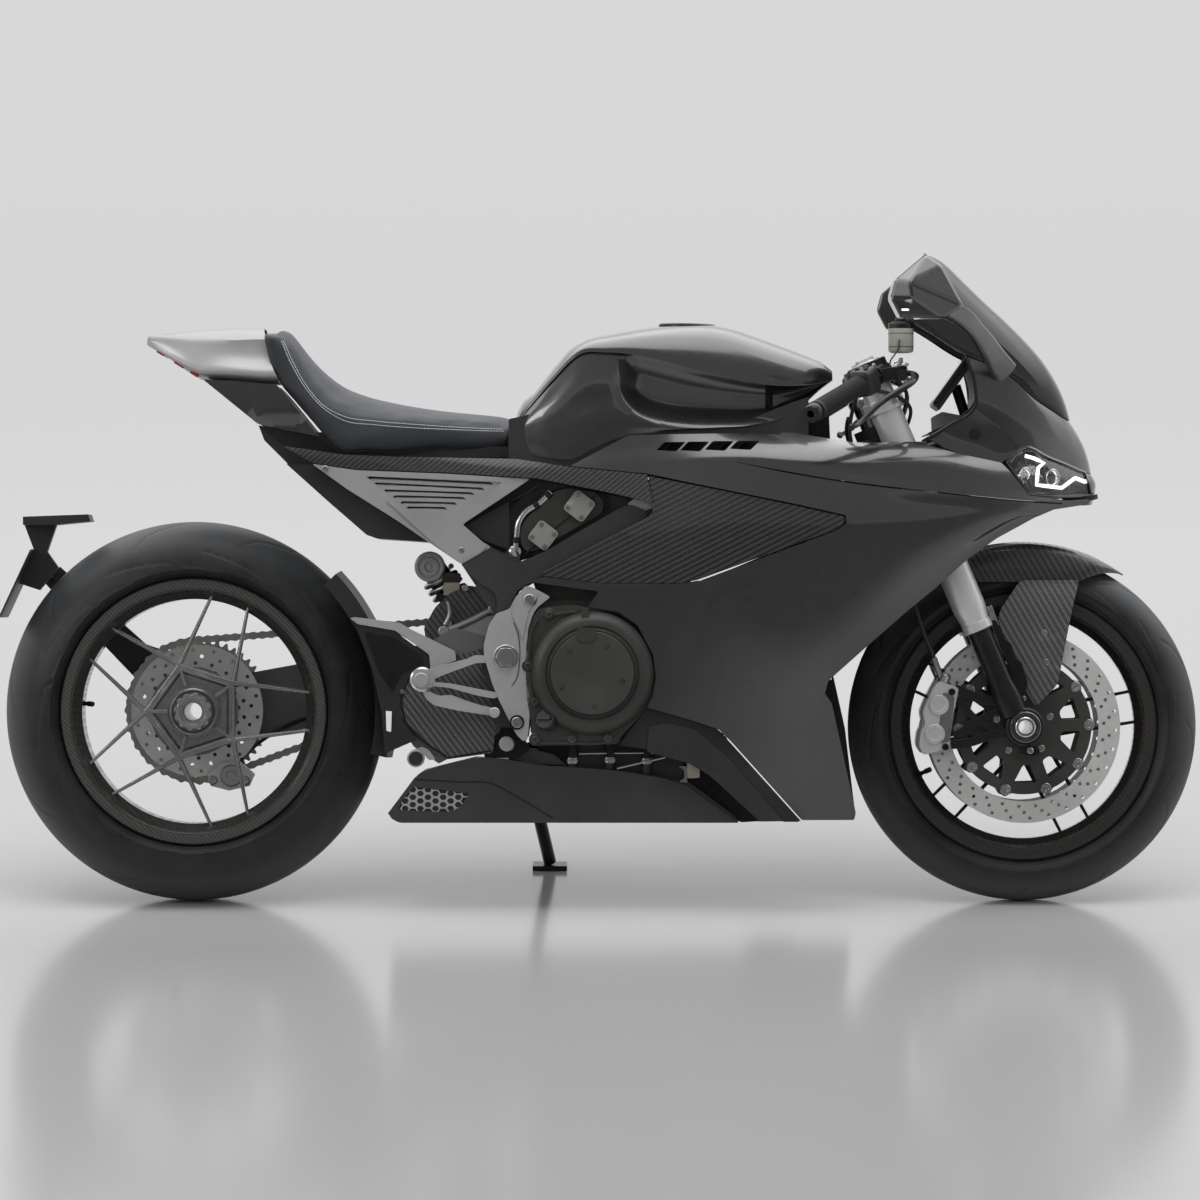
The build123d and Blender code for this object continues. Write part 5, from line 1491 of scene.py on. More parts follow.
def wheelParts():
    rim("rear", "carbon")
    rim("front", "black_metal")
    # woven band on the rear rim's edge
    for side in (-1, 1):
        half = (tyres["rear"]["rim"] + rimSize["wall"]) * side
        band = [(half - side * 0.3, 226.2), (half, 225.6), (half, 212.6), (half - side * 0.3, 212),
                (half - side * 1.2, 212), (half - side * 1.2, 226.2)]
        formed(lathe(band, rearHub, (0, 1, 0), 160, True)).done(
            "rimBandNear" if side < 0 else "rimBandFar", "rimWeave", body="rear_wheel", sharp=25)
    rear = spokeBars(starLines(rearHub, 83, 205, -56, -46, 0, 9), 5.2, 8.5, 15)
    rear.done("rearSpokes", "spokeSilver", body="rear_wheel", sharp=30, bevel=0.6)
    front = spokeBars(starLines(frontHub, 40, 205, 0, 0, 10, 7.5), 5, 8, 13)
    front.done("frontSpokes", "satinBlack", body="front_wheel", sharp=30, bevel=0.6)
    # rear hub: a five-cornered face with a pocket in each side
    y, hub = -60, rearHub
    made, loop = Build(), []
    for k in range(5):
        p, q = outward(36 + 72 * k)[[0, 2]] * 82, outward(108 + 72 * k)[[0, 2]] * 82
        loop += [p + (q - p) * s for s in np.linspace(0, 1, 13)[:-1]]
    circle_ = [p / np.linalg.norm(p) for p in loop]
    steps = [(loop, *s) for s in ((1, 8), (1, 0), (0.94, -1.5), (0.9, -1.5), (0.84, 7), (0.5, 8))]
    steps += [(circle_, *s) for s in ((46, 3), (43, -6), (40, -26), (37.5, -28), (36, -28))]
    rows = [[(hub[0] + p[0] * size, y + lift, hub[2] + p[1] * size) for p in line] for line, size, lift in steps]
    made.add(*grid(np.array(rows), close=True))
    made.add(*lathe([(-28, 36), (-28, 30), (-30, 15), (186, 15), (186, 25), (116, 26), (116, 58), (96, 58), (96, 45),
                     (30, 45), (14, 60), (14, 76), (8, 76)], (hub[0], y, hub[2]), (0, 1, 0), 64))
    made.done("rearHubFace", "hubSilver", body="rear_wheel", sharp=28, merge=0.05, bevel=0.5)
    ribs = Build()
    for k in range(5):
        out = outward(36 + 72 * k)
        line = [hub + out * 44 + np.array((0, y - 1, 0)), hub + out * 78 + np.array((0, y + 1, 0))]
        ribs.add(*sweep(line, flatBar(2.6, 4), up=(0, 1, 0)))
    ribs.done("rearHubRibs", "hubSilver", body="rear_wheel", bevel=1)
    # ring, castellated nut and the open axle
    ringProfile = [(-88, 39), (-92.5, 38.5), (-93.5, 37), (-93.5, 33), (-88, 33)]
    formed(lathe(ringProfile, rearHub, (0, 1, 0), 64, True)).done(
        "rearNutRing", "glossBlack", body="rear_wheel", sharp=30, bevel=0.4)
    nut = Build()
    rows = []
    teeth, parts = 12, 96
    for yy, outer in ((-90, True), (-101, True), (-104, True), (-104, False), (-90, False)):
        row = []
        for j in range(parts):
            a = 2 * math.pi * j / parts
            notch = (j % (parts // teeth)) < (parts // teeth) * 0.38
            r = (33 if not notch else 29.4) if outer else 22.5
            if yy == -104 and outer:
                r -= 0.9
            row.append((hub[0] + r * math.cos(a), yy, hub[2] + r * math.sin(a)))
        rows.append(row)
    rows.append(rows[0])
    nut.add(*grid(np.array(rows), close=True))
    nut.done("rearNut", "brightAlloy", body="rear_wheel", sharp=30, instead=("rear_nut",), slot="bare_alloy",
             bevel=0.6, merge=0.02)
    formed(lathe([(-101, 22), (-102, 21), (-102, 18.6), (-60, 17), (100, 16.5), (100, 21), (-101, 22)], rearHub,
                       (0, 1, 0), 48)).done("rearAxleTube", "brightAlloy", body="rear_wheel", sharp=30)
    # front hub
    formed(lathe([(-62, 18), (-62, 34), (-56, 36), (-30, 40), (-20, 44), (20, 44), (30, 40), (56, 36), (62, 34),
                        (62, 18)], frontHub, (0, 1, 0), 64, True)).done(
        "frontHub", "satinBlack", body="front_wheel", sharp=30, bevel=0.8)
    # valves
    for key, at, low in (("rear", 176, -26), ("front", 205, -18)):
        size = tyres[key]
        out = outward(at)
        foot = size["hub"] + out * 196 + np.array((0, low, 0))
        aim = -out * 0.86 + np.array((0, -0.5, 0))
        formed(lathe([(0, 0.1), (0, 6), (3, 6), (4, 3.6), (14, 3.6), (14, 4.6), (24, 4.6), (25.5, 3.6),
                            (25.5, 0.1)], foot, aim, 20)).done(key + "Valve", "satinBlack",
                                                               body=key + "_wheel", sharp=30)


finish["rimDark"] = woven("rimCarbon", 0.0028, 0, (0.012, 0.011, 0.01), (0.034, 0.031, 0.028))
finish["rimWeave"] = woven("rimEdgeCarbon", 0.0019, 0, (0.012, 0.012, 0.012), (0.11, 0.108, 0.1))
finish["spokeSilver"] = grainy("spokeSilver", (0.36, 0.36, 0.35), (0.5, 0.5, 0.49), 0.95, 0.24, 1500, 0.06)
finish["hubSilver"] = grainy("hubSilver", (0.34, 0.34, 0.335), (0.46, 0.46, 0.455), 0.95, 0.26, 1500, 0.06)
for key in tyres:
    tyre(key)
wheelParts()
print("wheels done")

# brake discs: one sector made, repeated round the axle
discs = {"rear": {"outer": 114, "inner": 60, "sectors": 18, "rows": [(72, 4), (82, 12), (94, 5), (105, 14)],
                  "hole": 3.4},
         "front": {"outer": 165, "inner": 128, "sectors": 30, "rows": [(137, 2.5), (147, 6.2), (157, 9.8)],
                   "hole": 3.1}}


def discSector(size, thick):
    span = 360 / size["sectors"]
    outer = [(size["outer"], a) for a in np.linspace(0, span, 5)]
    outer += [(size["inner"], a) for a in np.linspace(span, 0, 4)]
    sides = straight(polar((0, 0, 0), outer), 9)
    holes = [disc2d(*spot, size["hole"], 12) for spot in polar((0, 0, 0), size["rows"])]
    flat, faces = filled(sides, holes, 9)
    count = len(flat)
    if not signed(flat, faces):
        faces = [f[::-1] for f in faces]
    points = [(x, y, z) for z in (-thick / 2, thick / 2) for x, y in flat]
    lower = [f[::-1] for f in faces]
    upper = [[i + count for i in f] for f in faces]
    walls = []
    for a, b in rimOf(faces):
        # the two straight edges stay open, where the next sector joins
        ends = [math.degrees(math.atan2(flat[i][1], flat[i][0])) for i in (a, b)]
        if not any(all(abs(end - edge) < 0.01 for end in ends) for edge in (0, span)):
            walls.append([a, b, b + count, a + count])
    return Build().add(points, lower + upper + walls)


def brakeDiscs():
    scatter("rearDiscBlade", discSector(discs["rear"], 5), around(rearHub, 18, 0, 0, 44.5), finish["discSteel"],
            "rear_wheel", sharp=30)
    nearAndFar = around(frontHub, 30, 0, 0, -70) + around(frontHub, 30, 0, 0, 70)
    scatter("frontDiscBlades", discSector(discs["front"], 4.6), nearAndFar, finish["discSteel"], "front_wheel",
            sharp=30)
    # carrier with ten arms and a lobe at each button
    hub = frontHub
    for side, name in ((-1, "frontCarrierNear"), (1, "frontCarrierFar")):
        outer = []
        for a in np.arange(0, 360, 2.0):
            near = abs((a - 1.8 + 18) % 36 - 18)
            outer.append((116 + (8 * math.cos(math.radians(near * 18)) if near < 5 else 0), a))
        outer = polar(hub, outer)
        holes = []
        for k in range(10):
            a, lean = 1.8 + 36 * k, 6 if k % 2 else 0
            window = [(98, a + 6), (98, a + 30), (66, a + 21 + lean), (66, a + 9 + lean)]
            holes.append(rounded(polar(hub, window), 5, 4))
        holes.append(disc2d(hub[0], hub[2], 34, 40))
        y0, y1 = sorted((side * 64.8, side * 69.2))
        made = formed(plate(outer, y0, y1, holes, 13))
        made.done(name, "darkSteel", body="front_wheel", sharp=30, bevel=0.7,
                  instead=("front_discs",) if side < 0 else (), slot="steel")
    button = formed(lathe([(-4, 4), (-4, 9), (3.2, 9), (4, 8.2), (4, 5.2), (2.4, 4.2), (2.4, 0.1)],
                                (0, 0, 0), (0, 0, 1), 22))
    places = [(spot + np.array((0, side * 70, 0)), (0, side, 0), out) for side in (-1, 1)
              for spot, _, out in around(hub, 10, 1.8, 112)]
    scatter("discButtons", button, places, finish["brightAlloy"], "front_wheel")
    screws = [(spot + np.array((0, side * 69, 0)), (0, side, 0), out) for side in (-1, 1)
              for spot, _, out in around(hub, 5, 21, 48)]
    scatter("discScrews", capScrew(6, 3.5), screws, finish["brightAlloy"], "front_wheel")
    # rear disc carrier
    holes = [rounded(polar(rearHub, [(57, a + 8), (57, a + 36), (57, a + 64), (48, a + 60), (48, a + 12)]), 2.5, 4)
             for a in range(0, 360, 72)]
    outer, bore = (disc2d(rearHub[0], rearHub[2], r, count) for r, count in ((65, 80), (26, 40)))
    formed(plate(outer, 38, 41.8, [*holes, bore], 12)).done(
        "rearDiscCarrier", "hubSilver", body="rear_wheel", bevel=0.5, instead=("rear_disc",), slot="steel")
    places = around(rearHub, 8, 10, 62, 42, (0, -1, 0))
    scatter("rearDiscScrews", capScrew(5, 5), [(s - np.array((0, 0.5, 0)), a, o) for s, a, o in places],
            finish["brightAlloy"], "rear_wheel")


finish["discSteel"] = grainy("discSteel", (0.55, 0.55, 0.54), (0.66, 0.66, 0.65), 0.55, 0.38, 1500, 0.1)
brakeDiscs()
print("discs done")

# chain and sprockets
chain = {"y": 130, "pitch": 15.875, "rear": 48, "front": 15, "drive": (-110.0, 0, 455.0), "plate": 7.2, "tooth": 4}


def pitchRadius(teeth):
    return chain["pitch"] / (2 * math.sin(math.pi / teeth))


def chainLoop():
    a, b = np.array((rearHub[0], rearHub[2])), np.array((chain["drive"][0], chain["drive"][2]))
    ra, rb = pitchRadius(chain["rear"]), pitchRadius(chain["front"])
    run = b - a
    base = math.atan2(run[1], run[0])
    tilt = math.asin((ra - rb) / np.linalg.norm(run))
    top, foot = base + math.pi / 2 - tilt, base - math.pi / 2 + tilt
    line = [(a[0] + ra * math.cos(t), a[1] + ra * math.sin(t)) for t in
            np.linspace(top, foot + 2 * math.pi, 80)]
    line += [(b[0] + rb * math.cos(t), b[1] + rb * math.sin(t)) for t in np.linspace(foot, top, 30)]
    return np.array([(x, chain["y"], z) for x, z in line])


def linkPlate(z0, z1, long, tall):
    # one link plate, waisted in the middle
    loop = []
    for a in np.linspace(-90, 90, 9):
        loop.append((long / 2 + tall * math.cos(math.radians(a)), tall * math.sin(math.radians(a))))
    loop.append((0, tall * 0.72))
    for a in np.linspace(90, 270, 9):
        loop.append((-long / 2 + tall * math.cos(math.radians(a)), tall * math.sin(math.radians(a))))
    loop.append((0, -tall * 0.72))
    count = len(loop)
    points = [(x, y, z) for z in (z0, z1) for x, y in loop]
    faces = [list(range(count))[::-1], list(range(count, 2 * count))]
    faces += [[i, (i + 1) % count, count + (i + 1) % count, count + i] for i in range(count)]
    return points, faces


def chainPieces():
    loop = chainLoop()
    length = chord(np.vstack([loop, loop[:1]]))[-1]
    count = int(round(length / chain["pitch"] / 2)) * 2
    pair = Build()
    half = chain["pitch"] / 2
    for z in (-9.4, 7.7):
        pair.add(*linkPlate(z, z + 1.7, chain["pitch"], 6.9))
    for z in (-7.5, 5.8):
        points, faces = linkPlate(z, z + 1.7, chain["pitch"], 6.6)
        pair.add([(x + chain["pitch"], y, z_) for x, y, z_ in points], faces)
    for x in (-half, half):
        pair.add(*lathe([(-9.6, 0.1), (-9.6, 2.6), (9.6, 2.6), (9.6, 0.1)], (x, 0, 0), (0, 0, 1), 10))
        pair.add(*lathe([(-5.6, 5), (5.6, 5)], (x, 0, 0), (0, 0, 1), 12))
    links = follow("chainLinks", pair, loop, count // 2, finish["chainSteel"], side=(0, 1, 0),
                   close=True)
    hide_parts("chain")
    for key, hub, teeth, body, node in (("rear", rearHub, chain["rear"], "rear_wheel", "rear_sprocket"),
                                        ("front", np.array(chain["drive"]), chain["front"], "chassis",
                                         "front_sprocket")):
        pitchR = pitchRadius(teeth)
        outer = []
        for k in range(teeth):
            for share, r in ((-0.5, -5.6), (-0.3, -4.2), (-0.14, 1.8), (0, 3.4), (0.14, 1.8), (0.3, -4.2)):
                a = 2 * math.pi * (k + share) / teeth
                outer.append((hub[0] + (pitchR + r) * math.cos(a), hub[2] + (pitchR + r) * math.sin(a)))
        holes = []
        if key == "rear":
            holes = [rounded(polar(hub, [(104, a + 8), (104, a + 52), (70, a + 46), (70, a + 14)]), 8, 4)
                     for a in range(0, 360, 60)]
        holes.append(disc2d(hub[0], hub[2], *((26, 36) if key == "rear" else (12, 24))))
        formed(plate(outer, chain["y"] - chain["tooth"] + 0.4, chain["y"] + chain["tooth"] - 0.4, holes,
                           16)).done(key + "Sprocket", "steel", body=body, bevel=0.8, instead=(node,),
                                     slot="steel")
    scatter("sprocketScrews", capScrew(6.5, 6), around(rearHub, 6, 0, 48, 133.5, (0, 1, 0)), finish["brightAlloy"],
            "rear_wheel")


finish["chainSteel"] = grainy("chainSteel", (0.5, 0.49, 0.46), (0.62, 0.6, 0.57), 0.6, 0.32, 1500, 0.12)
chainPieces()
print("chain done")
# fork, brakes, mudguard and controls, all on the steering
rake = math.radians(23)
upFork = np.array((-math.sin(rake), 0, math.cos(rake)))
aheadFork = np.array((math.cos(rake), 0, math.sin(rake)))
forkSpread = 105


def alongFork(distance, y=0.0, ahead=0.0):
    return frontHub - aheadFork * 8 + upFork * distance + aheadFork * ahead + np.array((0, y, 0))


def turnedTo(points, origin, u, n, v):
    # a plate's x, y, z laid along other directions
    points = np.asarray(points, float)
    return np.array(origin) + points[:, :1] * u + points[:, 1:2] * n + points[:, 2:] * v


def yoke(name, at, thick, outline, key):
    across = np.array((0, 1, 0))
    half = outline + [(-u, v) for u, v in reversed(outline) if abs(u) > 0.01]
    holes = [disc2d(side * forkSpread, 0, 27.2) for side in (-1, 1)]
    points, faces = plate(flats(half, 10, 12), -thick / 2, thick / 2, holes, 22)
    Build().add(turnedTo(points, alongFork(at), across, upFork, aheadFork), faces).done(
        name, key, body="steering", bevel=2.2, merge=0.02)


def forkParts():
    profile = [(0, 21), (0, 24.5), (1.5, 26), (14, 26), (15.5, 24.6), (22, 25.2), (40, 28.3), (44, 28.6), (205, 28.6),
               (215, 27.2), (494, 27.2), (495, 25), (498, 23.5), (498, 17), (504, 16), (504, 7), (500, 6.5), (500, 0.1)]
    lower = [(26, 0.1), (26, 24), (44, 25), (64, 24.5), (78, 22.2), (90, 21), (181, 20.6), (181, 0.1)]
    seal = [(181, 20.7), (181, 24), (186, 24.4), (186, 20.7)]
    uppers, lowers, seals = Build(), Build(), Build()
    for side in (-1, 1):
        uppers.add(*lathe(profile, alongFork(182, side * forkSpread), upFork, 56))
        lowers.add(*lathe(lower, alongFork(0, side * forkSpread), upFork, 48))
        lowers.add(*lathe([(-19, 18), (-19, 30), (-16, 33.5), (16, 33.5), (19, 30), (19, 18)],
                          frontHub + np.array((0, side * forkSpread, 0)), (0, 1, 0), 56, True))
        seals.add(*lathe(seal, alongFork(0, side * forkSpread), upFork, 48, True))
        # pinch lug below the axle
        lug = [(-10, -30), (22, -33), (26, -44), (14, -50), (-8, -46)]
        points, faces = plate(flats([(726 + x, 300 + z) for x, z in lug], 4, 12), side * forkSpread - 15,
                              side * forkSpread + 15)
        lowers.add(points, faces)
    uppers.done("forkUppers", "forkSilver", body="steering", sharp=28, instead=("fork_uppers",),
                slot="bare_alloy", bevel=0.5)
    lowers.done("forkLowers", "satinBlack", body="steering", sharp=30, instead=("fork_lowers",),
                slot="black_metal", bevel=0.7)
    seals.done("forkSeals", "rubber", body="steering", sharp=30)
    yoke("lowerYoke", 395, 38, [(0, -34), (70, -24), (105, -38), (136, -18), (141, 4), (132, 24), (105, 38),
                                (70, 22), (40, 34), (0, 46)], "frameMetal")
    yoke("upperYoke", 600, 24, [(0, -30), (60, -22), (105, -36), (132, -18), (138, 4), (130, 24), (105, 37),
                                (70, 22), (40, 30), (0, 44)], "forkSilver")
    stem = alongFork(385, 0) - aheadFork * 28
    formed(lathe([(0, 0.1), (0, 19), (228, 19), (228, 24), (240, 24), (243, 22), (243, 13), (238, 12),
                        (238, 0.1)], stem, upFork, 40)).done("steeringStem", "brightAlloy", body="steering",
                                                             sharp=30, bevel=0.5)
    screws = []
    for side in (-1, 1):
        for at in (384, 406, 600):
            screws.append((alongFork(at, side * 132, 20), (0, side, 0), upFork))
        screws.append((frontHub + np.array((8, side * 121, -40)), (0, side, 0), (1, 0, 0)))
    scatter("yokeScrews", capScrew(5.5, 6), screws, finish["brightAlloy"], "steering")
    # hollow axle with its nut
    formed(lathe([(-128, 12), (-130.5, 13), (-130.5, 15.5), (-129, 17.4), (-128, 17.4), (128, 17.4),
                        (130.5, 15.5), (130.5, 12), (-128, 12)], frontHub, (0, 1, 0), 48)).done(
        "frontAxle", "brightAlloy", body="steering", sharp=30, instead=("front_axle",), slot="bare_alloy")
    rings = Build()
    for side in (-1, 1):
        rings.add(*lathe([(0, 18), (0, 27), (4, 27), (6, 25), (6, 21), (3, 20), (3, 18)],
                         frontHub + np.array((0, side * 123.5, 0)), (0, side, 0), 48, True))
    rings.done("axleRings", "glossBlack", body="steering", sharp=30, bevel=0.5)


finish["forkSilver"] = grainy("forkSilver", (0.56, 0.56, 0.56), (0.64, 0.64, 0.64), 0.55, 0.34, 1500, 0.08)
forkParts()
print("fork done")

# mudguard: edge height, tip angle and section as y and rise over the tyre
guard = {"edgeZ": 552, "tip": 56.2, "back": 112, "crown": 317, "half": 69, "wall": 2.5}


def mudguard():
    rows = []
    for angle in np.linspace(guard["tip"], guard["back"], 46):
        a = math.radians(angle)
        low = (guard["edgeZ"] - frontHub[2]) / math.sin(a)
        front = np.clip((angle - guard["tip"]) / 13, 0, 1)
        half = guard["half"] * math.sin(front * math.pi / 2) ** 0.8 + 0.5
        low = guard["crown"] - (guard["crown"] - low) * front ** 0.9 - 4
        peak = guard["crown"] - 3 * (1 - front)
        knots = [(-half, low), (-half * 0.985, low + (peak - low) * 0.55), (-half * 0.86, peak - 9 * front),
                 (-half * 0.46, peak - 2.5 * front), (0, peak)]
        section = curve(knots, 4.5 * max(half, 8) / 69, corners=(3,))
        section = spline(np.linspace(0, 1, 22), np.linspace(0, 1, len(section)), section)
        full = np.vstack([section, section[::-1][1:] * (-1, 1)])
        rows.append([(frontHub[0] + r * math.cos(a), y, frontHub[2] + r * math.sin(a)) for y, r in full])
    made = formed(grid(np.array(rows), flip=True)).done("mudguard", "carbonGuard", body="steering",
                                                              sharp=34,
                                                   instead=("front_mudguard",), slot="carbon", merge=0.1)
    addWall(made, guard["wall"])
    addBevel(made, 0.8, 2, 50)
    # leaf on each side, folded in at the top and bolted to the fork
    outline = [(1002, 613), (1023, 583), (1082, 583), (1074, 613), (1059, 688), (1037, 710), (1025, 690), (1013, 658),
               (1000, 623)]
    leaf = [pixel(px, py, -82) for px, py in outline]
    dents = [pixel(px, py, -82) for px, py in ((1046, 636), (1048, 665))]

    def lift(x, z):
        dip = 0
        for dx, dz in dents:
            near = math.hypot((x - dx - 6) / 2.1, z - dz) / 11
            dip = max(dip, 1 - near * near)
        return -2.6 * max(dip, 0) ** 0.7 + 2.0 * math.sin(np.clip((z - 350) / 200, 0, 1) * math.pi)
    boxes = [((dx - 24, dz - 15, dx + 32, dz + 15), 3) for dx, dz in dents]
    points, faces = plate(flats(leaf, 9, 8), -84, -81, step=8, lift=lift, finer=boxes)
    points = np.array(points)
    fold = np.clip((points[:, 2] - 500) / 45, 0, 1)
    points[:, 1] += fold ** 2 * 10
    made = Build().add(points, faces).pair("guardLeaves", "carbonLeaf", body="steering", sharp=40,
                                                      slot="carbon")
    addBevel(made, 0.7, 2, 50)
    places = [(np.array((dx, side * -82.2, dz)), (0, -side, 0), (1, 0, 0)) for dx, dz in dents for side in (1, -1)]
    scatter("leafScrews", capScrew(5.5, 3.6), places, finish["brightAlloy"], "steering")
    # black stay between the leaf and the fork leg
    stay = [alongFork(s, 0, a)[[0, 2]] for s, a in ((190, 24), (188, 34), (150, 36), (140, 42), (112, 40), (104, 46),
                                                    (66, 42), (50, 30), (60, 20), (100, 23))]
    formed(plate(flats(stay, 3, 12), -100, -88)).pair("guardStays", "satinBlack",
                                                                       body="steering", bevel=1)
    strips = Build()
    for side in (-1, 1):
        strips.add(*sweep([alongFork(214, side * 92, 33), alongFork(178, side * 92, 31)],
                          [(5, -1), (5, 1), (-5, 1), (-5, -1)], up=(0, 1, 0)))
    strips.done("guardStrips", "brightAlloy", body="steering", bevel=0.5)


finish["carbonGuard"] = woven("guardWeave", 0.0034, -15, (0.006, 0.006, 0.006), (0.07, 0.07, 0.072))
finish["carbonLeaf"] = woven("leafWeave", 0.0034, -15, (0.02, 0.02, 0.02), (0.17, 0.17, 0.17), **{"Coat Weight": 0.4})
mudguard()
print("mudguard done")


def frontBrakes():
    face = [(578, 379), (613, 367), (604, 324), (596, 264), (554, 252), (545, 267), (548, 290), (556, 305), (552, 325),
            (562, 350)]
    loop = flats(face, 6, 7)
    cheek = formed(plate(loop, -110, -79, step=12))
    cheek.add(*plate(loop, -62.5, -48, step=12))
    bridge = [(578, 379), (596, 373), (583, 346), (574, 300), (571, 258), (554, 252), (545, 267), (562, 350)]
    keep = []
    for x, z in flats(bridge, 3, 8):
        out = np.array((x - frontHub[0], z - frontHub[2]))
        far = np.linalg.norm(out)
        keep.append(tuple(out / far * max(far, 168.5) + np.array((frontHub[0], frontHub[2]))))
    cheek.add(*plate(keep, -79.5, -62, step=14))
    cheek.pair("frontCalipers", "caliper", body="steering", sharp=35, instead=("front_calipers",),
                          slot="bare_alloy", bevel=1.6)
    caps = Build()
    for x, z in ((567, 338), (560, 288)):
        caps.add(*lathe([(0, 17), (2, 17.5), (4, 15.5), (4, 11), (2.6, 10), (2.6, 0.1)], (x + 12, -109.5, z),
                        (0, -1, 0), 36))
    caps.pair("caliperCaps", "caliper", body="steering", sharp=30, bevel=0.5)
    pad = flats([(586, 360), (606, 352), (598, 276), (576, 272)], 5, 8)
    formed(plate(pad, -111.5, -109.5)).pair("caliperFaces", "spokeSilver", body="steering",
                                                             bevel=0.8)
    arms = Build()
    # radial mounts: two struts from the fork foot to the caliper's ends
    for line, wide in (([(606, -98, 366), (640, -97, 352), (672, -100, 344), (694, -104, 346)], 8),
                       ([(600, -98, 270), (632, -97, 274), (668, -100, 286), (704, -105, 292)], 8),
                       ([(612, -97, 352), (640, -98, 316), (676, -100, 296)], 6),
                       ([(606, -97, 284), (640, -98, 306), (684, -102, 330)], 6)):
        arms.add(*sweep(curve(line, 8), [(7, -wide), (7, wide), (-7, wide), (-7, -wide)], up=(0, 0, 1)))
    arms.pair("caliperMounts", "satinBlack", body="steering", bevel=1.6, sharp=40)
    scatter("caliperScrews", capScrew(6, 6), facing(110, [(601, 360), (590, 266)]), finish["satinBlack"], "steering")
    # bleed nipple, pipe joint and hose
    for side in (-1, 1):
        y = side * 100
        hose = [(578, y, 398), (569, y, 424), (557, y * 0.98, 452), (541, y * 0.95, 500), (516, y * 0.85, 570),
                (486, y * 0.8, 650), (455, y * 0.75, 730), (428, y * 0.72, 800), (440, side * 92, 868)]
        if side > 0:
            hose[-1] = (428, 20, 830)
        name = "brakeHoseNear" if side < 0 else "brakeHoseFar"
        formed(tube(hose, 3.4, 12, 12)).done(name, "hose", body="steering")
        ends = formed(tube([(584, y, 384), (578, y, 398), (571, y, 418)], 5.2, 5, 14))
        ends.add(*lathe([(-10, 0.1), (-10, 6), (-6, 9), (10, 9), (12, 7), (12, 0.1)], (588, y, 380),
                        (0.4, 0.2 * side, 0.9), 24))
        ends.done("brakeUnion" + ("Near" if side < 0 else "Far"), "steel", body="steering", sharp=30)


finish["caliper"] = grainy("caliperSilver", (0.5, 0.5, 0.5), (0.6, 0.6, 0.6), 0.6, 0.38, 1500, 0.08)
frontBrakes()
print("front brakes done")

# controls: the right side's places; the left mirrors them
gripIn, gripOut = np.array((488.0, -105, 910)), np.array((350.0, -335, 827))
gripRun = gripOut - gripIn
gripWay = gripRun / np.linalg.norm(gripRun)
gripLong = np.linalg.norm(gripRun)
gripSide = np.cross((0, 0, 1), gripWay)
gripSide /= np.linalg.norm(gripSide)


def onBar(share):
    return gripIn + gripRun * share


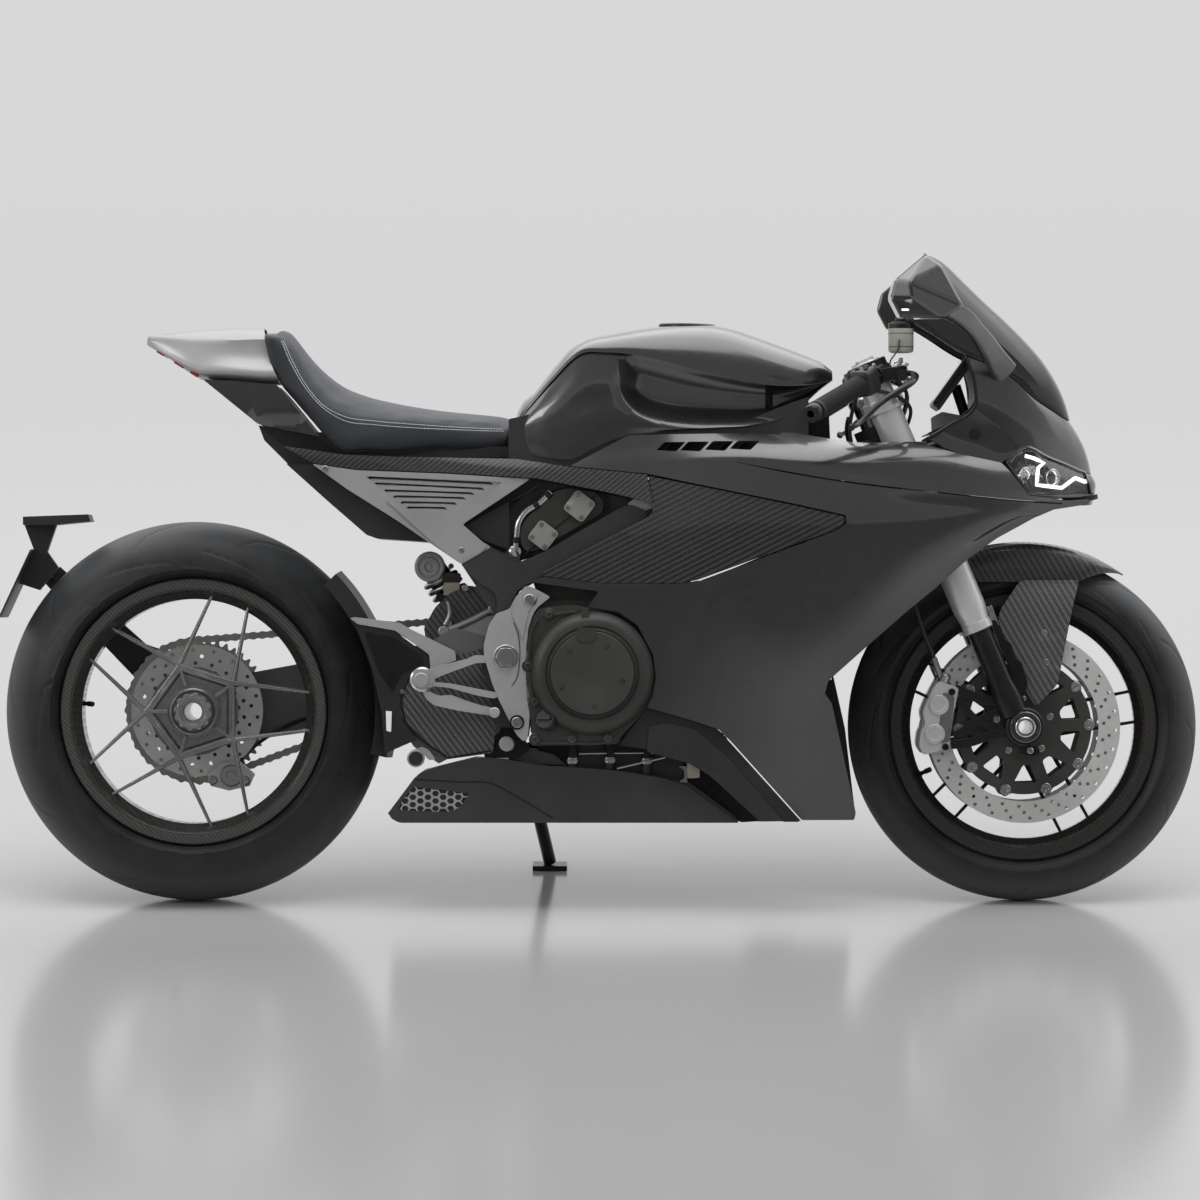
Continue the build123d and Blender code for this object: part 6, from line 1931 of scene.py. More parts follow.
def controls():
    clamp = Build()
    for side in (-1, 1):
        clamp.add(*lathe([(0, 27.2), (0, 33.5), (2, 35), (38, 35), (40, 33.5), (40, 27.2)],
                         alongFork(638, side * forkSpread), upFork, 56, True))
    clamp.done("barClamps", "satinBlack", body="steering", sharp=30, instead=("handlebars",),
               slot="black_metal", bevel=1)
    bar = [(0, 0.1), (0, 15), (20, 13), (24, 11), (gripLong * 0.9, 11), (gripLong * 0.9, 0.1)]
    formed(lathe(bar, gripIn, gripRun, 28)).pair("barTubes", "satinBlack", body="steering",
                                                                  sharp=30)
    # grip with raised ribs
    profile, length, steps = [(0, 11), (0, 18), (4, 18.6), (6, 16.4)], gripLong * 0.54, 54
    gap = (length - 16) / steps
    for k in range(steps):
        at = 8 + (length - 16) * k / steps
        profile += [(at, 15.6), (at + gap * 0.35, 17), (at + gap * 0.75, 17)]
    profile += [(length - 6, 16), (length - 2, 17), (length, 16.4), (length, 11)]
    formed(lathe(profile, onBar(0.36), gripRun, 32)).pair("gripRibs", "rubber",
            body="steering", sharp=40)
    end = [(0, 6), (0, 14.5), (3, 15.8), (16, 15.2), (19, 13.5), (19, 6.5), (4, 6)]
    formed(lathe(end, onBar(0.905), gripRun, 40, True)).pair("barEnds", "satinBlack",
            body="steering", sharp=30, bevel=0.6)
    # switch box: two shells round the bar with buttons
    side, over = gripSide, np.cross(gripWay, gripSide)
    loop = rounded([(-21, -24), (19, -24), (22, 20), (-17, 24)], 9, 5)
    rows = [[onBar(0.2) + gripWay * at + side * p * grow - over * q * grow for p, q in loop]
            for at, grow in ((0, 0.75), (3, 0.96), (6, 1), (34, 1), (39, 0.95), (43, 0.72))]
    points, faces = grid(rows, close=True)
    count = len(loop)
    faces += [list(range(count))[::-1], [5 * count + j for j in range(count)]]
    Build().add(points, faces).pair("switchBoxes", "darkPlastic", body="steering", sharp=34,
                                               merge=0.02, bevel=0.8)
    over = over * np.sign(over[2])
    buttons = Build()
    for at, p, r in ((12, 2, 5.2), (26, -8, 4.2), (26, 9, 4.2)):
        spot = onBar(0.2) + gripWay * at + over * 22 + side * p
        buttons.add(*lathe([(0, r), (4, r), (5.2, r - 1.2), (5.2, 0.1)], spot, over, 18))
    buttons.pair("switchButtons", "rubber", body="steering", sharp=34)
    spot = onBar(0.2) + gripWay * 18 - side * 20 + over * 6
    formed(lathe([(-3, 5), (3.5, 5), (4.8, 3.8), (4.8, 0.1)], spot, -side, 18)).pair(
        "starterButtons", "redPlastic", body="steering", sharp=34)
    # lever with a ball end, its pivot and the pump
    pump = gripIn + gripRun * 0.13 + np.array((30.0, 0, 3))
    tip = gripIn + gripRun * 0.92 + np.array((62.0, 0, -26))
    line = curve([pump + np.array((12, 6, 2)), pump + np.array((32, -16, 0)), pump + np.array((32, -60, -12)),
                  (pump + tip) / 2 + np.array((14, -20, -4)), tip + np.array((6, 16, 2)), tip], 6)
    section = [(5.5 * math.cos(a), 3.6 * math.sin(a)) for a in np.linspace(0, 2 * math.pi, 14, endpoint=False)]
    taper = np.interp(np.linspace(0, 1, len(line)), [0, 0.25, 1], [1.5, 1.25, 0.85])
    blade = formed(sweep(line, section, up=(0, 0, 1), taper=taper))
    blade.add(*lathe([(-6, 0.1), (-5, 4), (0, 6.4), (5, 4), (6, 0.1)], line[-1], gripWay, 16))
    blade.pair("leverBlades", "satinBlack", body="steering", sharp=50, instead=("levers",),
                          slot="black_metal")
    pumpBody = Build()
    pumpBody.add(*lathe([(0, 0.1), (0, 10), (2, 11.6), (38, 11.6), (40, 9.5), (48, 9.5), (48, 0.1)],
                     pump + np.array((14, 32, 10)), (0, -1, -0.29), 32))
    clampLine = [pump + np.array(shift) for shift in ((-30, 0, -3), (-6, 0, 0), (16, 2, 3))]
    pumpBody.add(*sweep(clampLine, flatBar(11, 11)))
    pumpBody.add(*lathe([(-12, 14), (-12, 18), (12, 18), (12, 14)], gripIn + gripRun * 0.11, gripRun, 30, True))
    pumpBody.pair("leverPumps", "satinBlack", body="steering", sharp=34, bevel=1.2)
    fittings = Build()
    fittings.add(*lathe([(0, 0.1), (0, 7.5), (4, 7.5), (5, 6), (5, 0.1)], pump + np.array((20, -8, 14)), (0, 0, 1), 6))
    fittings.add(*lathe([(-9, 0.1), (-9, 6), (-6, 8.6), (6, 8.6), (9, 6), (9, 0.1)], pump + np.array((14, 38, 12)),
                        (1, 0, 0), 20))
    fittings.add(*lathe([(0, 4), (8, 4), (9, 3), (9, 0.1)], pump + np.array((14, 38, 20)), (0, 0, 1), 12))
    fittings.pair("leverFittings", "brightAlloy", body="steering", sharp=34, bevel=0.4)
    screws = []
    for side_ in (1, -1):
        flip = np.array((1, side_, 1))
        for s in (0.09, 0.14):
            screws.append(((gripIn + gripRun * s) * flip + np.array((-2, 0, 17)), (0, 0, 1), (1, 0, 0)))
        screws.append(((pump + np.array((4, -6, 11))) * flip, (0, 0, 1), (1, 0, 0)))
        screws.append((alongFork(658, side_ * -105, 33), aheadFork, upFork))
    scatter("controlScrews", capScrew(4.2, 4.5), screws, finish["brightAlloy"], "steering")
    # fluid reservoir
    cup = pump + np.array((14.0, 27, 10.6))
    foot = cup + np.array((0, 0, 26))
    formed(lathe([(0, 0.1), (0, 15), (1.5, 20), (5, 21.6), (42, 21.6), (42, 0.1)], foot, (0, 0, 1), 44)).done(
        "reservoirCup", "reservoirMilk", body="steering", sharp=34, instead=("reservoir",),
        slot="smoke_plastic")
    formed(lathe([(42, 0.1), (42, 22), (50, 22), (51, 21), (51, 17), (53.6, 16), (53.6, 0.1)], foot, (0, 0, 1),
                       44)).done("reservoirCap", "satinBlack", body="steering", sharp=30, bevel=0.6)
    ridge = Build()
    for z in (10, 33):
        ridge.add(*lathe([(z, 21.5), (z, 21.9), (z + 1, 21.9), (z + 1, 21.5)], foot, (0, 0, 1), 44, True))
    ridge.done("reservoirMarks", "satinBlack", body="steering", sharp=30)
    formed(tube([foot + np.array((0, 0, 2)), cup + np.array((0, 0, 14)), cup + np.array((0, 0, -2))],
                      4.6, 5, 14)).done("reservoirHose", "hose", body="steering")
    arm = [foot + np.array((-4, -20, 22)), foot + np.array((-6, -21, 6)), pump + np.array((-6, 2, 18)),
           pump + np.array((-4, 0, 6))]
    formed(sweep(curve(arm, 6), [(1.2, -5), (1.2, 5), (-1.2, 5), (-1.2, -5)], up=(0, 1, 0.3))).done(
        "reservoirStay", "darkSteel", body="steering", bevel=0.5)
    # cables and hoses from the controls down past the yoke
    runs = Build()
    for points in ([(438, -160, 884), (470, -150, 900), (520, -110, 880), (508, -60, 800), (470, -40, 700)],
                   [(440, -172, 872), (480, -150, 872), (530, -100, 846), (505, -50, 770), (470, -30, 680)],
                   [(438, 160, 884), (476, 150, 902), (530, 110, 880), (512, 60, 800), (474, 40, 700)]):
        runs.add(*tube(points, 3.2, 10, 10))
    runs.done("controlCables", "hose", body="steering")
    key = alongFork(613, 0, -8)
    formed(lathe([(0, 15), (10, 15), (12, 13), (12, 6), (10, 5), (10, 0.1)], key, upFork, 30)).done(
        "ignitionLock", "satinBlack", body="steering", sharp=30)


controls()
print("controls done")


# frame, subframe sides and footrest plates
def seamLine(points, y, wide=1.6, deep=1.2, step=6, corners=()):
    # a thin dark line laid on a flat face
    line = curve([(x, y, z) for x, z in points], step, corners)
    return sweep(line, flatBar(wide / 2, deep / 2), up=(0, 1, 0))


frameOutline = [(-234, 574), (-185, 604), (-156, 586), (-139, 580), (-93, 600), (33, 673), (51, 680), (79, 669),
                (81, 659), (-126, 542), (-140, 535), (-148, 519), (-152, 502), (-177, 493), (-175, 519),
                (-181, 532), (-208, 548)]
subframe = {
    "outline": [(-491, 749), (-414, 738), (-261, 732), (-119, 723), (-231, 648), (-235, 641), (-226, 632),
                (-185, 607), (-236, 578), (-294, 617), (-345, 652), (-431, 706)],
    "slots": [(-397, 723, -181, 713), (-388, 713, -196, 704), (-371, 701, -213, 696), (-354, 691, -228, 688),
              (-342, 681, -243, 679), (-332, 672, -260, 671)],
    "panel": [(-400, 728), (-167, 718), (-182, 704), (-240, 665), (-257, 654), (-303, 658), (-325, 671)],
    "panelBack": [(-411, 735), (-159, 725), (-175, 701), (-235, 658), (-255, 648), (-308, 651), (-332, 666)],
    "fold": [(-366, 688), (-327, 668), (-301, 651), (-257, 648), (-240, 651), (-192, 609), (-209, 590),
             (-232, 576), (-277, 608)],
    "slotHeight": 4.4, "out": -150, "in": -126,
}


def subframeSide():
    slots = []
    for x0, z0, x1, z1 in subframe["slots"]:
        tall = subframe["slotHeight"]
        slots.append(rounded([(x0, z0), (x1, z1), (x1 - 5, z1 + tall), (x0 + 5, z0 + tall)], 2, 4))
    panel = flats(subframe["panel"], 4, 10)
    outer = flats(subframe["outline"], 5, 12)
    made = formed(plate(outer, subframe["out"], subframe["in"], [panel], 16))
    made.pair("subframeSides", "sideGrey", instead=("subframe",), slot="satin_silver", bevel=3)
    wide = flats(subframe["panelBack"], 4, 10)
    formed(plate(wide, subframe["out"] + 3, subframe["in"] - 8, slots, 14)).pair("subframePanels", "sideGrey",
         bevel=1.2)
    # a slanted slat in each slot, over a near-black back that paints the shade inside the slots
    slat = Build()
    for x0, z0, x1, z1 in subframe["slots"]:
        low = [(x0 + 3, subframe["out"] + 4.0, z0 + 0.4), (x1 - 2, subframe["out"] + 4.0, z1 + 0.4)]
        high = [(x0 + 8, subframe["out"] + 9, z0 + 3.2), (x1 - 6, subframe["out"] + 9, z1 + 3.2)]
        slat.add(*grid([low, high]))
    slats = slat.pair("subframeSlats", "sideGrey", sharp=30)
    addWall(slats, 0.8)
    back = flats([(-412, 726), (-170, 716), (-262, 664), (-338, 666)], 4, 14)
    formed(plate(back, -137, -135)).pair("subframeBacks", "void")
    # folded edge along the lower arm
    fold = flats(subframe["fold"], 4, 10)
    formed(plate(fold, subframe["out"] - 2.5, subframe["out"] + 1)).pair("subframeFolds", "sideGrey", bevel=2.2)
    scatter("subframeScrews", capScrew(5, 2.5), facing(151.5, [(-468, 741), (-236, 602)]), finish["steel"])


def frameBeams():
    loop = flats(frameOutline, 7, 10)
    made = formed(plate(loop, -164, -150, step=16))
    made.pair("frameBeams", "frameMetal", bevel=5)
    nodes["main_frame"].data.materials[0] = finish["frameMetal"]
    dark = flats([(-252, 665), (-226, 626), (-175, 563), (-141, 584), (81, 654), (104, 688), (-5, 739),
                  (-108, 731), (-176, 700)], 3, 14)
    formed(plate(dark, -120, -112)).pair("frameBacks", "satinBlack")
    # alloy end showing behind the carbon
    tip = flats([(46, 680), (60, 691), (84, 685), (97, 677), (94, 665), (84, 658), (79, 668)], 3, 8)
    formed(plate(tip, -157, -146)).pair("frameTips", "alloy", bevel=2)
    cover = flats([(-155, 686), (-154, 602), (-199, 619), (-231, 643), (-135, 696), (-100, 718), (-107, 710),
                   (-141, 689)], 3, 14)
    formed(plate(cover, -134, -128)).pair("airboxCovers", "darkPlastic", bevel=1.5)
    upper = flats([(-107, 717), (-73, 717), (9, 700), (16, 677), (9, 665), (-5, 697), (-53, 711), (-80, 704),
                   (-94, 693), (-107, 686), (-128, 673), (-141, 655), (-144, 635), (-154, 604), (-160, 625),
                   (-155, 669), (-135, 690)], 3, 14)
    formed(plate(upper, -132, -124)).pair("loomCovers", "satinBlack", bevel=1.5)


finish["sideGrey"] = grainy("satinSideGrey", (0.34, 0.34, 0.34), (0.4, 0.4, 0.4), 0.5, 0.34, 1500, 0.08)
subframeSide()
frameBeams()
print("frame done")

foot = {
    "plate": [(-126, 542), (-106, 534), (-84, 522), (-92, 516), (-106, 505), (-115, 491), (-122, 468), (-124, 444),
              (-122, 410), (-120, 376), (-119, 335), (-121, 298), (-124, 278), (-131, 277), (-142, 288),
              (-156, 315), (-171, 345), (-183, 374), (-197, 420), (-198, 440), (-189, 474), (-177, 494),
              (-153, 502), (-145, 520)],
    "boss": [(-319, 392), (-306, 399), (-287, 395), (-282, 382), (-288, 368), (-309, 366), (-320, 375)],
    "upperStay": [(-195, 423), (-214, 423), (-226, 417), (-289, 401), (-299, 392), (-292, 378), (-265, 390),
                  (-224, 405), (-210, 410), (-188, 410)],
    "lowerStay": [(-302, 372), (-258, 368), (-207, 354), (-179, 349), (-166, 359), (-183, 361), (-254, 375),
                  (-288, 378), (-299, 378)],
    "lever": [(-302, 362), (-288, 361), (-274, 354), (-253, 356), (-230, 347), (-206, 339), (-182, 334),
              (-172, 325), (-182, 320), (-240, 329), (-281, 338), (-295, 348)],
    "pivot": (-160, 420), "peg": (-302, 382), "screws": [(-120, 518), (-141, 309)],
}


def footrests():
    crease = [(-147, 479), (-141, 465), (-137, 444), (-137, 410), (-142, 383), (-150, 371)]
    made = formed(plate(flats(foot["plate"], 6, 10), -176, -160, step=14))
    for key in ("upperStay", "lowerStay"):
        made.add(*plate(flats(foot[key], 5, 8), -175, -163, step=12))
    made.pair("footrestPlates", "alloyGrey", instead=("footrests",), slot="bare_alloy", bevel=2.6)
    wing = flats([(-142, 519), (-126, 538), (-106, 529), (-109, 516), (-121, 499), (-127, 472), (-132, 448),
                  (-137, 465), (-145, 482), (-151, 495)], 5, 8)
    formed(plate(wing, -178.2, -175)).pair("footrestWings", "alloyGrey", bevel=1.4)
    # painted shade: a darker steel line laid along the plate's crease
    formed(seamLine(crease, -176.2)).pair("footrestCreases", "darkSteel")
    x, z = foot["peg"]
    peg = formed(lathe([(0, 0.1), (0, 12.5), (14, 12.5), (16, 11), (18, 10.6), (108, 10.6), (110, 12.6),
                              (120, 12.6), (122, 11), (122, 0.1)], (x, -163, z), (0, -1, 0), 32))
    peg.pair("pegs", "alloyGrey", sharp=30)
    groove = formed(lathe([(-1.2, 10.4), (-1.2, 11.8), (1.2, 11.8), (1.2, 10.4)], (0, 0, 0), (0, 0, 1), 28,
                                True))
    places = [spot for side in (1, -1) for k in range(14) for spot in facing(186 + 6.2 * k, [(x, z)], (side,))]
    scatter("pegRings", groove, places, finish["alloyGrey"])
    collar = [(0, 14), (0, 19.5), (2, 21), (8, 21), (10, 18), (10, 14)]
    formed(lathe(collar, (x, -163, z), (0, -1, 0), 36, True)).pair("pegCollars", "brightAlloy", sharp=30)
    lever = formed(plate(flats(foot["lever"], 5, 8), -190, -181, step=12))
    lever.add(*lathe([(0, 0.1), (0, 9), (26, 9), (28, 7), (28, 0.1)], (-179, -188, 326), (0, -1, 0), 28))
    lever.add(*lathe([(0, 11.4), (0, 18), (10, 18), (10, 11.4)], (x, -176, z), (0, -1, 0), 32, True))
    lever.pair("pedalArms", "alloyGrey", instead=("pedals",), slot="bare_alloy", bevel=2)
    # pivot: ring, hex nut and pin end
    px, pz = foot["pivot"]
    nut = formed(lathe([(0, 14), (0, 21), (2.5, 21), (3.5, 20), (3.5, 14)], (px, -175.5, pz), (0, -1, 0), 48,
                             True))
    nut.pair("pivotRings", "brightAlloy", sharp=30)
    scatter("pivotNuts", hexNut(17.5, 6, 11), facing(178, [foot["pivot"]]), finish["alloy"])
    pin = formed(lathe([(0, 0.1), (0, 10.6), (5.6, 10.6), (6.4, 9.8), (6.4, 5), (2, 4.4), (2, 0.1)],
                             (px, -178, pz), (0, -1, 0), 36))
    pin.pair("pivotPins", "steel", sharp=30)
    nodes["pivot_pin"].data.materials[0] = finish["steel"]
    scatter("plateScrews", capScrew(9, 5), facing(176.5, foot["screws"]), finish["brightAlloy"])
    rings = Build()
    for sx, sz in foot["screws"]:
        rings.add(*lathe([(0, 9.6), (0, 12.5), (1.5, 12.5), (1.5, 9.6)], (sx, -175.8, sz), (0, -1, 0), 36, True))
    rings.pair("plateRings", "satinBlack", sharp=30)


finish["alloyGrey"] = grainy("castAlloy", (0.32, 0.32, 0.32), (0.4, 0.4, 0.4), 0.45, 0.42, 1600, 0.14)
footrests()
print("footrests done")
# engine: casing, clutch cover, heads, pipes and what shows under it
clutch = {"hub": (-13, 0, 393), "far": (7, 0, 393)}
casing = [(-106, 502), (-85, 506), (-51, 509), (-24, 506), (10, 496), (37, 481), (65, 456), (82, 426), (94, 398),
          (91, 364), (77, 332), (59, 309), (36, 286), (31, 272), (-107, 269), (-117, 277), (-116, 305),
          (-124, 343), (-127, 410), (-125, 444), (-118, 478)]
casingScrews = [(-87, 492), (-122, 405), (-111, 344), (-110, 280), (-48, 281), (13, 282)]


def engine():
    for name, key in (("engine_block", "engineCast"), ("radiator", "satinBlack"), ("sump", "engineCast"),
                      ("exhaust_box", "frameMetal"), ("ducts", "darkPlastic")):
        nodes[name].data.materials[0] = finish[key]
    hub = np.array(clutch["hub"], float)
    # casing wall round the cover, with a boss at each screw
    made = formed(plate(flats(casing, 10, 9), -176, -149, step=18))
    for x, z in casingScrews:
        made.add(*lathe([(-4, 0.1), (-4, 11), (26, 11), (28, 9), (28, 0.1)], (x, -150, z), (0, -1, 0), 24))
    made.done("clutchCasing", "engineCast", sharp=32, bevel=3)
    profile = [(148, 107), (172, 106.5), (184, 104), (192, 100), (199, 94), (202, 87), (202.5, 80), (201, 78),
               (201, 76.6), (203, 75.4), (208, 74), (209, 73)]
    formed(lathe(profile, hub, (0, -1, 0), 120)).done(
        "clutchCover", "engineCast", sharp=28, instead=("clutch_cover",), slot="engine_cast")
    lid = [(205, 73), (205, 70.6), (210.8, 70.4), (211.6, 69.4), (211.6, 34), (210.9, 32), (210.9, 0.1)]
    formed(lathe(lid, hub, (0, -1, 0), 120)).done("clutchLid", "lidCast", sharp=28)
    formed(lathe([(208.5, 70.7), (208.5, 73.2), (209.6, 73.2), (209.6, 70.7)], hub,
                        (0, -1, 0), 120, True)).done("clutchSeam", "void", sharp=28)
    # notched block at the top of the lid, a shallow wedge below it
    block = flats([(-36, 470), (-12, 470), (-7, 466), (-7, 453), (-13, 446), (-33, 446), (-39, 452),
                   (-40, 465)], 4, 6)
    formed(plate(block, -214.5, -204)).done("clutchBlock", "engineCast", bevel=1.6)
    stub = flats([(-31, 503), (-19, 503), (-18, 470), (-32, 470)], 3, 8)
    formed(plate(stub, -199, -180)).done("clutchStub", "engineCast", bevel=2)
    lidScrews = [(-51, 431), (12, 439), (38, 380), (-9, 337), (-64, 369)]
    scatter("lidScrews", domeScrew(4.2, 2.2), facing(211.2, lidScrews, (1,)), finish["darkSteel"])
    scatter("casingScrews", capScrew(6.5, 5), facing(177.5, casingScrews, (1,)), finish["darkSteel"])
    rib = Build()
    for points in ([(-80, 492), (-61, 495), (-38, 497)], [(-106, 484), (-116, 465), (-120, 438), (-121, 414)],
                   [(-120, 397), (-118, 370), (-113, 351)], [(-104, 274), (-53, 274)], [(-43, 274), (8, 275),
                    (29, 282)]):
        rib.add(*sweep(curve([(x, -177, z) for x, z in points], 6), [(2.4, -3), (2.4, 3), (-2.4, 3), (-2.4, -3)],
                       up=(0, 1, 0)))
    rib.done("casingRibs", "engineCast", bevel=1)
    # oil filler
    spot, aim = np.array((-90, -178, 313)), np.array((-0.42, -0.86, 0.3))
    formed(lathe([(-34, 0.1), (-34, 19), (-4, 17), (-4, 0.1)], spot, aim, 40)).done(
        "fillerNeck", "engineCast", sharp=30)
    unit = aim / np.linalg.norm(aim)
    side = np.cross(unit, (0, 0, 1))
    side /= np.linalg.norm(side)
    up, parts = np.cross(side, unit), 48
    angles = [2 * math.pi * k / parts for k in range(parts)]
    solid = [[spot + unit * along + (side * math.cos(a) + up * math.sin(a)) * (base + (0.8 if k % 4 < 2 else 0))
              for k, a in enumerate(angles)] for along, base in ((-4, 16.5), (-3, 17.5), (8, 17.5), (10, 16))]
    points, faces = grid(solid, close=True)
    faces.append([3 * parts + k for k in range(parts)])
    cap = Build().add(points, faces)
    cap.add(*sweep([spot + unit * 11 - side * 12, spot + unit * 11 + side * 12], flatBar(3.4, 4), up=unit))
    cap.done("fillerCap", "darkPlastic", sharp=30, bevel=0.8)
    # head between the frame beams, two square covers and a gasket line
    head = flats([(-84, 700), (-56, 708), (-9, 701), (5, 687), (6, 674), (0, 663), (-107, 602), (-127, 599),
                  (-137, 618), (-134, 645), (-119, 664), (-102, 675)], 12, 9)
    formed(plate(head, -141, -122, step=16)).pair("headCasings", "engineCast", bevel=4)
    covers, screws = Build(), []
    corners = [(1, 0.14), (-0.14, 1), (-1, -0.14), (0.14, -1)]
    for cx, cz, half in ((-35, 677, 27), (-97, 627, 26)):
        square = rounded([(cx + half * dx * 1.08, cz + half * dz * 1.08) for dx, dz in corners], 8, 6)
        covers.add(*plate(square, -150, -139, step=14))
        for dx, dz in corners:
            screws += facing(150, [(cx + half * 0.72 * dx, cz + half * 0.72 * dz)])
    covers.pair("headCovers", "lidPale", slot="engine_cast", bevel=2.4)
    scatter("headScrews", domeScrew(3.8, 2.6), screws, finish["steel"])
    seam = Build()
    for shift in (0, 5):
        line = [(-5, 698), (-52, 659), (-83, 635), (-110, 611), (-130, 594)]
        seam.add(*seamLine([(x - shift * 0.6, z - shift * 0.8) for x, z in line], -141.6, 1.4, 1.4))
    seam.pair("headSeams", "void")
    # bright pipe with clamps, and its joint
    pipe = [(-84, 701), (-102, 683), (-128, 666), (-139, 648), (-142, 625), (-144, 601)]
    formed(tube([(x, -140, z) for x, z in pipe], 5.6, 5, 18)).pair("coolantPipes",
                                                                                 "brightAlloy")
    clamps = Build()
    for k in (0, 1, 4):
        (ax, az), (bx, bz) = pipe[k:k + 2]
        start = np.array((ax, -140, az)) * 0.75 + np.array((bx, -140, bz)) * 0.25
        clamps.add(*lathe([(-5, 5.6), (-5, 7.4), (5, 7.4), (5, 5.6)], start, (bx - ax, 0, bz - az), 28, True))
    clamps.pair("pipeClamps", "satinBlack", sharp=30, bevel=0.5)
    formed(lathe([(-14, 0.1), (-14, 10), (-8, 12), (4, 12), (7, 9), (7, 0.1)], (-145, -138, 599),
                       (0.3, -1, 0.1), 28)).pair("pipeJoints", "brightAlloy", sharp=30, bevel=0.8)
    # stator side
    far = np.array(clutch["far"], float)
    formed(lathe([(149, 90), (170, 88), (182, 83), (189, 74), (192, 68), (192, 0.1)], far, (0, 1, 0), 96)).done(
        "statorCover", "engineCast", sharp=28, instead=("stator_cover",), slot="engine_cast")
    formed(lathe([(190, 60), (195, 58), (196, 55), (196, 24), (194, 20), (194, 0.1)], far, (0, 1, 0), 96)).done(
        "statorLid", "lidCast", sharp=28)
    places = around(far, 8, 22, 80, 184, (0, 1, 0))
    scatter("statorScrews", capScrew(6, 7), places, finish["darkSteel"])
    ribs = Build()
    for k in range(6):
        out = outward(60 * k + 10)
        ribs.add(*sweep([far + out * 60 + np.array((0, 190, 0)), far + out * 86 + np.array((0, 176, 0))],
                        [(3, -4), (3, 4), (-3, 4), (-3, -4)], up=(0, 1, 0)))
    ribs.done("statorRibs", "engineCast", bevel=1)


def underEngine():
    # hoses, clips and brackets in the gap over the exhaust box
    hoses, clips, thin = Build(), Build(), Build()
    for cx, cz in ((-47, 267), (17, 268), (80, 266)):
        hoses.add(*tube([(cx, -118, cz + 8), (cx + 1, -122, cz - 8), (cx, -124, cz - 26),
                         (cx - 1, -120, cz - 44)], 8.5,
                        4, 18))
        clips.add(*lathe([(-5, 8.6), (-5, 10.2), (5, 10.2), (5, 8.6)], (cx, -124, cz - 24), (0, 0, 1), 28, True))
        clips.add(*sweep([(cx - 9, -132.5, cz - 24), (cx + 9, -132.5, cz - 24)], [(2, -2), (2, 2), (-2, 2),
                          (-2, -2)]))
    thin.add(*tube([(-36, -126, 255), (49, -126, 256), (135, -126, 256)], 2.2, 8, 10))
    thin.add(*tube([(29, -132, 230), (111, -132, 249)], 2.4, 8, 10))
    hoses.done("coolantHoses", "rubber", sharp=40)
    clips.done("hoseClips", "brightAlloy", sharp=30, bevel=0.4)
    thin.done("thinPipes", "steel", sharp=40)
    bracket = flats([(148, 248), (169, 250), (170, 214), (149, 213)], 3, 8)
    formed(plate(bracket, -138, -124)).done("sensorBlock", "tan", bevel=1.4)
    strap = flats([(133, 234), (148, 233), (149, 205), (135, 207), (144, 214), (143, 228)], 2, 8)
    formed(plate(strap, -134, -130)).done("sensorStrap", "steel", bevel=0.8)
    # bolt joining block and box, and the stop on the box's rear end
    ends = Build()
    for (x, z), r, y in (((-159, 272), 13, -150), ((-314, 247), 15, -140)):
        ends.add(*lathe([(-22, 0.1), (-22, r), (0, r), (2, r - 2), (2, 0.1)], (x, y, z), (0, -1, 0), 32))
    ends.done("mountBushes", "alloyGrey", sharp=30, bevel=0.8)
    formed(lathe([(0, 0.1), (0, 12), (4, 12), (5, 11), (5, 0.1)], (-314, -142, 247), (0, -1, 0), 32)).done(
        "mountCap", "rubber", sharp=30)
    arm = flats([(-326, 256), (-320, 261), (-303, 267), (-292, 262), (-280, 245), (-292, 244), (-302, 256),
                 (-307, 236), (-320, 236)], 4, 8)
    formed(plate(arm, -138, -120)).done("mountArm", "alloyGrey", bevel=1.4)
    guard_ = flats([(-202, 317), (-173, 331), (-132, 285), (-118, 263), (-138, 248), (-196, 247), (-207, 285)], 4, 8)
    formed(plate(guard_, -126, -108)).done("sumpBracket", "satinBlack", bevel=2)
    lug = flats([(-174, 272), (-167, 282), (-149, 281), (-143, 273), (-148, 260), (-167, 260)], 4, 8)
    formed(plate(lug, -150, -120)).done("pivotLug", "frameMetal", bevel=1.4)


# exhaust box: outline, crease and the honeycomb outlet
box = {
    "outline": [(-308, 222), (-281, 232), (-224, 245), (-196, 249), (-162, 246), (-104, 235), (-56, 233),
                (32, 226), (101, 215), (149, 201), (169, 185), (238, 137), (-342, 137), (-356, 144), (-361, 154),
                (-342, 179)],
    "outlet": [(-317, 199), (-222, 187), (-234, 170), (-244, 160), (-262, 155), (-345, 159), (-336, 177)],
    "crease": [(-314, 211), (-240, 207), (-180, 203), (-158, 191), (-80, 145)],
    "cell": 14.9,
}


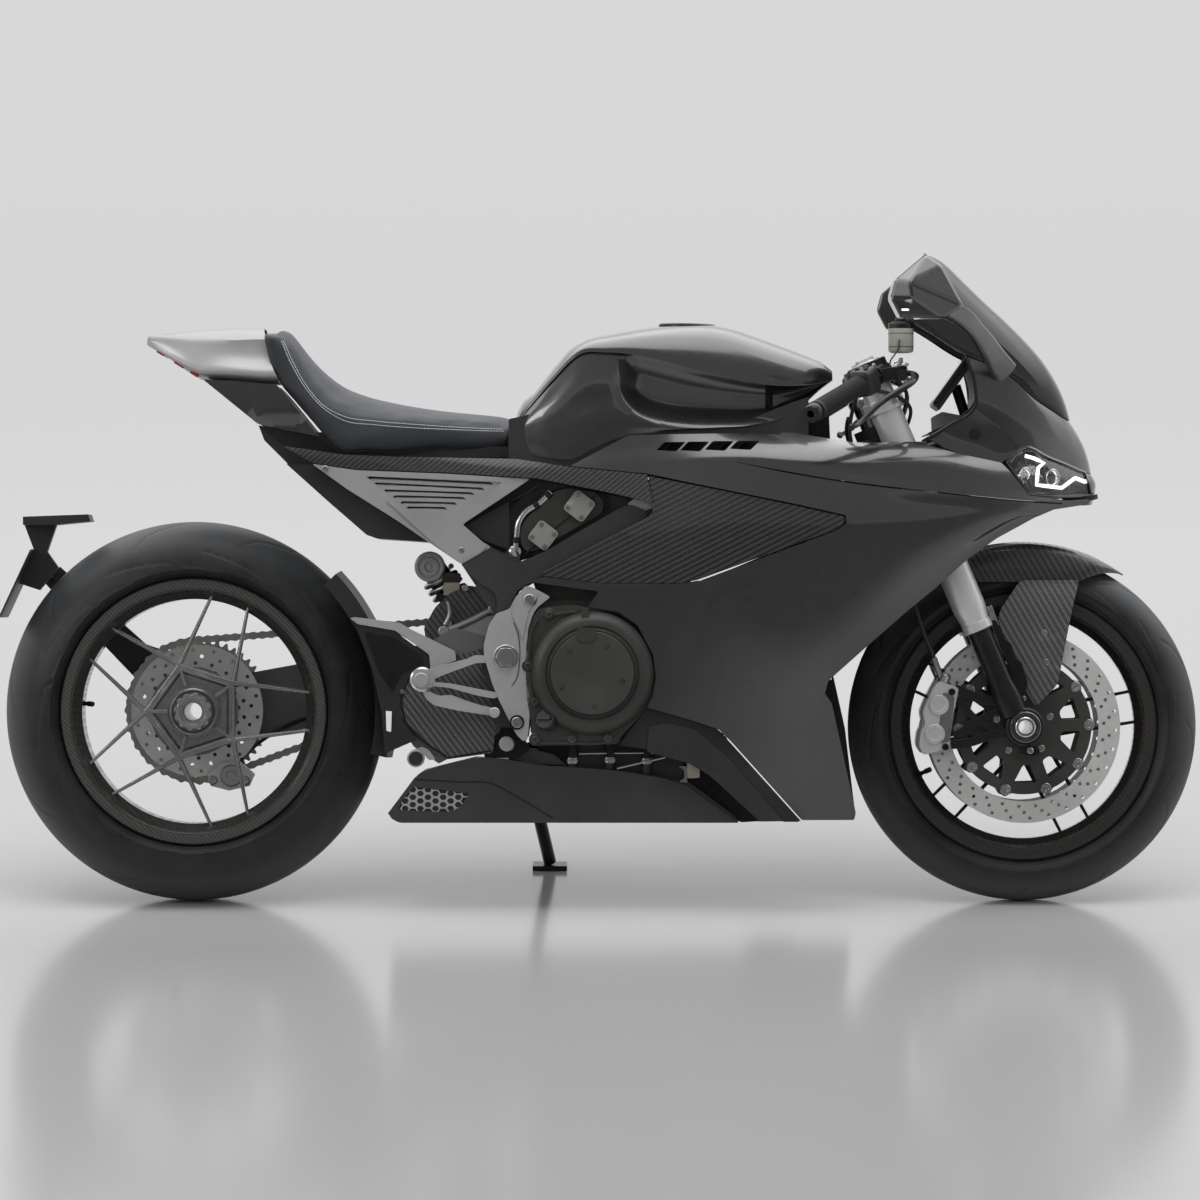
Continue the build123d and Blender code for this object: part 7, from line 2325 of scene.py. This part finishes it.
def exhaustBox():
    outlet = flats(box["outlet"], 4, 8)
    side = formed(plate(flats(box["outline"], 5, 14), -134, -128, [outlet], 20))
    side.done("boxSide", "boxGrey", bevel=2.6)
    # painted shade: a near-black line laid along the box's crease
    formed(seamLine(box["crease"], -134.4, 1.6, 1.6, 8)).pair("boxSeam", "void")
    lid = flats([(-159, 247), (-132, 261), (-104, 260), (-77, 253), (-56, 234), (-104, 237)], 4, 10)
    formed(plate(lid, -122, 60)).done("boxLid", "boxGrey", bevel=3)
    # painted shade: a near-black floor behind the honeycomb cells
    formed(plate(flats(box["outlet"], 4, 12), -129, -127.5)).done("outletFloor", "void")
    # hexagon cells: one wall ring, repeated over the outlet by the node tree
    cell = box["cell"] / math.sqrt(3)
    rings = []
    for z0 in (-2.5, 2.5):
        for r in (cell * 1.02, cell * 0.72):
            rings.append([(r * math.cos(a), r * math.sin(a) * 0.86, z0) for a in
                          np.radians(np.arange(0, 360, 60))])
    a, b, c, d = rings
    points, faces = grid(np.array([a, c, d, b, a]), close=True)
    item = Build().add(points, faces)
    low, high = np.array(box["outlet"]).min(axis=0), np.array(box["outlet"]).max(axis=0)
    spots = []
    wide, tall = cell * 1.5, box["cell"] * 0.86
    for i, x in enumerate(np.arange(low[0], high[0] + wide, wide)):
        for z in np.arange(low[1] - tall, high[1] + tall, tall):
            spots.append((x, z + (tall / 2 if i % 2 else 0)))
    keep = insideMany(spots, np.array(box["outlet"], float))
    places = facing(130.5, [spot for spot, k in zip(spots, keep) if k], (1,))
    scatter("outletCells", item, places, finish["alloyGrey"], sharp=30)
    pads = Build()
    for x, z in ((-298, 142), (-155, 139)):
        for y in (-100, 80):
            pads.add(*lathe([(0, 0.1), (0, 7), (4.6, 6), (4.6, 0.1)], (x, y, z + 4.5), (0, 0, -1), 20))
    pads.done("boxPads", "rubber", sharp=30)


finish["lidCast"] = grainy("lidCasting", (0.052, 0.052, 0.048), (0.072, 0.072, 0.067), 0.5, 0.42, 1700, 0.18)
finish["lidPale"] = grainy("paleCasting", (0.25, 0.25, 0.23), (0.3, 0.3, 0.28), 0.5, 0.46, 1700, 0.2)
finish["boxGrey"] = grainy("boxGrey", (0.04, 0.04, 0.041), (0.052, 0.052, 0.053), 0.35, 0.44, 1400, 0.08)
engine()
underEngine()
exhaustBox()
print("engine done")


# rear arm, shock, hugger blades, rear brake and number plate
def rearArm():
    for name, key in (("swingarm", "armGrey"), ("hugger", "darkPlastic"), ("plate_hanger", "darkPlastic"),
                      ("plate_holder", "darkPlastic"), ("number_plate", "plateWhite"), ("side_stand", "satinBlack"),
                      ("stand_bracket", "satinBlack"), ("rear_caliper", "caliper")):
        nodes[name].data.materials[0] = finish[key]
    hood = flats([(-276, 421), (-327, 390), (-344, 352), (-340, 318), (-263, 245), (-183, 256), (-175, 319),
                  (-174, 447), (-225, 426)], 5, 8)
    formed(plate(hood, -135, -124, step=14)).done("armHood", "armCarbon", bevel=3.5)
    hood = flats([(-302, 470), (-283, 504), (-258, 528), (-227, 542), (-179, 536), (-168, 495), (-175, 430),
                  (-188, 392), (-226, 398), (-277, 429), (-298, 446)], 6, 8)
    formed(plate(hood, -66, -40, step=12)).done("shockHood", "armCarbon", bevel=5)
    # dark strips along the hood's rear and lower edges
    edge = Build()
    for points in ([(-286, 397), (-323, 386), (-338, 350), (-335, 320), (-261, 250)], [(-261, 247), (-186, 260)]):
        edge.add(*sweep(curve([(x, -135.5, z) for x, z in points], 6), [(1.6, -1.6), (1.6, 1.6), (-1.6, 1.6),
                               (-1.6, -1.6)],
                        up=(0, 1, 0)))
    edge.done("armEdges", "satinBlack", bevel=0.6)
    # silver blade over a dark panel
    blade = flats([(-426, 486), (-418, 488), (-341, 478), (-322, 467), (-247, 430), (-245, 414), (-289, 399),
                   (-291, 424), (-349, 465), (-413, 476)], 2, 8)
    formed(plate(blade, -143, -138)).done("huggerBlade", "alloyGrey", bevel=1.6)
    panel = flats([(-416, 474), (-349, 463), (-293, 422), (-291, 400), (-325, 388), (-342, 350), (-340, 316),
                   (-312, 279), (-367, 255), (-372, 323), (-388, 398)], 4, 8)
    formed(plate(panel, -138.5, -130)).done("huggerPanel", "darkPlastic", bevel=2.4)
    fold = flats([(-402, 463), (-353, 454), (-303, 421), (-301, 409), (-340, 391), (-354, 361), (-378, 398)], 3, 8)
    formed(plate(fold, -140.5, -137)).done("huggerFold", "satinBlack", bevel=1.8)
    strip = flats([(-365, 328), (-355, 327), (-356, 292), (-364, 294)], 1, 6)
    formed(plate(strip, -140.5, -138)).done("huggerStrip", "plateWhite", bevel=0.8)
    scatter("huggerScrews", domeScrew(4.6, 2.6), facing(139, [(-337, 361), (-276, 421)], (1,)), finish["steel"])


def shock():
    # preload wheel, cap and block on the shock's head
    x, z = -292, 574
    wheel = [(-16, 0.1), (-16, 24), (-14, 25.6), (14, 25.6), (16, 24), (16, 20), (13, 19), (13, 16.6), (15, 15.6),
             (15, 9), (12, 8), (12, 4), (14, 3.4), (14, 0.1)]
    formed(lathe(wheel, (x, -40, z), (0, -1, 0), 72)).done("preloadWheel", "alloyGrey", sharp=28,
                                                                 instead=("shock",), slot="bare_alloy", bevel=0.5)
    ridge = formed(sweep([(0, 0, -13), (0, 0, 13)], [(0.7, -0.8), (0.7, 0.8), (-0.7, 0.8), (-0.7, -0.8)],
                               up=(1, 0, 0)))
    places = [(spot, (0, 1, 0), aim) for spot, _, aim in around((x, -40, z), 60, 0, 25.8, 0)]
    scatter("preloadKnurls", ridge, places, finish["alloyGrey"])
    made = Build()
    head, end = np.array((x + 2, -20, z + 2.0)), np.array((-222.0, -20, 475.0))
    way = end - head
    long = np.linalg.norm(way)
    made.add(*lathe([(0, 0.1), (0, 16), (10, 22), (60, 22), (64, 18), (118, 18), (120, 12), (long, 12), (long, 0.1)],
                    head, way, 40))
    made.add(*lathe([(-18, 0.1), (-18, 14), (18, 14), (18, 0.1)], end, (0, 1, 0), 28))
    made.done("shockTube", "satinBlack", sharp=30, bevel=0.8)
    coil = []
    side = np.cross(way, (0, 1, 0))
    side /= np.linalg.norm(side)
    over = np.cross(side, way) / np.linalg.norm(way)
    for k in range(150):
        s, a = 0.16 + 0.66 * k / 149, 2 * math.pi * 6 * k / 149
        coil.append(head + way * s + (side * math.cos(a) + over * math.sin(a)) * 28)
    formed(sweep(np.array(coil), circle(4.6, 12), up=(0, 1, 0))).done("shockSpring", "steel", sharp=60)
    cap = flats([(-270, 564), (-239, 563), (-239, 547), (-270, 547)], 3, 5)
    formed(plate(cap, -62, -34)).done("shockCap", "darkPlastic", bevel=2)
    block = flats([(-268, 549), (-241, 549), (-240, 525), (-268, 525)], 3, 5)
    formed(plate(block, -60, -36)).done("shockBlock", "tan", bevel=2)
    plug = flats([(-278, 532), (-268, 525), (-244, 525), (-244, 508), (-261, 504), (-282, 518)], 3, 5)
    formed(plate(plug, -58, -36)).done("shockPlug", "satinBlack", bevel=2)
    # rods and rocker
    rods = Build()
    for line, r in (([(-272, 460), (-226, 479), (-180, 503)], 6.5), ([(-265, 474), (-257, 494), (-261, 515)], 4.2)):
        rods.add(*tube([(px, -80, pz) for px, pz in line], r, 5, 16))
    for (px, pz), r in (((-267, 463), 10), ((-182, 502), 9)):
        rods.add(*lathe([(-8, 0.1), (-8, r), (8, r), (9, r - 1.5), (9, 0.1)], (px, -80, pz), (0, -1, 0), 28))
    rods.done("linkRods", "alloy", sharp=34, bevel=0.5)
    hole = disc2d(-217, 447, 5.2, 20)
    rocker = flats([(-262, 460), (-246, 436), (-229, 423), (-205, 426), (-175, 471), (-170, 495), (-209, 484),
                    (-243, 463)], 5, 6)
    formed(plate(rocker, -82, -70, [hole])).done("rocker", "alloyGrey", bevel=1.6)
    scatter("shockScrews", capScrew(6, 4), facing(70, [(-231, 538), (-259, 477)], (1,)), finish["brightAlloy"])


def rearBrake():
    made = Build()
    for x, z, r in ((-636, 214, 19), (-668, 206, 8), (-612, 205, 8)):
        made.add(*lathe([(0, 0.1), (0, r), (4, r), (6, r - 2), (6, r * 0.45), (4.4, r * 0.4), (4.4, 0.1)], (x, 31, z),
                        (0, -1, 0), 36))
    made.done("rearCaliperCaps", "alloy", sharp=30, bevel=0.5)
    hose = [(-622, 40, 238), (-600, 62, 262), (-540, 100, 300), (-440, 112, 330)]
    formed(tube(hose, 3.4, 10, 12)).done("rearBrakeHose", "hose", sharp=50)


def plateEnd():
    face = np.array((-54, 0, -116.4))
    face /= np.linalg.norm(face)
    out = np.array((face[2], 0, -face[0]))
    middle = np.array((-1001.4, 0, 546.2))
    spots = [(middle + np.array((0, side * 60, 0)) + out * 1.6, out, (0, 1, 0)) for side in (1, -1)]
    scatter("numberPlateScrews", domeScrew(6.4, 3), spots, finish["steel"])
    rim = [middle + np.array((0, u, 0)) + face * v + out * 1.7 for u, v in
           rounded([(-92, -62), (92, -62), (92, 62), (-92, 62)], 9, 5)]
    formed(sweep(rim, flatBar(0.7, 0.5), close=True, up=out)).done("numberPlateRim", "satinBlack")
    panel = [middle + np.array((0, u, 0)) + face * v - out * 1.8 for u, v in
             rounded([(-94, -64), (94, -64), (94, 64), (-94, 64)], 9, 5)]
    count = len(panel)
    points = np.vstack([panel, np.array(panel) - out * 1.2])
    faces = [list(range(count)), [count + k for k in range(count)][::-1]]
    faces += [[(k + 1) % count, k, count + k, count + (k + 1) % count] for k in range(count)]
    Build().add(points, faces).done("numberPlateBack", "darkPlastic")
    # lamp over the plate
    lens = flats([(-986, 656), (-884, 660), (-884, 655), (-940, 649), (-986, 650)], 1, 6)
    formed(plate(lens, -50, 50)).done("plateLampLens", "redLens", bevel=1)


finish["armGrey"] = grainy("armGrey", (0.13, 0.13, 0.13), (0.17, 0.17, 0.17), 0.55, 0.38, 1500, 0.08)
finish["armCarbon"] = woven("armCarbon", 0.0031, -8, (0.01, 0.01, 0.01), (0.17, 0.17, 0.175))
rearArm()
shock()
rearBrake()
plateEnd()
print("rear done")
# inner skins and dark backings seen through the gaps, among them near-black backs that paint the shade behind openings
# and a grey back that paints a pale highlight line below the carbon panel: outer y, inner y, finish and outline
fillers = {
    "tankSkirts": (-119, -112, "glossBlack", 2, [(-136, 830), (-156, 826), (-156, 751), (-118, 745), (-74, 743),
                                                 (-5, 725), (97, 732), (268, 734), (356, 782), (356, 864),
                                                 (328, 854), (293, 841), (265, 829), (199, 819), (131, 818),
                                                 (81, 833), (36, 858), (-6, 867)]),
    # painted shade: a near-black sheet behind the vent openings
    "ventBacks": (-123, -121, "void", 0, [(76, 797), (274, 799), (278, 754), (76, 749)]),
    # painted highlight: a grey sheet behind the carbon panel's lower edge shows as a pale line through the gap
    "carbonBacks": (-127, -124, "alloyGrey", 0, [(143, 531), (167, 545), (415, 649), (425, 663), (432, 629),
                                                 (167, 514)]),
    "bellyBacks": (-100, -92, "satinBlack", 1, [(-108, 280), (169, 268), (247, 183), (276, 139), (240, 137),
                                                (197, 173), (152, 203), (-2, 223), (-101, 225)]),
    "ductRecesses": (-168.4, -166, "glossBlack", 1, [(83, 301), (113, 308), (161, 297), (216, 251), (312, 141),
                                                     (271, 141), (186, 219), (151, 239), (80, 259)]),
    "ductSeams": (-146, -140, "satinBlack", 1, [(182, 310), (216, 283), (221, 266), (206, 266)]),
    "ductSeamsMid": (-146, -140, "satinBlack", 1, [(227, 246), (244, 249), (292, 192), (278, 185)]),
    "ductSeamsLow": (-146, -140, "satinBlack", 1, [(285, 171), (305, 175), (340, 139), (312, 139)]),
    "archFlanges": (-124, -112, "satinBlack", 2, [(398, 388), (418, 298), (436, 148), (427, 143), (388, 321),
                                                  (383, 359)]),
    "innerPanels": (-12, -8, "alloyGrey", 1, [(570, 831), (589, 841), (624, 834), (602, 814), (572, 796)]),
    "deckFillers": (-30, -26, "satinBlack", 1, [(314, 828), (338, 846), (375, 863), (392, 867), (396, 781),
                                                (338, 777)]),
}


def fill():
    for name, (outer, inner, key, bevel, outline) in fillers.items():
        formed(plate(flats(outline, 3, 12), outer, inner)).pair(name, key, bevel=bevel)
    fins = Build()
    for step in (64, 82, 100, 118, 136, 152):
        foot, top = step * 1.722 * 0.991 - 8, (step + 10) * 1.722 * 0.991
        fins.add(*sweep([(foot, -127, 766), (top, -127, 790)], flatBar(1.4, 3), up=(0, 1, 0)))
    fins.pair("ventFins", "satinBlack", bevel=0.5)


fill()
print("backings done")
# camera square to the bike's own plane, with a long lens
viewing = {"distance": 13700, "wide": 2066.4, "centreX": 0, "centreZ": 517,
           "sensor": 36, "farthest": 200, "floorSize": 60, "mirroredLift": 0.9,
           "world": 1.12, "sky": [(0, 0.66), (0.22, 0.66), (0.36, 0.2), (0.58, 0.2), (0.75, 0.9), (1, 1)],
           "mirrored": [(0, 0.3), (0.22, 0.3), (0.34, 0.12), (0.88, 0.08), (0.94, 0.9), (1, 1)], "mirroredPower": 2.2,
           "backdrop": [(0, 0.33), (0.25, 0.33), (0.5, 0.9), (1, 1)], "backdropPower": 2, "floorRoughness": 0.16,
           "floorShine": 0.7,
           # painted floor shade: floor colour by distance y from the bike, darker in front of it and paler far behind
           "paintedFloorShade": [(-3, 0.4), (-2, 0.39), (-1.2, 0.37), (-0.55, 0.35), (-0.1, 0.45), (0.8, 0.47), (3.5, 0.67), (10,
                   0.78),
                     (20, 0.8)]}


def stageScene():
    cam = bpy.data.cameras.new("view")
    made = bpy.data.objects.new("view", cam)
    bpy.context.collection.objects.link(made)
    eye = place([(viewing["centreX"], -viewing["distance"], viewing["centreZ"])])[0]
    turn = Matrix(leanTurn.tolist()) @ Matrix.Rotation(math.radians(90), 3, "X")
    made.matrix_world = Matrix.Translation(Vector(eye)) @ turn.to_4x4()
    cam.sensor_width = viewing["sensor"]
    cam.lens = viewing["sensor"] * viewing["distance"] / viewing["wide"]
    cam.clip_end = viewing["farthest"]
    bpy.context.scene.camera = made
    # floor
    size = viewing["floorSize"]
    mesh = bpy.data.meshes.new("floor")
    mesh.from_pydata([(-size, -size, 0), (size, -size, 0), (size, size, 0), (-size, size, 0)], [], [(0, 1, 2, 3)])
    ground = bpy.data.objects.new("floor", mesh)
    bpy.context.collection.objects.link(ground)
    paint = bpy.data.materials.new("studioFloor")
    paint.use_nodes = True
    shader = paint.node_tree.nodes["Principled BSDF"]
    shader.inputs["Roughness"].default_value = viewing["floorRoughness"]
    shader.inputs["Specular IOR Level"].default_value = viewing["floorShine"]
    # painted shade and light: the floor's colour is darkest just in front of the bike, a little lighter towards the
    # camera, and grows paler with distance behind the bike
    links, nodesOf = paint.node_tree.links, paint.node_tree.nodes
    where = nodesOf.new("ShaderNodeTexCoord")
    apart = nodesOf.new("ShaderNodeSeparateXYZ")
    span = nodesOf.new("ShaderNodeMapRange")
    tone = nodesOf.new("ShaderNodeValToRGB")
    links.new(where.outputs["Object"], apart.inputs[0])
    links.new(apart.outputs[1], span.inputs[0])
    low, high = viewing["paintedFloorShade"][0][0], viewing["paintedFloorShade"][-1][0]
    span.inputs[1].default_value, span.inputs[2].default_value = low, high
    links.new(span.outputs[0], tone.inputs[0])
    ramp = tone.color_ramp.elements
    for k, (y, shade) in enumerate(viewing["paintedFloorShade"]):
        at = (y - low) / (high - low)
        stop = ramp[k] if k < 2 else ramp.new(at)
        stop.position, stop.color = at, (shade, shade, shade, 1)
    links.new(tone.outputs[0], shader.inputs["Base Color"])
    mesh.materials.append(paint)
    world = bpy.data.worlds.new("studio")
    bpy.context.scene.world = world
    world.use_nodes = True
    # pale near the horizon, a dim belt above it and a bright ceiling
    tree, back = world.node_tree, world.node_tree.nodes["Background"]
    heading, split, path = (tree.nodes.new(kind) for kind in
                            ("ShaderNodeTexCoord", "ShaderNodeSeparateXYZ", "ShaderNodeLightPath"))
    tree.links.new(heading.outputs["Generated"], split.inputs[0])
    height = split.outputs[2]

    def ramped(stops):
        sky = tree.nodes.new("ShaderNodeValToRGB")
        tree.links.new(height, sky.inputs[0])
        for k, (at, shade) in enumerate(stops):
            stop = sky.color_ramp.elements[k] if k < 2 else sky.color_ramp.elements.new(at)
            stop.position, stop.color = at, (shade, shade, shade, 1)
        return sky.outputs[0]

    def combined(kind, first, second):
        node = tree.nodes.new("ShaderNodeMath")
        node.operation = kind
        for k, value in enumerate((first, second)):
            if isinstance(value, (int, float)):
                node.inputs[k].default_value = value
            else:
                tree.links.new(value, node.inputs[k])
        return node.outputs[0]

    # reflections see a darker room towards the camera and a lit backdrop behind the bike
    behind = combined("GREATER_THAN", split.outputs[1], 0)
    seen = combined("MULTIPLY", ramped(viewing["mirrored"]), viewing["mirroredPower"])
    seen = combined("MINIMUM", seen, combined("ADD", ramped(viewing["mirrored"]), viewing["mirroredLift"]))
    seen = combined("MULTIPLY", seen, combined("SUBTRACT", 1, behind))
    seen = combined("ADD", seen, combined("MULTIPLY", behind, combined("MULTIPLY", ramped(viewing["backdrop"]),
                                                                              viewing["backdropPower"])))
    plain = ramped(viewing["sky"])
    glossy = path.outputs["Is Glossy Ray"]
    mixed = combined("ADD", combined("MULTIPLY", seen, glossy),
                     combined("MULTIPLY", plain, combined("SUBTRACT", 1, glossy)))
    tree.links.new(mixed, back.inputs[0])
    back.inputs[1].default_value = viewing["world"]

    def softbox(name, where, aim, wide, tall, power):
        lamp = bpy.data.lights.new(name, "AREA")
        lamp.shape, lamp.size, lamp.size_y, lamp.energy = "RECTANGLE", wide, tall, power
        box = bpy.data.objects.new(name, lamp)
        bpy.context.collection.objects.link(box)
        box.location = where
        box.rotation_euler = (Vector(aim) - Vector(where)).to_track_quat("-Z", "Y").to_euler()
        return box

    softbox("overhead", (0, -0.8, 4.2), (0, 0, 0.4), 5.5, 2.6, 150).visible_glossy = False
    softbox("front", (4.5, -3.5, 2.8), (0.4, 0, 0.5), 2.5, 1.2, 60).visible_glossy = False
    softbox("rear", (-4.5, -3.0, 2.8), (-0.4, 0, 0.5), 2.5, 1.2, 50)
    # dim cards low behind the camera, seen only in reflections
    curtain = bpy.data.meshes.new("curtain")
    radius, low, high, turns = 9.0, -0.2, 3.1, 24
    angles = [math.radians(205 + 130 * k / turns) for k in range(turns + 1)]
    points = [(radius * math.cos(a), radius * math.sin(a), z) for z in (low, high) for a in angles]
    curtain.from_pydata(points, [], [(k, k + 1, k + turns + 2, k + turns + 1) for k in range(turns)])
    card = bpy.data.objects.new("curtain", curtain)
    bpy.context.collection.objects.link(card)
    black = bpy.data.materials.new("blackCard")
    black.use_nodes = True
    black.node_tree.nodes["Principled BSDF"].inputs["Base Color"].default_value = (0.16, 0.16, 0.16, 1)
    black.node_tree.nodes["Principled BSDF"].inputs["Roughness"].default_value = 0.9
    curtain.materials.append(black)
    card.visible_camera = card.visible_diffuse = card.visible_shadow = card.visible_transmission = False
    bpy.context.scene.view_settings.view_transform = "Standard"


stageScene()
print("stage done")
